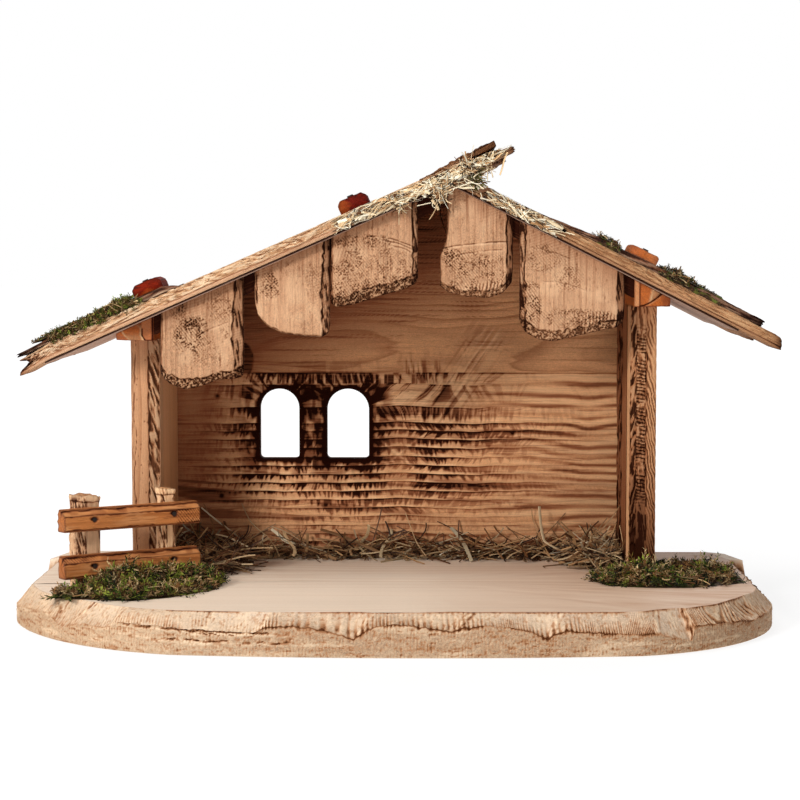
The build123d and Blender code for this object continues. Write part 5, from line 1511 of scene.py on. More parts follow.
    # chewed lower bevel: pale grains in dark gaps
    bz = bevel * (1 + 0.22 * vn(x * 0.12, 0, 0, seed + 6) + 0.16 * vn(x * 0.5, 0, 0, seed + 7))
    inb = 1 - sstep(db, bz - 0.5, bz + 0.3)
    slope = np.clip((bz - db) / np.maximum(bz, 0.3), 0, 1)
    n1 = vn(x * 1.7, z * 1.7, 0, seed + 10) + 0.5 * vn(x * 2.8, z * 2.8, 0, seed + 11)
    gap = (1 - sstep(n1, -0.3, 0.22)) * gran
    d = d + inb * (2.2 * slope ** 0.9 + 0.8 * gap)
    scorch_and_shade = scorch_and_shade * (1 - 0.7 * inb) + inb * (0.06 + 0.12 * gran + 0.66 * gap)
    pale = pale + inb * 0.95 * sstep(n1, 0.08, 0.45) * gran
    raw = raw + 0.3 * inb
    line = np.exp(-((db - bz) / 0.38) ** 2) * sstep(vn(x * 0.7, 5, 0, seed + 12), -0.6, 0.1)
    scorch_and_shade = scorch_and_shade + 0.8 * line * (0.2 + 0.8 * gran)
    d = d + 0.25 * line
    # bark like strips on the sides
    for dist, wid, sd, lean in ((dl, strip_l, 20, -0.12), (dr, strip_r, 30, 0.12)):
        wv = wid * (1 + 0.22 * vn(z * 0.1, 0, 0, seed + sd) + 0.14 * vn(z * 0.45, 0, 0, seed + sd + 1))
        ins = 1 - sstep(dist, wv - 0.35, wv + 0.25)
        hh, dark = slivers(z, dist, seed + sd + 2, lean, 4.5, 0.8, -0.25)
        amt = min(1.0, wid / 1.6)
        d = d + ins * (0.4 + 1.0 * np.clip(1 - dist / np.maximum(wv, 0.3), 0, 1) + 0.8 * (1 - hh)) * amt
        scorch_and_shade = scorch_and_shade + ins * (0.16 + 0.66 * dark) * amt + ins * (tone_l if sd == 20 else tone_r)
        pale = pale * (1 - ins) + ins * 0.45 * sstep(hh, 0.65, 0.95)
        ln = np.exp(-((dist - wv) / 0.30) ** 2) * sstep(vn(z * 0.3, 3, 0, seed + sd + 4), -0.75, -0.2)
        scorch_and_shade = scorch_and_shade + 0.9 * ln * amt
        d = d + 0.45 * ln * amt
    scorch_and_shade = scorch_and_shade + 0.8 * np.exp(-np.minimum(dl, dr) / 0.30) + 0.6 * np.exp(-np.maximum(db, 0) / 0.25)
    # painted shade under the roof edge: darker towards the top
    scorch_and_shade = scorch_and_shade + roof_shade * (1 - sstep(dt, 0.0, 9.0)) + 0.1 * (1 - sstep(dt, 2.0, 22.0))
    rim = np.minimum(np.minimum(dl, dr), np.minimum(db, dt + 0.6))
    d = d + 0.3 * np.exp(-(np.maximum(rim, 0) / 0.35) ** 2)
    d = np.minimum(d, 3.55)
    front = np.stack([x, -16.0 + d, z], -1).reshape(-1, 3)
    d2 = 0.12 * fbm(x * 0.3, z * 0.05, 0, seed + 50, 3)
    back = np.stack([x, -12.0 - np.abs(d2) * sstep(dt, 0, 2), z], -1).reshape(-1, 3)
    n = na * nb
    idx = np.arange(n).reshape(nb, na)
    loop = np.concatenate([idx[0, :-1], idx[:-1, -1], idx[-1, :0:-1], idx[:0:-1, 0]])
    fl, bl = front[loop], back[loop]
    mids = []
    for t in (0.35, 0.7):
        p = fl * (1 - t) + bl * t
        p[:, 0] += 0.12 * vn(p[:, 2] * 0.9, p[:, 1] * 2.0, 0, seed + 60)
        mids.append(p)
    verts = np.concatenate([front, back] + mids)
    k = len(loop)
    chain = [loop, 2 * n + np.arange(k), 2 * n + k + np.arange(k), n + loop]
    q3 = [np.stack([np.roll(c0, -1), c0, c1, np.roll(c1, -1)], 1) for c0, c1 in zip(chain[:-1], chain[1:])]
    quads = np.concatenate([grid_quads(nb, na, 0), grid_quads(nb, na, n)[:, ::-1]] + q3)
    cat = np.concatenate
    fb = scorch_and_shade.reshape(-1)
    bburn = cat([fb, 0.15 + 0 * fb, 0.6 + 0 * loop, 0.5 + 0 * loop])
    gco = np.stack([verts[:, 2], verts[:, 0], verts[:, 1]], 1)
    gco = gco + np.array([8000 + 400 * seed % 3000, -x.mean() + 9 * ((seed % 5) - 2), 28.0 + (seed % 7)])
    endg = cat([(inb * 0.8).reshape(-1), 0 * fb, 0 * loop, 0 * loop])
    edge = cat([np.exp(-np.maximum(rim, 0) / 1.0).reshape(-1), 0 * fb, 0.6 + 0 * loop, 0.6 + 0 * loop])
    raws = cat([raw.reshape(-1), 0.5 + 0 * fb, 0.8 + 0 * loop, 0.8 + 0 * loop])
    pales = cat([(pale * (1 - 0.8 * np.clip(scorch_and_shade, 0, 1))).reshape(-1), 0 * fb, 0 * loop, 0 * loop])
    quads, _ = outward(verts, quads, None)
    ob = new_object(name, verts, quads, None, M_SHINGLE,
                    dict(gco=gco, endg=endg, edge=edge, scorch_and_shade=np.clip(bburn, 0, 1.2), raw=np.clip(raws, 0, 1.1), pale=np.clip(pales, 0, 0.9)), angle=42)
    return piece(ob, "shingle_spruce", node)


lu, ru = left_under, right_under
shingle("Shingle_1", "shingle_1", [(-113.6, 121.0), (-113.5, 140), (-113.4, lu(-113.4))],
        [(-113.6, 121.0), (-112.0, 118.6), (-109.0, 116.0), (-101.7, 113.3), (-94.0, 115.0), (-86.0, 118.2), (-78.0, 118.6), (-74.2, 119.6), (-73.4, 123.0)],
        [(-73.4, 123.0), (-73.4, 150), (-73.4, lu(-73.4))], [(-113.4, lu(-113.4)), (-73.4, lu(-73.4))], 301,
        bevel=4.4, strip_l=0.9, strip_r=4.8, pits=[(-98, 141, 10, 11, 1.0), (-104, 149, 6, 6, 0.5), (-83, 150, 8, 11, 0.45), (-92, 130, 8, 6, 0.4)],
        arcs=[(-96, 139, -80, 146, 1.0, 0.5)], gran=1.0, roof_shade=0.25, tone_r=0.12)
shingle("Shingle_2", "shingle_2", [(-68.2, 155.0), (-68.15, 162), (-68.1, lu(-68.1))],
        [(-68.2, 155.0), (-66.5, 149.0), (-62.0, 143.8), (-55.0, 140.6), (-47.0, 139.5), (-42.0, 138.9), (-36.0, 138.6), (-32.6, 140.6), (-31.8, 145.0)],
        [(-31.8, 145.0), (-31.8, 165), (-31.8, lu(-31.8))], [(-68.1, lu(-68.1)), (-31.8, lu(-31.8))], 317,
        bevel=0.9, strip_l=1.3, strip_r=3.8, pits=[(-61, 163, 6, 7, 0.8), (-38, 166, 6, 10, 0.3), (-52, 172, 12, 6, 0.2)], gran=0.35, roof_shade=0.2, tone_r=0.1)
shingle("Shingle_3", "shingle_3", [(-31.2, 155.0), (-31.2, 172), (-31.2, lu(-31.2))],
        [(-31.2, 155.0), (-29.0, 153.2), (-20.0, 154.6), (-8.0, 158.5), (4.0, 161.8), (9.5, 164.6), (10.5, 167.5)],
        [(10.5, 167.5), (10.5, 185), (10.5, lu(10.5))], [(-31.2, lu(-31.2)), (10.5, lu(10.5))], 333,
        bevel=5.0, strip_l=0.8, strip_r=2.4, pits=[(-21, 169, 11, 13, 0.62), (-2, 173, 13, 10, 0.5), (-16, 184, 14, 4, 0.6), (-4, 164, 15, 5, 0.8), (-20, 158, 10, 4, 0.75)],
        arcs=[(-14, 187.5, 9, 182, 1.2, 1.0), (-8, 185.6, 9, 180.2, 1.0, 0.9), (-4, 183.2, 9, 178.6, 0.8, 0.8)],
        flutes=[(-24, 176, 5, 9, 1.35, 1.5, 0.25)], gran=0.9, roof_shade=0.2)
shingle("Shingle_4", "shingle_4", [(21.2, 163.5), (21.2, 178.0), (22.6, 181.6), (24.2, 186.0), (24.6, 196), (24.6, lu(24.6))],
        [(21.2, 163.5), (25.0, 160.4), (33.0, 158.3), (44.0, 157.6), (51.0, 159.8), (55.6, 165.0), (56.0, 171.0)],
        [(56.0, 171.0), (56.0, 184), (56.0, ru(56.0))], [(24.6, lu(24.6)), (RX, RZ), (56.0, ru(56.0))], 349,
        bevel=3.0, strip_l=0.7, strip_r=2.6, pits=[(38, 173, 16, 8, 0.72), (27, 177, 6, 5, 0.85), (33, 164, 9, 5, 0.7), (48, 168, 7, 6, 0.5)],
        arcs=[(22, 181.4, 55, 184.6, 0.8, 1.0), (30, 178.6, 52, 180.8, 0.5, 0.6)], flutes=[(46, 161, 11, 5, 1.42, 1.7, 0.9)], gran=0.7, roof_shade=0.15, tone_r=0.22)
shingle("Shingle_5", "shingle_5", [(59.3, 147.5), (59.3, 170), (59.3, ru(59.3))],
        [(59.3, 147.5), (60.6, 143.5), (62.5, 141.0), (69.0, 137.4), (76.0, 136.8), (86.0, 139.2), (98.0, 142.0), (106.5, 143.6), (109.4, 147.0), (109.7, 152.0)],
        [(109.7, 152.0), (109.7, 160), (109.7, ru(109.7))], [(59.3, ru(59.3)), (109.7, ru(109.7))], 365,
        bevel=4.4, strip_l=2.8, strip_r=3.2, pits=[(65, 152, 6, 13, 0.9), (72, 176, 10, 8, 0.5), (82, 166, 9, 8, 0.42), (86, 148, 22, 5, 0.6)],
        arcs=[(64, 182, 84, 176, 1.0, 0.45), (70, 166, 92, 161, 1.0, 0.4)], flutes=[(98, 147, 10, 5, 1.42, 1.7, 0.7)], gran=0.8, roof_shade=0.15, tone_r=0.22)

# ============================================================================
# roof
# ============================================================================
def place_left(u, v, w):
    x, z = left_xz(u, w)
    return x, v, z


def place_right(u, v, w):
    x, z = right_xz(u, w)
    return x, v, z


def panel(name, node, left):
    if left:
        s0 = left_s(-168.0, 0)
        x, z = meet(PANEL_T, PANEL_T)
        k = left_s(x, PANEL_T) / PANEL_T
        e0, e1 = None, (lambda v, w: w * k)
        u0, u1, pl = s0, 0.0, place_left
    else:
        s1 = right_s(166.0, 0)
        x, z = meet(PANEL_T, PANEL_T)
        k = right_s(x, PANEL_T) / PANEL_T
        e0, e1 = (lambda v, w: w * k), (lambda v, w: -3.2 + 0 * v)
        u0, u1, pl = 0.0, s1, place_right

    def fn(u, v, w, face):
        front = ((face == 3) | (face == 1)).astype(float)
        return 0.04 * fbm(u * 0.05, v * 0.6, w, 401, 2) * (1 - front), 0.95 * front + (0.0 if left else 0.1) + 0.15 * sstep(fbm(u * 0.01, v * 0.1, 0, 402, 3), 0.1, 0.5)
    return wood_bar(name, node, M_SHEATH, "sheathing", pl, (9000 + 500 * left, 12, 40), rect(ROOF_YF, ROOF_YB, 0.0, PANEL_T), u0, u1,
                    step=2.0, ustep=2.5, rnd=0.25, fn=fn, e0=e0, e1=e1, ramp=12.0, seed=9)


panel("Left_roof_panel", "left_roof_panel", True)
panel("Right_roof_panel", "right_roof_panel", False)


def rough_board(seed, n0, n1, front=False, lean=0.10, u_torn=None, torn=0.0, u_dark=None, wild=0.0, vivid=1.0):
    """Split and weathered boards: scaly top, front edge with a plain lower layer, a dark parting line and a rough
    upper layer of broken fibres."""
    def fn(u, v, w, face):
        fr = ((face == 3) if front else np.zeros_like(u)).astype(float)      # edge at the front
        top, under = (face == 2).astype(float), (face == 0).astype(float)
        side = ((face == 1) | (face == 3)).astype(float) - fr
        a = fbm(u * 0.03, v * 0.55, w * 0.7, seed, 4)
        groove = sstep(vn(u * 0.022, v * 0.42, w * 0.9, seed + 5), 0.35, 0.7)
        h, dark = slivers(u, v, seed + 7, 0.07, 8.0, 1.4, -0.38)
        d = (0.38 * a - 0.5 * groove) * (1 - under) * (1 - fr) + top * (0.6 * h - 0.45)
        b = 0.22 * groove * (1 - fr) + top * 0.5 * dark + 0.25 * side
        raw = 0.75 + 0 * u
        pale = top * 0.35 * sstep(h, 0.7, 0.95)
        # front edge
        q = w - n0
        t = n1 - n0
        lam = 0.27 * t + 0.25 * vn(u * 0.05, 1, 0, seed + 8) + 0.12 * vn(u * 0.4, 2, 0, seed + 18)
        h2, dark2 = slivers(u, w, seed + 9, lean, 7.0, 0.5, -0.42)
        h3, dark3 = slivers(u, w, seed + 19, -2.0 * lean, 3.0, 0.45, -0.42)
        mixk = sstep(vn(u * 0.035, 3.3, 0, seed + 11), -0.15, 0.25)
        h2, dark2 = h2 * (1 - mixk) + h3 * mixk, dark2 * (1 - mixk) + dark3 * mixk
        upper = sstep(q, lam + 0.15, lam + 0.5)
        line = np.exp(-((q - lam) / 0.26) ** 2) * sstep(vn(u * 0.12, 4, 0, seed + 12), -0.8, -0.3)
        d = d + fr * (upper * (0.9 * h2 - 0.65) - 0.45 * line)
        b = b + fr * (upper * (0.02 + 0.5 * vivid * dark2) + 0.7 * line)
        pale = pale + fr * upper * 0.7 * vivid * sstep(h2, 0.45, 0.9)
        raw = raw * (1 - fr * (1 - upper) * 0.7)
        grey = fr * (1 - upper) * 0.85
        if wild:
            d = d + fr * upper * wild * 0.6 * vn(u * 0.12, w * 0.8, 0, seed + 21)
        if u_torn is not None:
            k = np.exp(-np.abs(u - u_torn) / 17.0)
            kf = kerfs(u, w, seed + 22, 0.45, 1.35, 2.0, 0.3)
            d = d + k * torn * (0.9 * vn(u * 0.09, w * 1.1 + 0.25 * v, v * 0.4, seed + 13)) * (1 - under) - fr * k * upper * 0.7 * kf
            b = b + k * 0.35 * sstep(vn(u * 0.12, w * 1.3, v * 0.5, seed + 14), 0.0, 0.5) + fr * k * upper * 0.5 * kf
            pale = pale + fr * k * upper * 0.7 * (1 - kf)
            b = b + 0.9 * np.exp(-np.abs(u - u_torn) / 2.2)
        if u_dark is not None:
            b = b + 0.85 * np.exp(-np.abs(u - u_dark) / 3.0)
        b = b + 0.10 * top * sstep(fbm(u * 0.02, v * 0.1, 0, seed + 15, 3), -0.2, 0.4)
        return d, b, raw, np.clip(pale, 0, 0.9), grey
    return fn


def ragged(seed, amp, layers=0.9):
    def e(v, w):
        return amp * fbm(v * 0.35, w * layers, 0, seed, 3) + 0.45 * amp * vn(v * 1.4, w * 1.3, 0, seed + 1)
    return e


def split_end(seed):
    """Left front eave: the middle of the board is torn back, the lower and the upper layer stand out."""
    def e(v, w):
        q = (w - NL0) / (NL1 - NL0)
        return -2.6 * (1 - q) + 5.2 * np.exp(-((q - 0.62) / 0.26) ** 2) + 0.9 * fbm(v * 0.35, w * 0.9, 0, seed, 3) + 0.6 * vn(v * 1.4, w * 1.6, 0, seed + 1)
    return e


def worn_end(seed):
    """Right front eave: cut off upright and rounded."""
    def e(v, w):
        q = (w - NR0) / (NR1 - NR0)
        return 3.2 - 3.4 * q - 1.0 * (2 * q - 1) ** 4 + 0.5 * fbm(v * 0.35, w * 0.9, 0, seed, 3)
    return e


def drooping(ua, ub):
    """The tip at the eave hangs a little, the one past the ridge runs out thin."""
    def p(u, v, w):
        f = sstep(u, ub - 30.0, ub)
        q = (w - NL0) / (NL1 - NL0)
        w = NL0 + (NL1 - NL0) * (q * (1 - 0.60 * f) + 0.20 * f)
        x, y, z = place_left(u, v, w)
        return x, y, z - 1.7 * (1 - sstep(u - ua, -2.0, 16.0))
    return p


for i in range(4):
    y0, y1 = SEAMS[i] + (0.0 if i == 0 else 0.25), SEAMS[i + 1] - (0.0 if i == 3 else 0.25)
    sec = rect(y0, y1, NL0, NL1)
    ua, ub = left_s(LEFT_ENDS[i], NL0), left_s(LEFT_TIPS[i], NL0)
    wood_bar("Left_roof_board_%d" % (i + 1), "left_roof_board_%d" % (i + 1), M_BOARD, "roof_board", drooping(ua, ub) if i == 0 else place_left,
             (11000 + 700 * i, -(y0 + y1) / 2 + 6 * (i - 1.5), 16 + 5 * i), sec, ua, ub,
             step=0.42 if i == 0 else 1.0, ustep=0.6 if i == 0 else 1.2, rnd=0.7,
             fn=rough_board(420 + 40 * i, NL0, NL1, i == 0, 0.10, ua, 2.0, ub, 1.0),
             e0=split_end(430) if i == 0 else ragged(430 + i, 2.4), e1=ragged(440 + i, 1.6), ramp=22.0, rough_end=0.5, seed=450 + i)
    x0, z0 = meet(NL0, NR0)
    x1, z1 = meet(NL0, NR1)
    sa, sb = right_s(x0, NR0), right_s(x1, NR1)

    def e_up(v, w, sa=sa, sb=sb):
        return (sb - sa) * (w - NR0) / (NR1 - NR0) + 0.25
    sec = rect(y0, y1, NR0, NR1)
    uc = right_s(RIGHT_ENDS[i], NR0)
    wood_bar("Right_roof_board_%d" % (i + 1), "right_roof_board_%d" % (i + 1), M_BARK, "roof_board", place_right,
             (15000 + 700 * i, -(y0 + y1) / 2 + 7 * (i - 1.2), 14 + 6 * i), sec, sa, uc,
             step=0.42 if i == 0 else 1.0, ustep=0.6 if i == 0 else 1.2, rnd=0.8,
             fn=rough_board(620 + 40 * i, NR0, NR1, i == 0, 0.06, None, 0.0, uc, 0.5, 0.6),
             e0=e_up, e1=worn_end(640) if i == 0 else ragged(640 + i, 1.6), ramp=14.0, rough_end=0.5, seed=650 + i)


def cover_fn(seed, n0, u_tip, lip=0.0):
    def fn(u, v, w, face):
        under, top, fr = (face == 0).astype(float), (face == 2).astype(float), (face == 3).astype(float)
        a = fbm(u * 0.035, v * 0.6, w * 0.8, seed, 4)
        g = sstep(vn(u * 0.02, v * 0.5, w, seed + 5), 0.3, 0.65)
        h, dark = slivers(u, v, seed + 9, 0.05, 9.0, 1.7, -0.2)
        h2, dark2 = slivers(u, w, seed + 10, 0.08, 7.0, 0.7, -0.1)
        d = (0.34 * a - 0.5 * g) * (1 - under) + top * (0.7 * h - 0.5) + fr * (0.7 * h2 - 0.5)
        b = 0.3 * g + 0.25 * sstep(fbm(u * 0.015, v * 0.12, 0, seed + 7, 3), 0.0, 0.45) + 0.5 * top * dark + 0.6 * fr * dark2
        b = b + 0.9 * np.exp(-np.abs(u - u_tip) / 5.0)
        q = w - n0
        pale = lip * fr * (1 - sstep(q, 0.7, 1.5)) * (1 - np.exp(-np.abs(u - u_tip) / 7.0)) + 0.25 * fr * sstep(h2, 0.7, 0.95)
        return d, b * (1 - 0.7 * np.clip(pale, 0, 1)), 0.7 + 0 * u, pale
    return fn


def thinned(place, n0, u_end, span, least=0.12):
    """Runs out to almost nothing at one end."""
    def p(u, v, w):
        return place(u, v, n0 + (w - n0) * (least + (1 - least) * sstep(np.abs(u - u_end), 0.0, span)))
    return p


for i in range(3):
    (y0, y1), (y2, y3) = COVER_YL[i], COVER_YR[i]
    ua, ub = left_s(LEFT_COVER[i][0], NL1), left_s(LEFT_COVER[i][1], NL1)
    wood_bar("Left_cover_board_%d" % (i + 1), "left_cover_board_%d" % (i + 1), M_DARK, "dark_stained_wood", thinned(thinned(place_left, NL1, ua, 30.0, 0.5), NL1, ub, 9.0),
             (19000 + 500 * i, -(y0 + y1) / 2 + 4, 18 + 4 * i), rect(y0, y1, NL1, NL2), ua, ub,
             step=0.5 if i == 0 else 0.9, ustep=0.8, rnd=0.7, fn=cover_fn(760 + 20 * i, NL1, ua, 0.9), e0=ragged(820 + i, 1.8), e1=ragged(830 + i, 3.2), ramp=14.0,
             rough_end=0.4, seed=840 + i)
    ua, ub = right_s(RIGHT_COVER[i][0], NR1), right_s(RIGHT_COVER[i][1], NR1)
    wood_bar("Right_cover_board_%d" % (i + 1), "right_cover_board_%d" % (i + 1), M_DARK, "dark_stained_wood", thinned(place_right, NR1, ua, 44.0),
             (21000 + 500 * i, -(y2 + y3) / 2 - 5, 16 + 4 * i), rect(y2, y3, NR1, NR2), ua, ub,
             step=0.5 if i == 0 else 0.9, ustep=0.8, rnd=0.7, fn=cover_fn(860 + 20 * i, NR1, ub, 0.3), e0=ragged(920 + i, 2.6), e1=ragged(930 + i, 1.6), ramp=14.0,
             rough_end=0.4, seed=940 + i)


def ridge_cap():
    """One board along the ridge; it thins out towards the slope."""
    a, b = left_s(CAP_X[0], NL1), left_s(CAP_X[1], NL1)
    sec = [(a, NL1), (b, NL1), (b, NL2), ((a + b) / 2, NL2 - 1.0), (a, NL1 + 0.35)]

    def place(u, v, w):
        x, z = left_xz(v, w)
        return x, u, z

    def fn(u, v, w, face):
        top = ((face == 2) | (face == 3)).astype(float)
        h, dark = slivers(u, v, 951, 0.05, 10.0, 1.8, -0.2)
        d = top * (0.7 * h - 0.5) + 0.2 * fbm(u * 0.04, v * 0.5, w * 0.5, 952, 3)
        q = sstep(v, b - 12.0, b - 1.0)
        return d, top * (0.45 + 0.5 * dark) + 0.75 * q, 0.7 + 0 * u, 0.3 * top * sstep(h, 0.7, 0.95)
    return wood_bar("Ridge_cap_board", "ridge_cap_board", M_BARK, "dark_stained_wood", place, (22000, -(a + b) / 2 + 3, 12), sec, -20.0, 101.0,
                    step=0.6, ustep=0.9, rnd=0.6, fn=fn, e0=lambda v, w: 0.8 * fbm(v * 0.3, w * 0.9, 0, 953, 3), e1=ragged(954, 1.6), ramp=10.0, rough_end=0.4, seed=955)


ridge_cap()


def batten(name, node, left, xc, y0, y1, n0, t, mat, seed, front_pale):
    s = (left_s if left else right_s)(xc, n0)
    a, b, c = s - 7.5, s + 7.5, 2.0 if left else 0.9
    sec = [(a, n0), (b, n0), (b, n0 + t - c), (b - c, n0 + t), (a + c, n0 + t), (a, n0 + t - c)]
    xz = left_xz if left else right_xz

    def place(u, v, w):
        x, z = xz(v, w)
        return x, u, z

    def fn(u, v, w, face):
        top = (w > n0 + 0.3).astype(float)
        h, dark = slivers(u, v + 2 * w, seed, 0.1, 7.0, 2.0, -0.35)
        d = top * (0.10 * h - 0.10 + 0.06 * fbm(u * 0.1, v * 0.8, w * 0.8, seed + 3, 3))
        bb = top * 0.4 * dark + 0.25 * sstep(fbm(u * 0.05, v * 0.3, w * 0.3, seed + 4, 3), 0.0, 0.4)
        for yy in (-8.0, 5.0):
            k = np.exp(-((np.hypot(u - yy, v - s)) / 2.4) ** 4) * (w > n0 + t - 0.6)
            d = d * (1 - k)
            bb = bb + 0.35 * np.exp(-((np.hypot(u - yy, v - s) - 1.9) / 0.7) ** 2) * (w > n0 + t - 0.6)
        fp = front_pale((v - s) / 7.5, (w - n0) / t) * np.exp(-np.maximum(u - y0, 0) / 5.0)
        return d, bb * (1 - 0.7 * fp), 0.4 + 0 * u, fp

    def hack(sign, sd):
        """Ends hewn in two or three facets."""
        def e(v, w):
            q = (w - n0) / t
            p = (v - s) / 7.5
            return sign * (2.8 * np.maximum(q - 0.35, 0) + 2.2 * np.maximum(p * (1 if left else -1) - 0.1, 0) + 2.0 * np.maximum(-p - 0.4, 0)
                           + 0.3 * np.abs(vn(v * 0.35, w * 0.35, 0, sd)))
        return e
    return wood_bar(name, node, mat, "dark_stained_wood", place, (23000 + 100 * seed, -s + 10, -n0 + 14), sec, y0, y1,
                    step=0.45, ustep=0.7, rnd=0.2, fn=fn, e0=hack(1, seed + 8), e1=hack(-1, seed + 9), ramp=12.0, rough_end=0.35, seed=seed)


batten("Left_lower_batten", "left_lower_batten", True, -119.0, -15.0, 12.0, NL2, 5.8, M_RED, 961,
       lambda p, q: 0.75 * sstep(p, -0.9, -0.3) * (1 - sstep(p, 0.35, 0.6)) * (1 - sstep(q, 0.6, 0.9)))
batten("Left_upper_batten", "left_upper_batten", True, -19.5, -13.0, 24.0, NL1, 6.6, M_CHERRY, 971,
       lambda p, q: 0.8 * (1 - sstep(p, -0.75, -0.4)))
batten("Right_batten", "right_batten", False, 118.0, -14.0, 14.0, NR2, 4.4, M_ORANGE, 981,
       lambda p, q: 0.25 * sstep(p, -0.2, 0.3))

# ============================================================================
# fence
# ============================================================================
def fence_place(cx, cy):
    """v along the fence, w towards its back, u up."""
    def place(u, v, w):
        return cx + FA[0] * v - FF[0] * w, cy + FA[1] * v - FF[1] * w, u
    return place


def fence_post_fn(seed, top, half):
    def fn(u, v, w, face):
        neck = bump1(u, top - 7.5, 4.2)
        flare = sstep(u, top - 3.4, top - 0.8)
        left, cham, front, right = ((face == k).astype(float) for k in (0, 1, 2, 3))
        bark = left + cham
        h, dark = slivers(u, w - v, seed, 0.22, 4.5, 0.95, -0.32)
        d = bark * (1.3 * h - 1.1) + front * 0.12 * fbm(u * 0.08, v * 0.6, 0, seed + 3, 3) + right * 0.15 * fbm(u * 0.08, w * 0.6, 0, seed + 8, 3)
        b = bark * (0.02 + 0.8 * dark)
        pale = bark * (0.45 + 0.5 * sstep(h, 0.5, 0.9)) + 0.7 * (front + right)
        ch = sstep(v, half - 1.4 + 0.6 * vn(u * 0.2, 0, 0, seed + 4), half - 0.7 + 0.6 * vn(u * 0.2, 0, 0, seed + 4)) * front
        h2, dark2 = slivers(u, v, seed + 6, -0.15, 5.0, 0.9, -0.15)
        d = d + ch * (0.6 * h2 - 0.7)
        b = b + ch * 0.6 * dark2
        edge = front * np.exp(-((v + 0.25 * half + 0.3 * vn(u * 0.3, 1, 0, seed + 9)) / 0.35) ** 2)
        b = b + 0.75 * edge * sstep(vn(u * 0.3, 4, 0, seed + 10), -0.4, 0.2)
        d = d - neck * (0.12 * half + 0.5 * vn(u * 0.3, v * 0.3 + w * 0.3, 0, seed + 5)) + 0.3 * flare
        b = b + 0.45 * neck * sstep(vn(u * 0.35, v * 0.8 + w * 0.8, 0, seed + 7), 0.1, 0.5) + 0.6 * np.exp(-((u - top + 3.5 + 0.4 * vn(v * 0.5, w * 0.5, 0, seed + 11)) / 0.4) ** 2)
        pale = pale + 0.7 * flare
        return d, b * (1 - 0.7 * flare), 0.5 + 0 * u, pale
    return fn


for nm, node, at, top, wid, sd, mat in (("Fence_left_post", "fence_left_post", FENCE_L, 64.5, FENCE_W, 1011, M_POST), ("Fence_right_post", "fence_right_post", FENCE_R, 65.5, FENCE_WR, 1031, M_POST_LIGHTENED)):
    # anticlockwise from the back left corner, front is at -w
    g = wid / 2
    sec = [(-g, g), (-g, -0.26 * g), (-0.26 * g, -g), (g, -g), (g, g)]
    wood_bar(nm, node, mat, "stained_spruce", fence_place(*at), (25000 + sd, 15, 20), sec, 19.0, top, step=0.34, ustep=0.42, rnd=0.5,
             fn=fence_post_fn(sd, top, g), e1=lambda v, w, sd=sd: -0.6 + 0.6 * vn(v * 0.3, w * 0.3, 0, sd + 9) - 0.08 * v, ramp=4.0, rough_end=0.3, seed=sd)


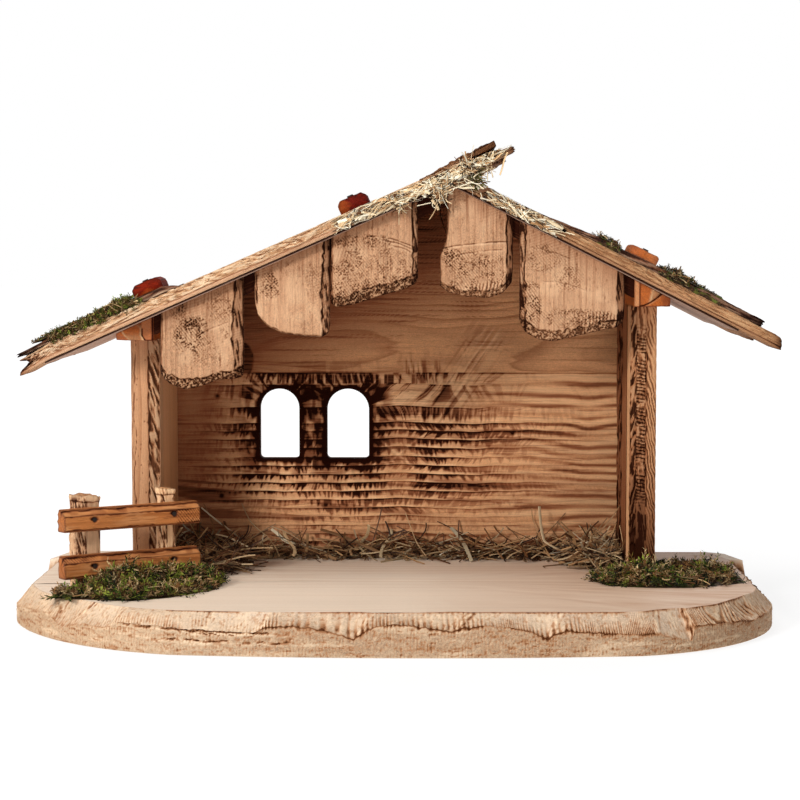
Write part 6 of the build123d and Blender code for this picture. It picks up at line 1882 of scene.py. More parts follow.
def rail(name, node, z0, seed, hatch_front, hatch_top, taper=0.0):
    mx, my = FENCE_L[0] + FA[0] * RAIL_MID, FENCE_L[1] + FA[1] * RAIL_MID
    f0, H, T = 5.75, 10.8, 7.0                  # front face of the posts, height and thickness
    # section in (v, w): v up, w towards the front
    sec = [(0.0, f0), (H, f0), (H, f0 + 3.0), (H - 2.9, f0 + T), (0.5, f0 + T), (0.0, f0 + T - 0.8)]

    def place(u, v, w):
        return mx + FA[0] * u + FF[0] * w, my + FA[1] * u + FF[1] * w, z0 + v

    def fn(u, v, w, face):
        bev, front = (face == 2).astype(float), (face == 3).astype(float)
        wv = 0.45 * vn(u * 0.12, 0, 0, seed) + 0.3 * vn(u * 0.5, 0, 0, seed + 1)
        thick = 0.38 + 0.18 * vn(u * 0.2, 5, 0, seed + 12)
        l1 = front * np.exp(-((v - H + 3.2 - wv - 1.1 * taper * sstep(u, -10.0, 36.0)) / thick) ** 2)
        l2 = front * np.exp(-((v - 0.8 - 0.7 * wv) / thick) ** 2)
        l3 = bev * np.exp(-((v - H + 0.7 - 0.6 * wv) / 0.45) ** 2)
        d = 0.12 * fbm(u * 0.05, v * 0.7, w * 0.7, seed + 2, 3) - 0.4 * l1 - 0.25 * l2
        d = d + bev * (0.4 * vn(u * 0.16, v * 0.4, 0, seed + 3) - 0.25)
        b = 0.95 * l1 + 0.9 * l2 + 0.85 * l3 + 0.28 * bev * sstep(vn(u * 0.2, v * 0.9, 0, seed + 5), -0.1, 0.5)
        b = b + 0.3 * front * slivers(u, v, seed + 13, 0.04, 10.0, 0.4, -0.6)[1]
        ks = kerfs(u, v, seed + 4, -0.85, 1.15, 0.9, 0.5)
        hm = front * sstep(u, *hatch_front[:2]) * (1 - sstep(u, *hatch_front[2:]))
        hl = bev * sstep(u, *hatch_top[:2]) * (1 - sstep(u, *hatch_top[2:]))
        d = d - 0.35 * (hm + hl) * ks
        b = b + 0.6 * (hm + hl) * ks
        for un in (-RAIL_MID, FENCE_SPAN - RAIL_MID):
            q = np.hypot((u - un) * 1.0, (v - 5.4) * 1.0)
            slot = np.hypot((u - un + 0.3) * 0.75, (v - 5.9) * 1.5)
            k = np.exp(-(np.minimum(q / 1.25, slot / 1.5)) ** 4) * front
            d = d - 0.95 * k
            b = b + 1.2 * k
        pale = 0.4 * front * sstep(fbm(u * 0.05, v * 0.5, 0, seed + 14, 3), -0.1, 0.4) + 0.6 * bev * (0.5 + 0.5 * vn(u * 0.1, v * 0.5, 0, seed + 15))
        return d, b, 0.4 + 0 * u, pale * (1 - np.clip(b, 0, 1))

    def end(sign, sd):
        def e(v, w):
            return sign * (0.7 * np.maximum((w - f0 - 3.0) / 4.0, 0) + 0.6 * np.abs(vn(v * 0.3, w * 0.3, 0, sd)) + 0.08 * np.abs(v - 5.0))
        return e
    return wood_bar(name, node, M_STAIN, "stained_spruce", place, (27000 + seed, 8, 12), sec, -36.35, 36.35, step=0.38, ustep=0.45, rnd=0.45, fn=fn,
                    e0=end(1, seed + 8), e1=end(-1, seed + 9), ramp=5.0, rough_end=0.25, seed=seed)


rail("Fence_lower_rail", "fence_lower_rail", 25.6, 1051, (90.0, 91.0, 92.0, 93.0), (-38.0, -36.0, -22.0, -16.0), 1.0)
rail("Fence_upper_rail", "fence_upper_rail", 47.8, 1061, (21.5, 25.0, 38.0, 39.0), (90.0, 91.0, 92.0, 93.0))

# ============================================================================
# moss and straw
# ============================================================================
def in_poly(x, y, poly):
    inside = np.zeros(x.shape, bool)
    n = len(poly)
    for i in range(n):
        x0, y0 = poly[i]
        x1, y1 = poly[(i + 1) % n]
        hit = ((y0 > y) != (y1 > y)) & (x < (x1 - x0) * (y - y0) / (y1 - y0 + 1e-12) + x0)
        inside ^= hit
    return inside


def unit(v):
    return v / np.maximum(np.linalg.norm(v, axis=-1, keepdims=True), 1e-9)


def leaves(base, direction, side, length, width, thick):
    """Elongated eight faced needles, one for each row."""
    d, s = unit(direction), unit(side)
    s = unit(s - d * (s * d).sum(-1, keepdims=True))
    t = np.cross(d, s)
    L, W, T = length[:, None], width[:, None], thick[:, None]
    tip = base + d * L
    mid = base + d * L * 0.42
    v = np.stack([base, tip, mid + s * W, mid - s * W, mid + t * T, mid - t * T], 1)
    f = np.array([[0, 2, 4], [0, 4, 3], [0, 3, 5], [0, 5, 2], [1, 4, 2], [1, 3, 4], [1, 5, 3], [1, 2, 5]])
    n = len(base)
    tris = (f[None] + 6 * np.arange(n)[:, None, None]).reshape(-1, 3)
    return v.reshape(-1, 3), tris


def tubes(paths, wide, flat, ref, sides=6, taper=0.85):
    """Flattened stalks along paths (n, k, 3); wide and flat are half widths (n,)."""
    n, k, _ = paths.shape
    tan = np.gradient(paths, axis=1)
    tan = unit(tan)
    r = np.broadcast_to(ref[:, None], paths.shape)
    s = unit(np.cross(tan, r))
    t = np.cross(s, tan)
    ang = np.arange(sides) / sides * 2 * math.pi
    prof = np.linspace(1.0, taper, k)[None, :, None, None]
    ring = paths[:, :, None] + prof * (s[:, :, None] * (np.cos(ang)[None, None, :, None] * wide[:, None, None, None])
                                       + t[:, :, None] * (np.sin(ang)[None, None, :, None] * flat[:, None, None, None]))
    per = k * sides + 2
    verts = np.concatenate([ring.reshape(n, k * sides, 3), paths[:, :1], paths[:, -1:]], 1)
    q = ring_quads(k, sides)
    j = np.arange(sides)
    t0 = np.stack([(j + 1) % sides, j, np.full(sides, k * sides)], 1)
    t1 = np.stack([(k - 1) * sides + j, (k - 1) * sides + (j + 1) % sides, np.full(sides, k * sides + 1)], 1)
    tr = np.concatenate([t0, t1])
    quads = (q[None] + per * np.arange(n)[:, None, None]).reshape(-1, 4)
    tris = (tr[None] + per * np.arange(n)[:, None, None]).reshape(-1, 3)
    strand = np.repeat(np.arange(n), per)
    along = np.tile(np.concatenate([np.repeat(np.linspace(0, 1, k), sides), [0, 1]]), n)
    across = np.tile(np.concatenate([np.tile(np.arange(sides) / sides, k), [0.5, 0.5]]), n)
    return verts.reshape(-1, 3), quads, tris, strand, along, across


def moss(name, node, points, normal, seed, length=(5.0, 11.0), leaf=(1.5, 2.8), nleaf=11, spread=0.9, tint=(0.38, 0.26), mound=None, gravity=0.25, dry_part=0.12,
         size=None, rise=(0.25, 1.1), strands=0):
    """points (n, 3) on the ground, normal (n, 3).  Each becomes a bent stem with needles all round."""
    rng = np.random.default_rng(seed)
    n = len(points)
    flat = unit(rng.normal(size=(n, 3)))
    d0 = unit(normal * rng.uniform(*rise, (n, 1)) + flat * spread)
    up = (d0 * normal).sum(1, keepdims=True)
    d0 = unit(d0 + normal * np.maximum(0.12 - up, 0) * 1.5)
    grow = np.ones(n) if size is None else size
    ln = rng.uniform(*length, n) * grow
    bend = unit(rng.normal(size=(n, 3))) * rng.uniform(0.1, 0.55, (n, 1)) - normal * gravity * rng.uniform(0.0, 1.2, (n, 1))
    K = 6
    t = np.linspace(0, 1, K)[None, :, None]
    path = points[:, None] + ln[:, None, None] * (d0[:, None] * t + bend[:, None] * t * t)
    # nothing goes under the ground
    h = ((path - points[:, None]) * normal[:, None]).sum(-1)
    low = np.maximum(0.35 - h, 0)[..., None]
    path = path + normal[:, None] * low
    ref = unit(rng.normal(size=(n, 3)))
    sv, sq, st, sstr, sal, sac = tubes(path, np.full(n, 0.22), np.full(n, 0.22), ref, sides=4, taper=0.45)
    own = np.clip(rng.normal(tint[0], tint[1], n), 0, 1)
    dry = rng.random(n) < dry_part
    own = np.where(dry, rng.uniform(0.66, 1.0, n), own)
    # needles
    tt = (np.arange(nleaf) + 0.6) / nleaf
    idx = tt * (K - 1)
    i0 = np.clip(np.floor(idx).astype(int), 0, K - 2)
    fr = (idx - i0)[None, :, None]
    pos = path[:, i0] * (1 - fr) + path[:, i0 + 1] * fr
    tan = unit(path[:, i0 + 1] - path[:, i0])
    ang = (np.arange(nleaf) * 2.39996)[None, :] + rng.uniform(0, 6.28, (n, 1))
    s1 = unit(np.cross(tan, np.broadcast_to(ref[:, None], tan.shape)))
    s2 = np.cross(tan, s1)
    rad = s1 * np.cos(ang)[..., None] + s2 * np.sin(ang)[..., None]
    opening = rng.uniform(0.55, 1.15, (n, nleaf, 1))
    ld = unit(tan * 0.75 + rad * opening)
    ll = rng.uniform(*leaf, (n, nleaf)) * (0.65 + 0.5 * np.sin(math.pi * (0.15 + 0.8 * tt)))[None] * np.sqrt(grow)[:, None]
    lw = ll * rng.uniform(0.13, 0.21, (n, nleaf))
    lt = lw * 0.38
    lv, ltri = leaves(pos.reshape(-1, 3), ld.reshape(-1, 3), np.cross(rad, tan).reshape(-1, 3), ll.ravel(), lw.ravel(), lt.ravel())
    lown = np.clip(np.repeat(own, nleaf) + rng.normal(0, 0.05, n * nleaf), 0, 1)
    # painted shade: needles low in the tuft are darker
    hl = ((pos - points[:, None]) * normal[:, None]).sum(-1)
    low_leaf_shade = np.clip(1.0 - hl / 3.6, 0, 1) ** 1.3
    verts = [sv, lv]
    quads = [sq]
    tris = [st, ltri + len(sv)]
    strand = [sstr, np.repeat(n + np.arange(n * nleaf), 6)]
    along = [sal, np.tile(np.array([0, 1, 0.42, 0.42, 0.42, 0.42]), n * nleaf)]
    across = [sac, np.tile(np.array([0.5, 0.5, 1, 0, 0.75, 0.25]), n * nleaf)]
    tints = [np.clip(own[sstr] + 0.22, 0, 1), np.repeat(lown, 6)]
    roots = [np.clip(0.9 - sal * 0.8, 0, 1), np.repeat(low_leaf_shade.ravel(), 6)]
    gco = [np.stack([sal * 9, sac * 2, sstr * 1.7], 1), np.stack([along[1] * 2.2, across[1] * 0.6, strand[1] * 1.37 % 997], 1)]
    count = n + n * nleaf
    if strands:
        # dead stalks lying between the sprigs
        pick = rng.integers(0, n, strands)
        dd = unit(rng.normal(size=(strands, 3)) + 0.15 * normal[pick])
        dd = dd - normal[pick] * (dd * normal[pick]).sum(1, keepdims=True) * 0.6
        L = rng.uniform(4.0, 11.0, strands) * np.sqrt(grow[pick])
        up = rng.uniform(0.8, 3.6, strands) * grow[pick]
        tt2 = np.linspace(-0.5, 0.5, 6)[None, :, None]
        bow = unit(rng.normal(size=(strands, 3)))
        pp = (points[pick] + normal[pick] * up[:, None])[:, None] + L[:, None, None] * (dd[:, None] * tt2 + 0.35 * bow[:, None] * (tt2 * tt2 - 0.1))
        h = ((pp - points[pick][:, None]) * normal[pick][:, None]).sum(-1)
        pp = pp + normal[pick][:, None] * np.maximum(0.3 - h, 0)[..., None]
        wv, wq, wt, ws, wal, wac = tubes(pp, rng.uniform(0.16, 0.42, strands), rng.uniform(0.1, 0.22, strands), unit(rng.normal(size=(strands, 3))), sides=5, taper=0.6)
        off = sum(len(v) for v in verts)
        verts.append(wv)
        quads.append(wq + off)
        tris.append(wt + off)
        strand.append(ws + count)
        along.append(wal)
        across.append(wac)
        tints.append(rng.uniform(0.62, 0.98, strands)[ws])
        roots.append((rng.random(strands) ** 1.5 * 0.8)[ws])
        gco.append(np.stack([wal * 9, wac * 2, ws * 1.3], 1))
        count += strands
    if mound is not None:
        mv, mq, mt = mound
        off = sum(len(v) for v in verts)
        verts.append(mv)
        if mq is not None and len(mq):
            quads.append(mq + off)
        if mt is not None and len(mt):
            tris.append(mt + off)
        strand.append(np.full(len(mv), count))
        lo, hi = mv.min(0), mv.max(0)
        uvw = (mv - lo) / np.maximum(hi - lo, 1e-6)
        along.append(uvw[:, 0])
        across.append(uvw[:, 1])
        tints.append(np.clip(0.62 + 0.3 * vn(mv[:, 0] * 0.6, mv[:, 1] * 0.6, mv[:, 2] * 0.6, seed), 0, 1))
        # painted shade on the mound under the sprigs
        roots.append(np.full(len(mv), 0.75))
        gco.append(mv.copy())
    verts = np.concatenate(verts)
    ob = new_object(name, verts, np.concatenate(quads), np.concatenate(tris), M_MOSS,
                    dict(gco=np.concatenate(gco), tint=np.concatenate(tints), root=np.concatenate(roots)), angle=None, uv="cells",
                    cells=(np.concatenate(strand), np.concatenate(along), np.concatenate(across)))
    return piece(ob, "moss", node) if node else piece(ob, "moss")


def heap(poly, z0, height, seed, to3d, step=1.6, soft=False):
    """Low lumpy mound over a polygon, closed underneath; to3d sets (a, b, h) in space."""
    p = np.asarray(poly, float)
    rim, _ = resample(np.concatenate([p, p[:1]]), step)
    rim = rim[:-1]
    c = p.mean(0)
    k = len(rim)
    levels = [1.0, 0.97, 0.9, 0.8, 0.68, 0.55, 0.42, 0.28, 0.14]
    rows = []
    for lv in levels:
        q = c + (rim - c) * lv
        ht = height * ((1 - lv ** 2.0) ** 1.3 if soft else (1 - lv ** 3.0) ** 0.6) * (0.65 + 0.5 * fbm(q[:, 0] * 0.12, q[:, 1] * 0.12, 0, seed, 3))
        ht = ht + (0.15 if soft else 0.5) * np.abs(vn(q[:, 0] * 0.5, q[:, 1] * 0.5, 0, seed + 1)) * (lv < 1)
        rows.append(np.concatenate([q, np.maximum(ht, 0.02)[:, None]], 1))
    low = np.concatenate([rim, np.zeros((k, 1))], 1)
    P = np.concatenate([low] + rows + [np.array([[c[0], c[1], height * 0.7], [c[0], c[1], 0.0]])])
    quads = ring_quads(len(levels) + 1, k)
    j = np.arange(k)
    t0 = np.stack([len(levels) * k + j, len(levels) * k + (j + 1) % k, np.full(k, len(P) - 2)], 1)
    t1 = np.stack([(j + 1) % k, j, np.full(k, len(P) - 1)], 1)
    V = to3d(P[:, 0], P[:, 1], P[:, 2])
    tris = np.concatenate([t0, t1])
    quads, tris = outward(V, quads, tris)
    return V, quads, tris


def scatter(poly, n, seed, clump=0.55):
    rng = np.random.default_rng(seed)
    p = np.asarray(poly, float)
    lo, hi = p.min(0), p.max(0)
    got = np.zeros((0, 2))
    while len(got) < n:
        q = lo + (hi - lo) * rng.random((n * 3, 2))
        keep = in_poly(q[:, 0], q[:, 1], poly) & (fbm(q[:, 0] * 0.09, q[:, 1] * 0.09, 0, seed, 2) > rng.uniform(-1.0, clump, n * 3) - 0.35)
        got = np.concatenate([got, q[keep]])
    return got[:n]


def flat3(z):
    return lambda a, b, h: np.stack([a, b, z + h], 1)


def left3(n0):
    def f(s, y, h):
        x, z = left_xz(s, n0 + h)
        return np.stack([x, y, z], 1)
    return f


def right3(n0):
    def f(s, y, h):
        x, z = right_xz(s, n0 + h)
        return np.stack([x, y, z], 1)
    return f


NLV = np.array([-SL, 0.0, CL])
NRV = np.array([SR, 0.0, CR])
UPV = np.array([0.0, 0.0, 1.0])

MOSS_BL = [(-160, -48), (-161, -58), (-141, -63), (-122, -66), (-105, -57), (-86, -34), (-85, -5), (-98, -11)]
MOSS_BR = [(96, -4), (103, -19), (122, -25), (141, -25), (161, -15), (170, -9), (170, 22), (155, 45), (130.5, 48), (130.5, 6.5), (98, 6.5)]


def merge(*solids):
    V, Q, T, off = [], [], [], 0
    for v, q, t in solids:
        V.append(v)
        Q.append(q + off)
        T.append(t + off)
        off += len(v)
    return np.concatenate(V), np.concatenate(Q), np.concatenate(T)


def ground_moss(name, node, poly, n, seed, height, ridge, keep, **kw):
    """Moss over a polygon; ridge is a raised strip: origin, direction along, direction across, ranges of both, height."""
    p = scatter(poly, n, seed)
    p = p[keep(p[:, 0], p[:, 1])]
    (ox, oy), fu, fq, (u0, u1), (q0, q1), rh = ridge
    rng = np.random.default_rng(seed + 2)
    m = n // 2
    uu, qq = rng.uniform(u0, u1, m), rng.uniform(q0, q1, m)
    p2 = np.stack([ox + fu[0] * uu + fq[0] * qq, oy + fu[1] * uu + fq[1] * qq], 1)
    p = np.concatenate([p, p2])
    mound = heap(poly, BASE_T, height, seed + 5, flat3(BASE_T), soft=True)
    box = [(ox + fu[0] * u + fq[0] * q, oy + fu[1] * u + fq[1] * q) for u, q in ((u0, q0), (u1, q0), (u1, q1), (u0, q1))]
    bank = heap(box, BASE_T, rh, seed + 6, flat3(BASE_T))
    c = np.asarray(poly, float).mean(0)
    # roots sit on the mound and on the strip
    dist = np.linalg.norm(p - c, axis=1) / np.linalg.norm(np.asarray(poly, float) - c, axis=1).max()
    z = height * 0.5 * (1 - dist ** 2) * (0.7 + 0.3 * vn(p[:, 0] * 0.12, p[:, 1] * 0.12, 0, seed + 5))
    pu = (p[:, 0] - ox) * fu[0] + (p[:, 1] - oy) * fu[1]
    pq = (p[:, 0] - ox) * fq[0] + (p[:, 1] - oy) * fq[1]
    lv = np.maximum(np.abs(pu - (u0 + u1) / 2) / ((u1 - u0) / 2), np.abs(pq - (q0 + q1) / 2) / ((q1 - q0) / 2))
    bankz = np.where(lv < 1, rh * np.maximum(1 - np.minimum(lv, 1) ** 3, 0) ** 0.6 * 0.58, 0)
    z = BASE_T + np.maximum(np.maximum(z, 0), bankz)
    pts = np.concatenate([p, z[:, None]], 1)
    # patches of taller and of flat growth
    size = np.clip(0.95 + 0.75 * fbm(p[:, 0] * 0.10, p[:, 1] * 0.10, 0, seed + 7, 2), 0.45, 1.5) * np.where(dist > 0.8, 0.8, 1.0)
    return moss(name, node, pts, np.repeat(UPV[None], len(pts), 0), seed + 9, mound=merge(mound, bank), size=size, **kw)


GROUND = dict(length=(3.0, 8.0), leaf=(1.5, 3.0), spread=1.3, gravity=0.3, rise=(0.05, 0.6), dry_part=0.4)
ground_moss("Moss_base_left", "moss_base_left", MOSS_BL, 860, 1101, 3.0, (FENCE_L, FA, FF, (-9.0, 58.0), (13.4, 25.0), 12.0),
            lambda x, y: x > -157.5, tint=(0.28, 0.22), strands=760, **GROUND)
ground_moss("Moss_base_right", "moss_base_right", MOSS_BR, 760, 1121, 2.2, ((121.0, 0.0), (1.0, 0.0), (0.0, -1.0), (-16.0, 12.0), (-7.0, 12.0), 5.6),
            lambda x, y: x < 165.0, tint=(0.2, 0.2), strands=800, **GROUND)


def roof_moss(name, node, left, x0, x1, seed, n, y0, y_back, tint, grow, step_y=None, dry_part=0.35, hang=None):
    """Tufts along the front edge of the covers; grow(x) sets how tall they stand."""
    s_of, f3, xz, N1, N2, nv = (left_s, left3, left_xz, NL1, NL2, NLV) if left else (right_s, right3, right_xz, NR1, NR2, NRV)
    rng = np.random.default_rng(seed)
    a, b = s_of(x0, N2), s_of(x1, N2)
    s = rng.uniform(a, b, n)
    y = y0 + 0.4 + (y_back - y0 - 1.0) * rng.random(n) ** 1.7
    g = grow(xz(s, N2)[0])
    keep = rng.random(n) < np.clip(1.2 * g, 0.15, 1.0)
    s, y, g = s[keep], y[keep], g[keep]
    on1 = y < step_y if step_y is not None else np.zeros(len(y), bool)
    P = np.where(on1[:, None], f3(N1)(s, y, np.full(len(s), 0.9)), f3(N2)(s, y, np.full(len(s), 0.5)))
    ya = y0 if step_y is None else step_y + 0.15
    rear = [(a, ya), (b, ya), (b, y_back), (a, y_back)]
    mv, mq, mt = heap(rear, 0, 1.3, seed + 4, f3(N2))
    if step_y is not None:
        hv, hq, ht = heap([(a, y0), (b, y0), (b, step_y - 0.1), (a, step_y - 0.1)], 0, 3.0, seed + 3, f3(N1))
        k = len(mv)
        mv, mq, mt = np.concatenate([mv, hv]), np.concatenate([mq, hq + k]), np.concatenate([mt, ht + k])
    nn = np.repeat(nv[None], len(P), 0)
    if hang is not None:
        # over the front edge
        xa, xb, m, gh = hang
        sh = rng.uniform(s_of(xa, N2), s_of(xb, N2), m)
        hh = rng.uniform(0.2, 1.0, m)
        xx, zz = xz(sh, N1 + hh * (N2 - N1))
        P = np.concatenate([P, np.stack([xx, np.full(m, y0 - 0.7), zz], 1)])
        nn = np.concatenate([nn, np.repeat(unit(0.35 * nv + np.array([0.0, -0.8, 0.0]))[None], m, 0)])
        g = np.concatenate([g, gh * rng.uniform(0.7, 1.2, m)])
    return moss(name, node, P, nn, seed + 9, length=(2.6, 6.4), leaf=(1.2, 2.5), spread=1.2, gravity=0.25, tint=tint,
                mound=(mv, mq, mt), dry_part=dry_part, size=g, rise=(0.05, 0.6), strands=len(P) // 2)


roof_moss("Moss_roof_left", "moss_roof_left", True, -175.0, -128.5, 1141, 620, -19.5, 13.0, (0.47, 0.10),
          lambda x: 0.30 + 0.14 * vn(x * 0.15, 0, 0, 1145) + 0.36 * sstep(x, -152.0, -134.0), dry_part=0.22, hang=(-166.0, -124.0, 260, 0.62))
roof_moss("Moss_roof_right", "moss_roof_right", False, 128.0, 157.0, 1161, 260, -20.0, 14.0, (0.24, 0.22),
          lambda x: 0.42 + 0.6 * np.exp(-((x - 136.5) / 4.0) ** 2) - 0.2 * sstep(x, 140.0, 154.0), step_y=-17.0)
roof_moss("Moss_roof_top", "moss_roof_top", False, 97.0, 107.5, 1181, 90, -20.0, 12.0, (0.22, 0.2), lambda x: 0.5 + 0 * x, step_y=-17.0)


def straw(name, node, start, direction, length, wide, flat, seed, tint, bend=0.18, floor=None, sides=6, k=9, root=None, sag=None, taper=0.9):
    """Stalks from arrays of starts and directions."""
    rng = np.random.default_rng(seed)
    n = len(start)
    t = np.linspace(0, 1, k)[None, :, None]
    d = unit(direction)
    b1 = rng.normal(0, bend, (n, 1, 3))
    b2 = rng.normal(0, bend * 0.7, (n, 1, 3))
    L = length[:, None, None]
    path = start[:, None] + L * (d[:, None] * t + b1 * t * t + b2 * np.sin(t * math.pi * 2) * 0.25)
    # a kink here and there
    kink = (rng.random(n) < 0.3)[:, None, None] * rng.normal(0, 0.35, (n, 1, 3))
    path = path + L * kink * np.maximum(t - rng.uniform(0.35, 0.7, (n, 1, 1)), 0)
    if sag is not None:
        path[..., 2] -= (L * sag * t * t)[..., 0]
    if floor is not None:
        path[..., 2] = np.maximum(path[..., 2], floor + flat[:, None])
    ref = unit(rng.normal(size=(n, 3)) * np.array([0.4, 0.4, 1.0]))
    v, q, tr, strand, along, across = tubes(path, wide, flat, ref, sides=sides, taper=taper)
    tn = np.clip(rng.normal(tint[0], tint[1], n), 0, 1)
    rt = np.zeros(n) if root is None else root
    gco = np.stack([along * np.repeat(length, len(v) // n), across * 3.0, strand * 1.7], 1)
    return v, q, tr, strand, along, across, tn[strand], rt[strand], gco


def straw_piece(name, node, parts):
    verts, quads, tris, strand, along, across, tint, root, gco = [], [], [], [], [], [], [], [], []
    off, so = 0, 0
    for v, q, t, s, al, ac, tn, rt, g in parts:
        verts.append(v)
        quads.append(q + off)
        tris.append(t + off)
        strand.append(s + so)
        along.append(al)
        across.append(ac)
        tint.append(tn)
        root.append(rt)
        gco.append(g)
        off += len(v)
        so += int(s.max()) + 1
    cat = np.concatenate
    ob = new_object(name, cat(verts), cat(quads), cat(tris), M_STRAW, dict(gco=cat(gco), tint=cat(tint), root=cat(root)), angle=60, uv="cells",
                    cells=(cat(strand), cat(along), cat(across)))
    return piece(ob, "straw", node)


def litter(poly, seed, n_fine, n_stalk, height, z0=BASE_T, tint=(0.36, 0.22)):
    """Hay on the floor: fine strands and some broad stalks, lying in every direction."""
    rng = np.random.default_rng(seed)
    out = []
    for n, ln, wd, fl, tn, rise in ((n_fine, (14, 36), (0.28, 0.5), (0.18, 0.3), tint, 0.22), (n_stalk, (14, 34), (0.6, 1.1), (0.22, 0.4), (tint[0] + 0.22, 0.2), 0.3)):
        p = scatter(poly, n, seed + n, clump=0.9)
        ang = rng.uniform(0, 2 * math.pi, n)
        d = np.stack([np.cos(ang), np.sin(ang), np.abs(rng.normal(0, rise, n))], 1)
        L = rng.uniform(*ln, n)
        h = rng.uniform(0.3, height, n) * rng.random(n) ** 0.5
        start = np.concatenate([p, (z0 + h)[:, None]], 1) - d * L[:, None] * 0.5 * np.array([1, 1, 0.0])
        # keep the strands inside the pad
        mid = start + d * L[:, None] * 0.5
        # painted shade: strands lower in the heap are darker
        root = np.clip(1.0 - h / (height * 0.9), 0, 1) * 0.75
        out.append(straw(None, None, start, d, L, rng.uniform(*wd, n), rng.uniform(*fl, n), seed + n + 3, tn, bend=0.14, floor=z0 + 0.1, root=root, sides=5, k=8))
    return out


def clip_litter(parts, box, seed=0):
    """Bends strands back inside a box (x0, x1, y0, y1)."""
    res = []
    for v, *rest in parts:
        v = v.copy()
        x0, x1, y0, y1 = box

        def fold(a, lo, hi):
            a = np.where(a < lo, lo + (lo - a) * 0.12, a)
            return np.where(a > hi, hi - (a - hi) * 0.12, a)
        v[:, 0] = fold(v[:, 0], x0, x1)
        v[:, 1] = fold(v[:, 1], y0, y1)
        res.append((v, *rest))
    return res


straw_piece("Straw_floor_left", "straw_floor_left",
            clip_litter(litter([(-115.5, 26), (-104, 14), (-82, 16), (-78.5, 81.6), (-115.5, 81.6)], 1201, 420, 60, 8.0, tint=(0.21, 0.17)), (-116.2, -60.0, 2.0, 81.8)))
straw_piece("Straw_floor_back", "straw_floor_back",
            clip_litter(litter([(-78, 66), (-20, 69), (40, 67), (89.5, 65), (89.5, 81.6), (-78, 81.6)], 1221, 420, 50, 5.0, tint=(0.26, 0.2)), (-100.0, 105.0, 48.0, 81.8)))
straw_piece("Straw_floor_right", "straw_floor_right",
            clip_litter(litter([(90, 60), (96, 32), (113.5, 28), (113.5, 81.6), (90, 81.6)], 1241, 300, 60, 8.0, tint=(0.3, 0.24)), (74.0, 113.8, 18.0, 81.8)))


def ridge_straw():
    """Stuffed into the corner where the left boards pass over the right ones."""
    rng = np.random.default_rng(1301)
    parts = []
    q0 = meet(NL0, NR1)
    x_end = 41.0

    def pick(n):
        a, b = rng.random(n), rng.random(n)
        x = q0[0] + 1.6 + a ** 0.8 * (x_end - q0[0] - 2.4)
        top = np.interp(x, [q0[0], q0[0] + 50], [q0[1], q0[1] + 50 * math.tan(AL)]) - 0.8
        bot = np.interp(x, [q0[0], q0[0] + 50], [q0[1], q0[1] - 50 * math.tan(AR)]) + 0.8
        return x, bot + np.maximum(top - bot, 0.1) * b
    n = 130
    x, z = pick(n)
    y = rng.uniform(-14, 96, n)
    d = np.stack([rng.normal(0, 0.05, n), np.where(rng.random(n) < 0.5, 1.0, -1.0), rng.normal(0, 0.04, n)], 1)
    L = rng.uniform(14, 26, n)
    st = np.stack([x, y, z], 1) - unit(d) * L[:, None] * 0.5
    parts.append(straw(None, None, st, d, L, rng.uniform(0.35, 0.7, n), rng.uniform(0.2, 0.35, n), 1303, (0.5, 0.22), bend=0.02, root=rng.random(n) * 0.5))
    for yy, sgn, m in ((-20.2, -1.0, 60), (101.5, 1.0, 50)):
        x, z = pick(m)
        d = np.stack([rng.normal(0, 0.7, m), sgn * rng.uniform(0.1, 0.5, m), rng.normal(-0.1, 0.5, m)], 1)
        L = rng.uniform(2.5, 6.0, m)
        st = np.stack([x, np.full(m, yy) - sgn * rng.uniform(0, 3, m), z], 1)
        parts.append(straw(None, None, st, d, L, rng.uniform(0.2, 0.5, m), rng.uniform(0.15, 0.28, m), 1305 + m, (0.6, 0.24), bend=0.15, root=rng.random(m) ** 2 * 0.8))
    return parts


straw_piece("Straw_ridge", "straw_ridge", [(np.clip(p[0], [-1e9, -24.0, -1e9], [1e9, 104.5, 1e9]), *p[1:]) for p in ridge_straw()])


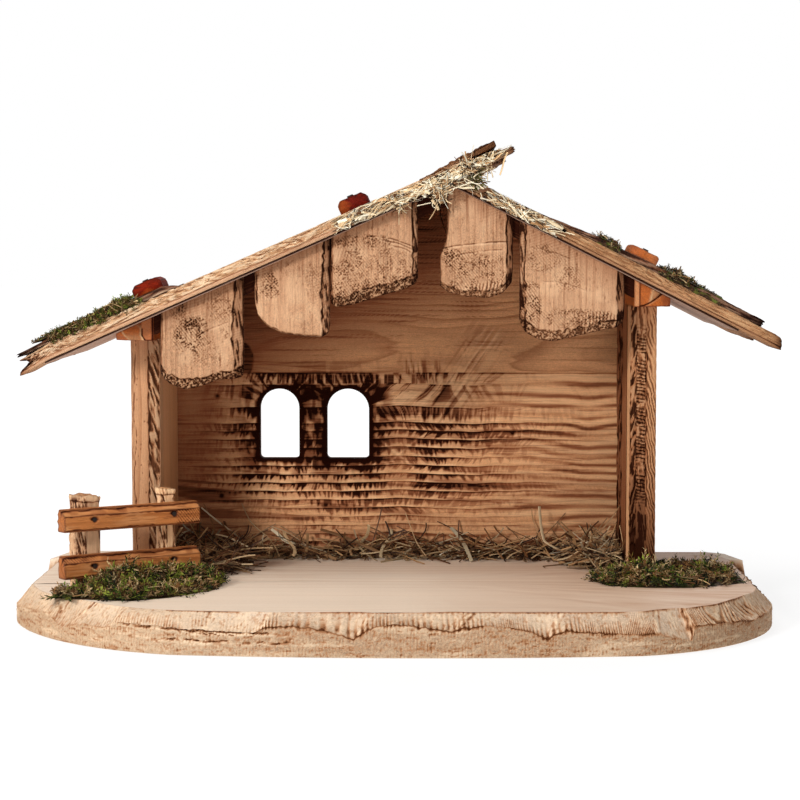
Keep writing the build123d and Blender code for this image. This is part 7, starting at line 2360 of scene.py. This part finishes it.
def edge_straw(name, node, left, x0, x1, n, seed, density, knots=(), stalks=()):
    """Shredded strands pressed on the front edge of the boards."""
    rng = np.random.default_rng(seed)
    s_of, xz, n0, n1 = (left_s, left_xz, NL0, NL1) if left else (right_s, right_xz, NR0, NR1)
    along = np.array([CL, 0.0, SL]) if left else np.array([CR, 0.0, -SR])
    nor = NLV if left else NRV
    s0, s1 = s_of(x0, n0), s_of(x1, n0)
    s = s0 + (s1 - s0) * rng.random(n)
    keep = rng.random(n) < density(xz(s, n0)[0])
    s = s[keep]
    n = len(s)
    x, z = xz(s, n0 + rng.uniform(0.08, 0.94, n) * (n1 - n0))
    y = ROOF_YF - rng.uniform(0.15, 2.3, n)
    ang = rng.normal(0, 0.46, n)
    d = along[None] * np.cos(ang)[:, None] + nor[None] * np.sin(ang)[:, None]
    d[:, 1] += rng.normal(0, 0.05, n)
    L = rng.uniform(4.0, 11.0, n)
    st = np.stack([x, y, z], 1) - unit(d) * L[:, None] * 0.5
    # painted shade: strands pressed close to the boards are darker
    deep = np.clip(1.0 - (ROOF_YF - y) / 2.0, 0, 1)
    parts = [straw(None, None, st, d, L, np.where(rng.random(n) < 0.3, rng.uniform(0.5, 0.95, n), rng.uniform(0.16, 0.42, n)), rng.uniform(0.10, 0.22, n), seed + 1, (0.74, 0.34), bend=0.12, root=deep ** 1.2 * 0.97)]
    for cx, cz, r, m in knots:
        p = rng.normal(0, 0.34 * r, (m, 2))
        ang = rng.uniform(0, 2 * math.pi, m)
        d = np.stack([np.cos(ang), rng.normal(0, 0.25, m), np.sin(ang)], 1)
        L = rng.uniform(0.6 * r, 1.6 * r, m)
        st = np.stack([cx + p[:, 0], np.full(m, ROOF_YF - 0.6) - rng.uniform(0, 1.8, m), cz + p[:, 1]], 1) - d * L[:, None] * 0.5
        parts.append(straw(None, None, st, d, L, rng.uniform(0.14, 0.42, m), rng.uniform(0.1, 0.22, m), seed + 5 + m, (0.62, 0.26), bend=0.6, root=rng.random(m) ** 1.8 * 0.9))
    if stalks:
        q = np.array(stalks, float)
        m = len(q)
        st = np.stack([q[:, 0], np.full(m, ROOF_YF - 1.4), q[:, 1]], 1)
        d = np.stack([q[:, 2] - q[:, 0], rng.normal(0, 0.3, m), q[:, 3] - q[:, 1]], 1)
        v = list(straw(None, None, st, d, np.linalg.norm(d, axis=1), q[:, 4], q[:, 4] * 0.5, seed + 3, (0.6, 0.0), bend=0.03))
        v[6] = q[:, 5][v[3]]
        parts.append(tuple(v))
    out = []
    for j, p in enumerate(parts):
        v = p[0].copy()
        v[:, 1] = np.where(v[:, 1] > ROOF_YF - 0.05, ROOF_YF - 0.05 - (v[:, 1] - ROOF_YF) * 0.1, v[:, 1])
        v[:, 1] = np.maximum(v[:, 1], ROOF_YF - 3.4)
        if j == 0:
            # the strands stay within the thickness of the boards
            h = (v - np.array([RX, 0.0, RZ])) @ nor
            f = sstep(v[:, 0], 30.0, 54.0) * (n1 - n0) * left
            low = np.exp(-((v[:, 0] - 17.0) / 8.0) ** 2) * left
            bare = 1.2 * sstep(v[:, 0], -12.0, 4.0) * (1 - sstep(v[:, 0], 34.0, 44.0)) * left
            over = np.maximum(h - n1 + 0.34 * f - 0.1 + bare, 0) - np.maximum(n0 + 0.24 * f - 0.4 - 2.4 * low - h, 0)
            v = v - nor[None] * over[:, None] * 0.92
        out.append((v, *p[1:]))
    return straw_piece(name, node, out)


edge_straw("Straw_edge_left", "straw_edge_left", True, -26.0, 52.5, 820, 1401, lambda x: (0.3 + 0.7 * sstep(x, -18.0, 10.0)) * (1 - 0.5 * sstep(x, 42.0, 52.0)),
           knots=((20.9, 208.1, 5.0, 60), (33.7, 219.4, 4.6, 56), (2.0, 200.5, 3.4, 22), (44.0, 221.0, 3.2, 22)),
           stalks=((53.0, 226.9, 48.7, 216.4, 0.7, 0.55), (43.5, 221.0, 43.5, 213.5, 0.5, 0.7), (25.8, 209.2, 36.8, 212.6, 0.7, 0.98),
                   (17.3, 204.5, 21.0, 199.7, 1.1, 0.6), (10.0, 201.5, 16.5, 203.0, 0.5, 0.9), (30.0, 214.5, 38.0, 220.5, 0.5, 0.95)))
edge_straw("Straw_edge_right", "straw_edge_right", False, 31.0, 79.0, 300, 1441, lambda x: 0.42 + 0.5 * bump1(x, 63.0, 9.0) - 0.25 * sstep(x, 68.0, 78.0))


def ridge_sprig():
    """A few green needles hanging under the tip of the left boards."""
    rng = np.random.default_rng(1461)
    n = 26
    t = rng.random(n)
    p = np.stack([39.2 - 1.5 * t + rng.normal(0, 0.5, n), np.full(n, ROOF_YF - 1.1), 220.4 - 10.6 * t], 1)
    return moss("Moss_ridge", None, p, np.repeat(np.array([[0.0, -1.0, 0.0]]), n, 0), 1463, length=(1.6, 3.2), leaf=(0.9, 1.7), nleaf=8, spread=1.4, tint=(0.46, 0.08),
                dry_part=0.1)


ridge_sprig()

# ============================================================================
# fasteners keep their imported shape
# ============================================================================
for key in ("base_screws", "wall_pins", "plate_pins", "roof_pins", "batten_nails", "fence_nails"):
    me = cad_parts[key].data
    me.materials.clear()
    me.materials.append(M_IRON if key in ("batten_nails", "fence_nails") else M_STEEL)

# ============================================================================
# floor, light, camera
# ============================================================================
def floor_material():
    m = Mat("studio_floor")
    co = m.t.nodes.new("ShaderNodeTexCoord").outputs["Object"]
    n = m.noise(m.scale(co, (9.0, 9.0, 9.0)), 3.0, 0.5)
    col = m.ramp(n, [(0.3, (0.20, 0.20, 0.20)), (0.7, (0.22, 0.22, 0.22))])
    x, y, z = m.split(co)
    r = m.math("SQRT", m.math("ADD", m.math("MULTIPLY", x, x), m.math("MULTIPLY", y, y)))
    m.put(m.bsdf.inputs["Emission Strength"], m.ramp(m.math("MULTIPLY", r, 0.5), [(0.08, 0.80), (0.32, 0.95), (0.6, 0.98)]))
    m.put(m.bsdf.inputs["Base Color"], col)
    m.bsdf.inputs["Roughness"].default_value = 0.9
    m.bsdf.inputs["Specular IOR Level"].default_value = 0.1
    m.bsdf.inputs["Emission Color"].default_value = (1.0, 1.0, 1.0, 1.0)
    return m.mat


fm = bpy.data.meshes.new("Floor")
fm.from_pydata([(-6, -6, -0.0002), (6, -6, -0.0002), (6, 8, -0.0002), (-6, 8, -0.0002)], [], [(0, 1, 2, 3)])
fm.materials.append(floor_material())
floor = bpy.data.objects.new("Floor", fm)
bpy.context.scene.collection.objects.link(floor)

world = bpy.data.worlds.new("Studio")
bpy.context.scene.world = world
world.use_nodes = True
wt = world.node_tree
glow = wt.nodes["Background"]
glow.inputs["Color"].default_value = (1.0, 1.0, 1.0, 1.0)
glow.inputs["Strength"].default_value = 0.20
seen = wt.nodes.new("ShaderNodeBackground")
seen.inputs["Color"].default_value = (1.0, 1.0, 1.0, 1.0)
seen.inputs["Strength"].default_value = 1.0
path = wt.nodes.new("ShaderNodeLightPath")
both = wt.nodes.new("ShaderNodeMixShader")
wt.links.new(path.outputs["Is Camera Ray"], both.inputs[0])
wt.links.new(glow.outputs[0], both.inputs[1])
wt.links.new(seen.outputs[0], both.inputs[2])
wt.links.new(both.outputs[0], wt.nodes["World Output"].inputs["Surface"])


def sun(name, azimuth, elevation, strength, angle, color=(1.0, 1.0, 1.0)):
    """A wide, even light; azimuth 0 is the front, positive to the right."""
    li = bpy.data.lights.new(name, "SUN")
    li.energy = strength
    li.angle = math.radians(angle)
    li.color = color
    ob = bpy.data.objects.new(name, li)
    a, e = math.radians(azimuth), math.radians(elevation)
    to = Vector((math.sin(a) * math.cos(e), -math.cos(a) * math.cos(e), math.sin(e)))
    ob.location = to * 3.0
    ob.rotation_euler = (-to).to_track_quat("-Z", "Y").to_euler()
    bpy.context.scene.collection.objects.link(ob)
    return ob


def lamp(name, at, to, power, size, color=(1.0, 1.0, 1.0)):
    """A square soft box."""
    li = bpy.data.lights.new(name, "AREA")
    li.energy = power
    li.size = size
    li.color = color
    ob = bpy.data.objects.new(name, li)
    ob.location = at
    ob.rotation_euler = (Vector(to) - Vector(at)).to_track_quat("-Z", "Y").to_euler()
    ob.visible_camera = False
    bpy.context.scene.collection.objects.link(ob)
    return ob


lamp("Key", (-0.80, -1.05, 0.66), (0.0, 0.0, 0.10), 13.5, 0.26, (1.0, 0.98, 0.955))
lamp("Top", (-0.34, -0.30, 1.30), (0.0, 0.0, 0.10), 8.6, 0.8)
sun("Rear", 160.0, 35.0, 0.75, 40.0)
sun("Front", 8.0, 12.0, 0.34, 50.0)

cam_data = bpy.data.cameras.new("Camera")
cam_data.sensor_width = 36.0
cam_data.lens = 95.76
cam_data.clip_start, cam_data.clip_end = 0.01, 50.0
cam = bpy.data.objects.new("Camera", cam_data)
cam.location = (0.0163, -1.0374, 0.183)
cam.rotation_euler = (math.radians(90 - 4.166), 0.0, math.radians(0.806))
bpy.context.scene.collection.objects.link(cam)
bpy.context.scene.camera = cam
bpy.context.scene.view_settings.view_transform = "Standard"
bpy.context.scene.view_settings.look = "None"
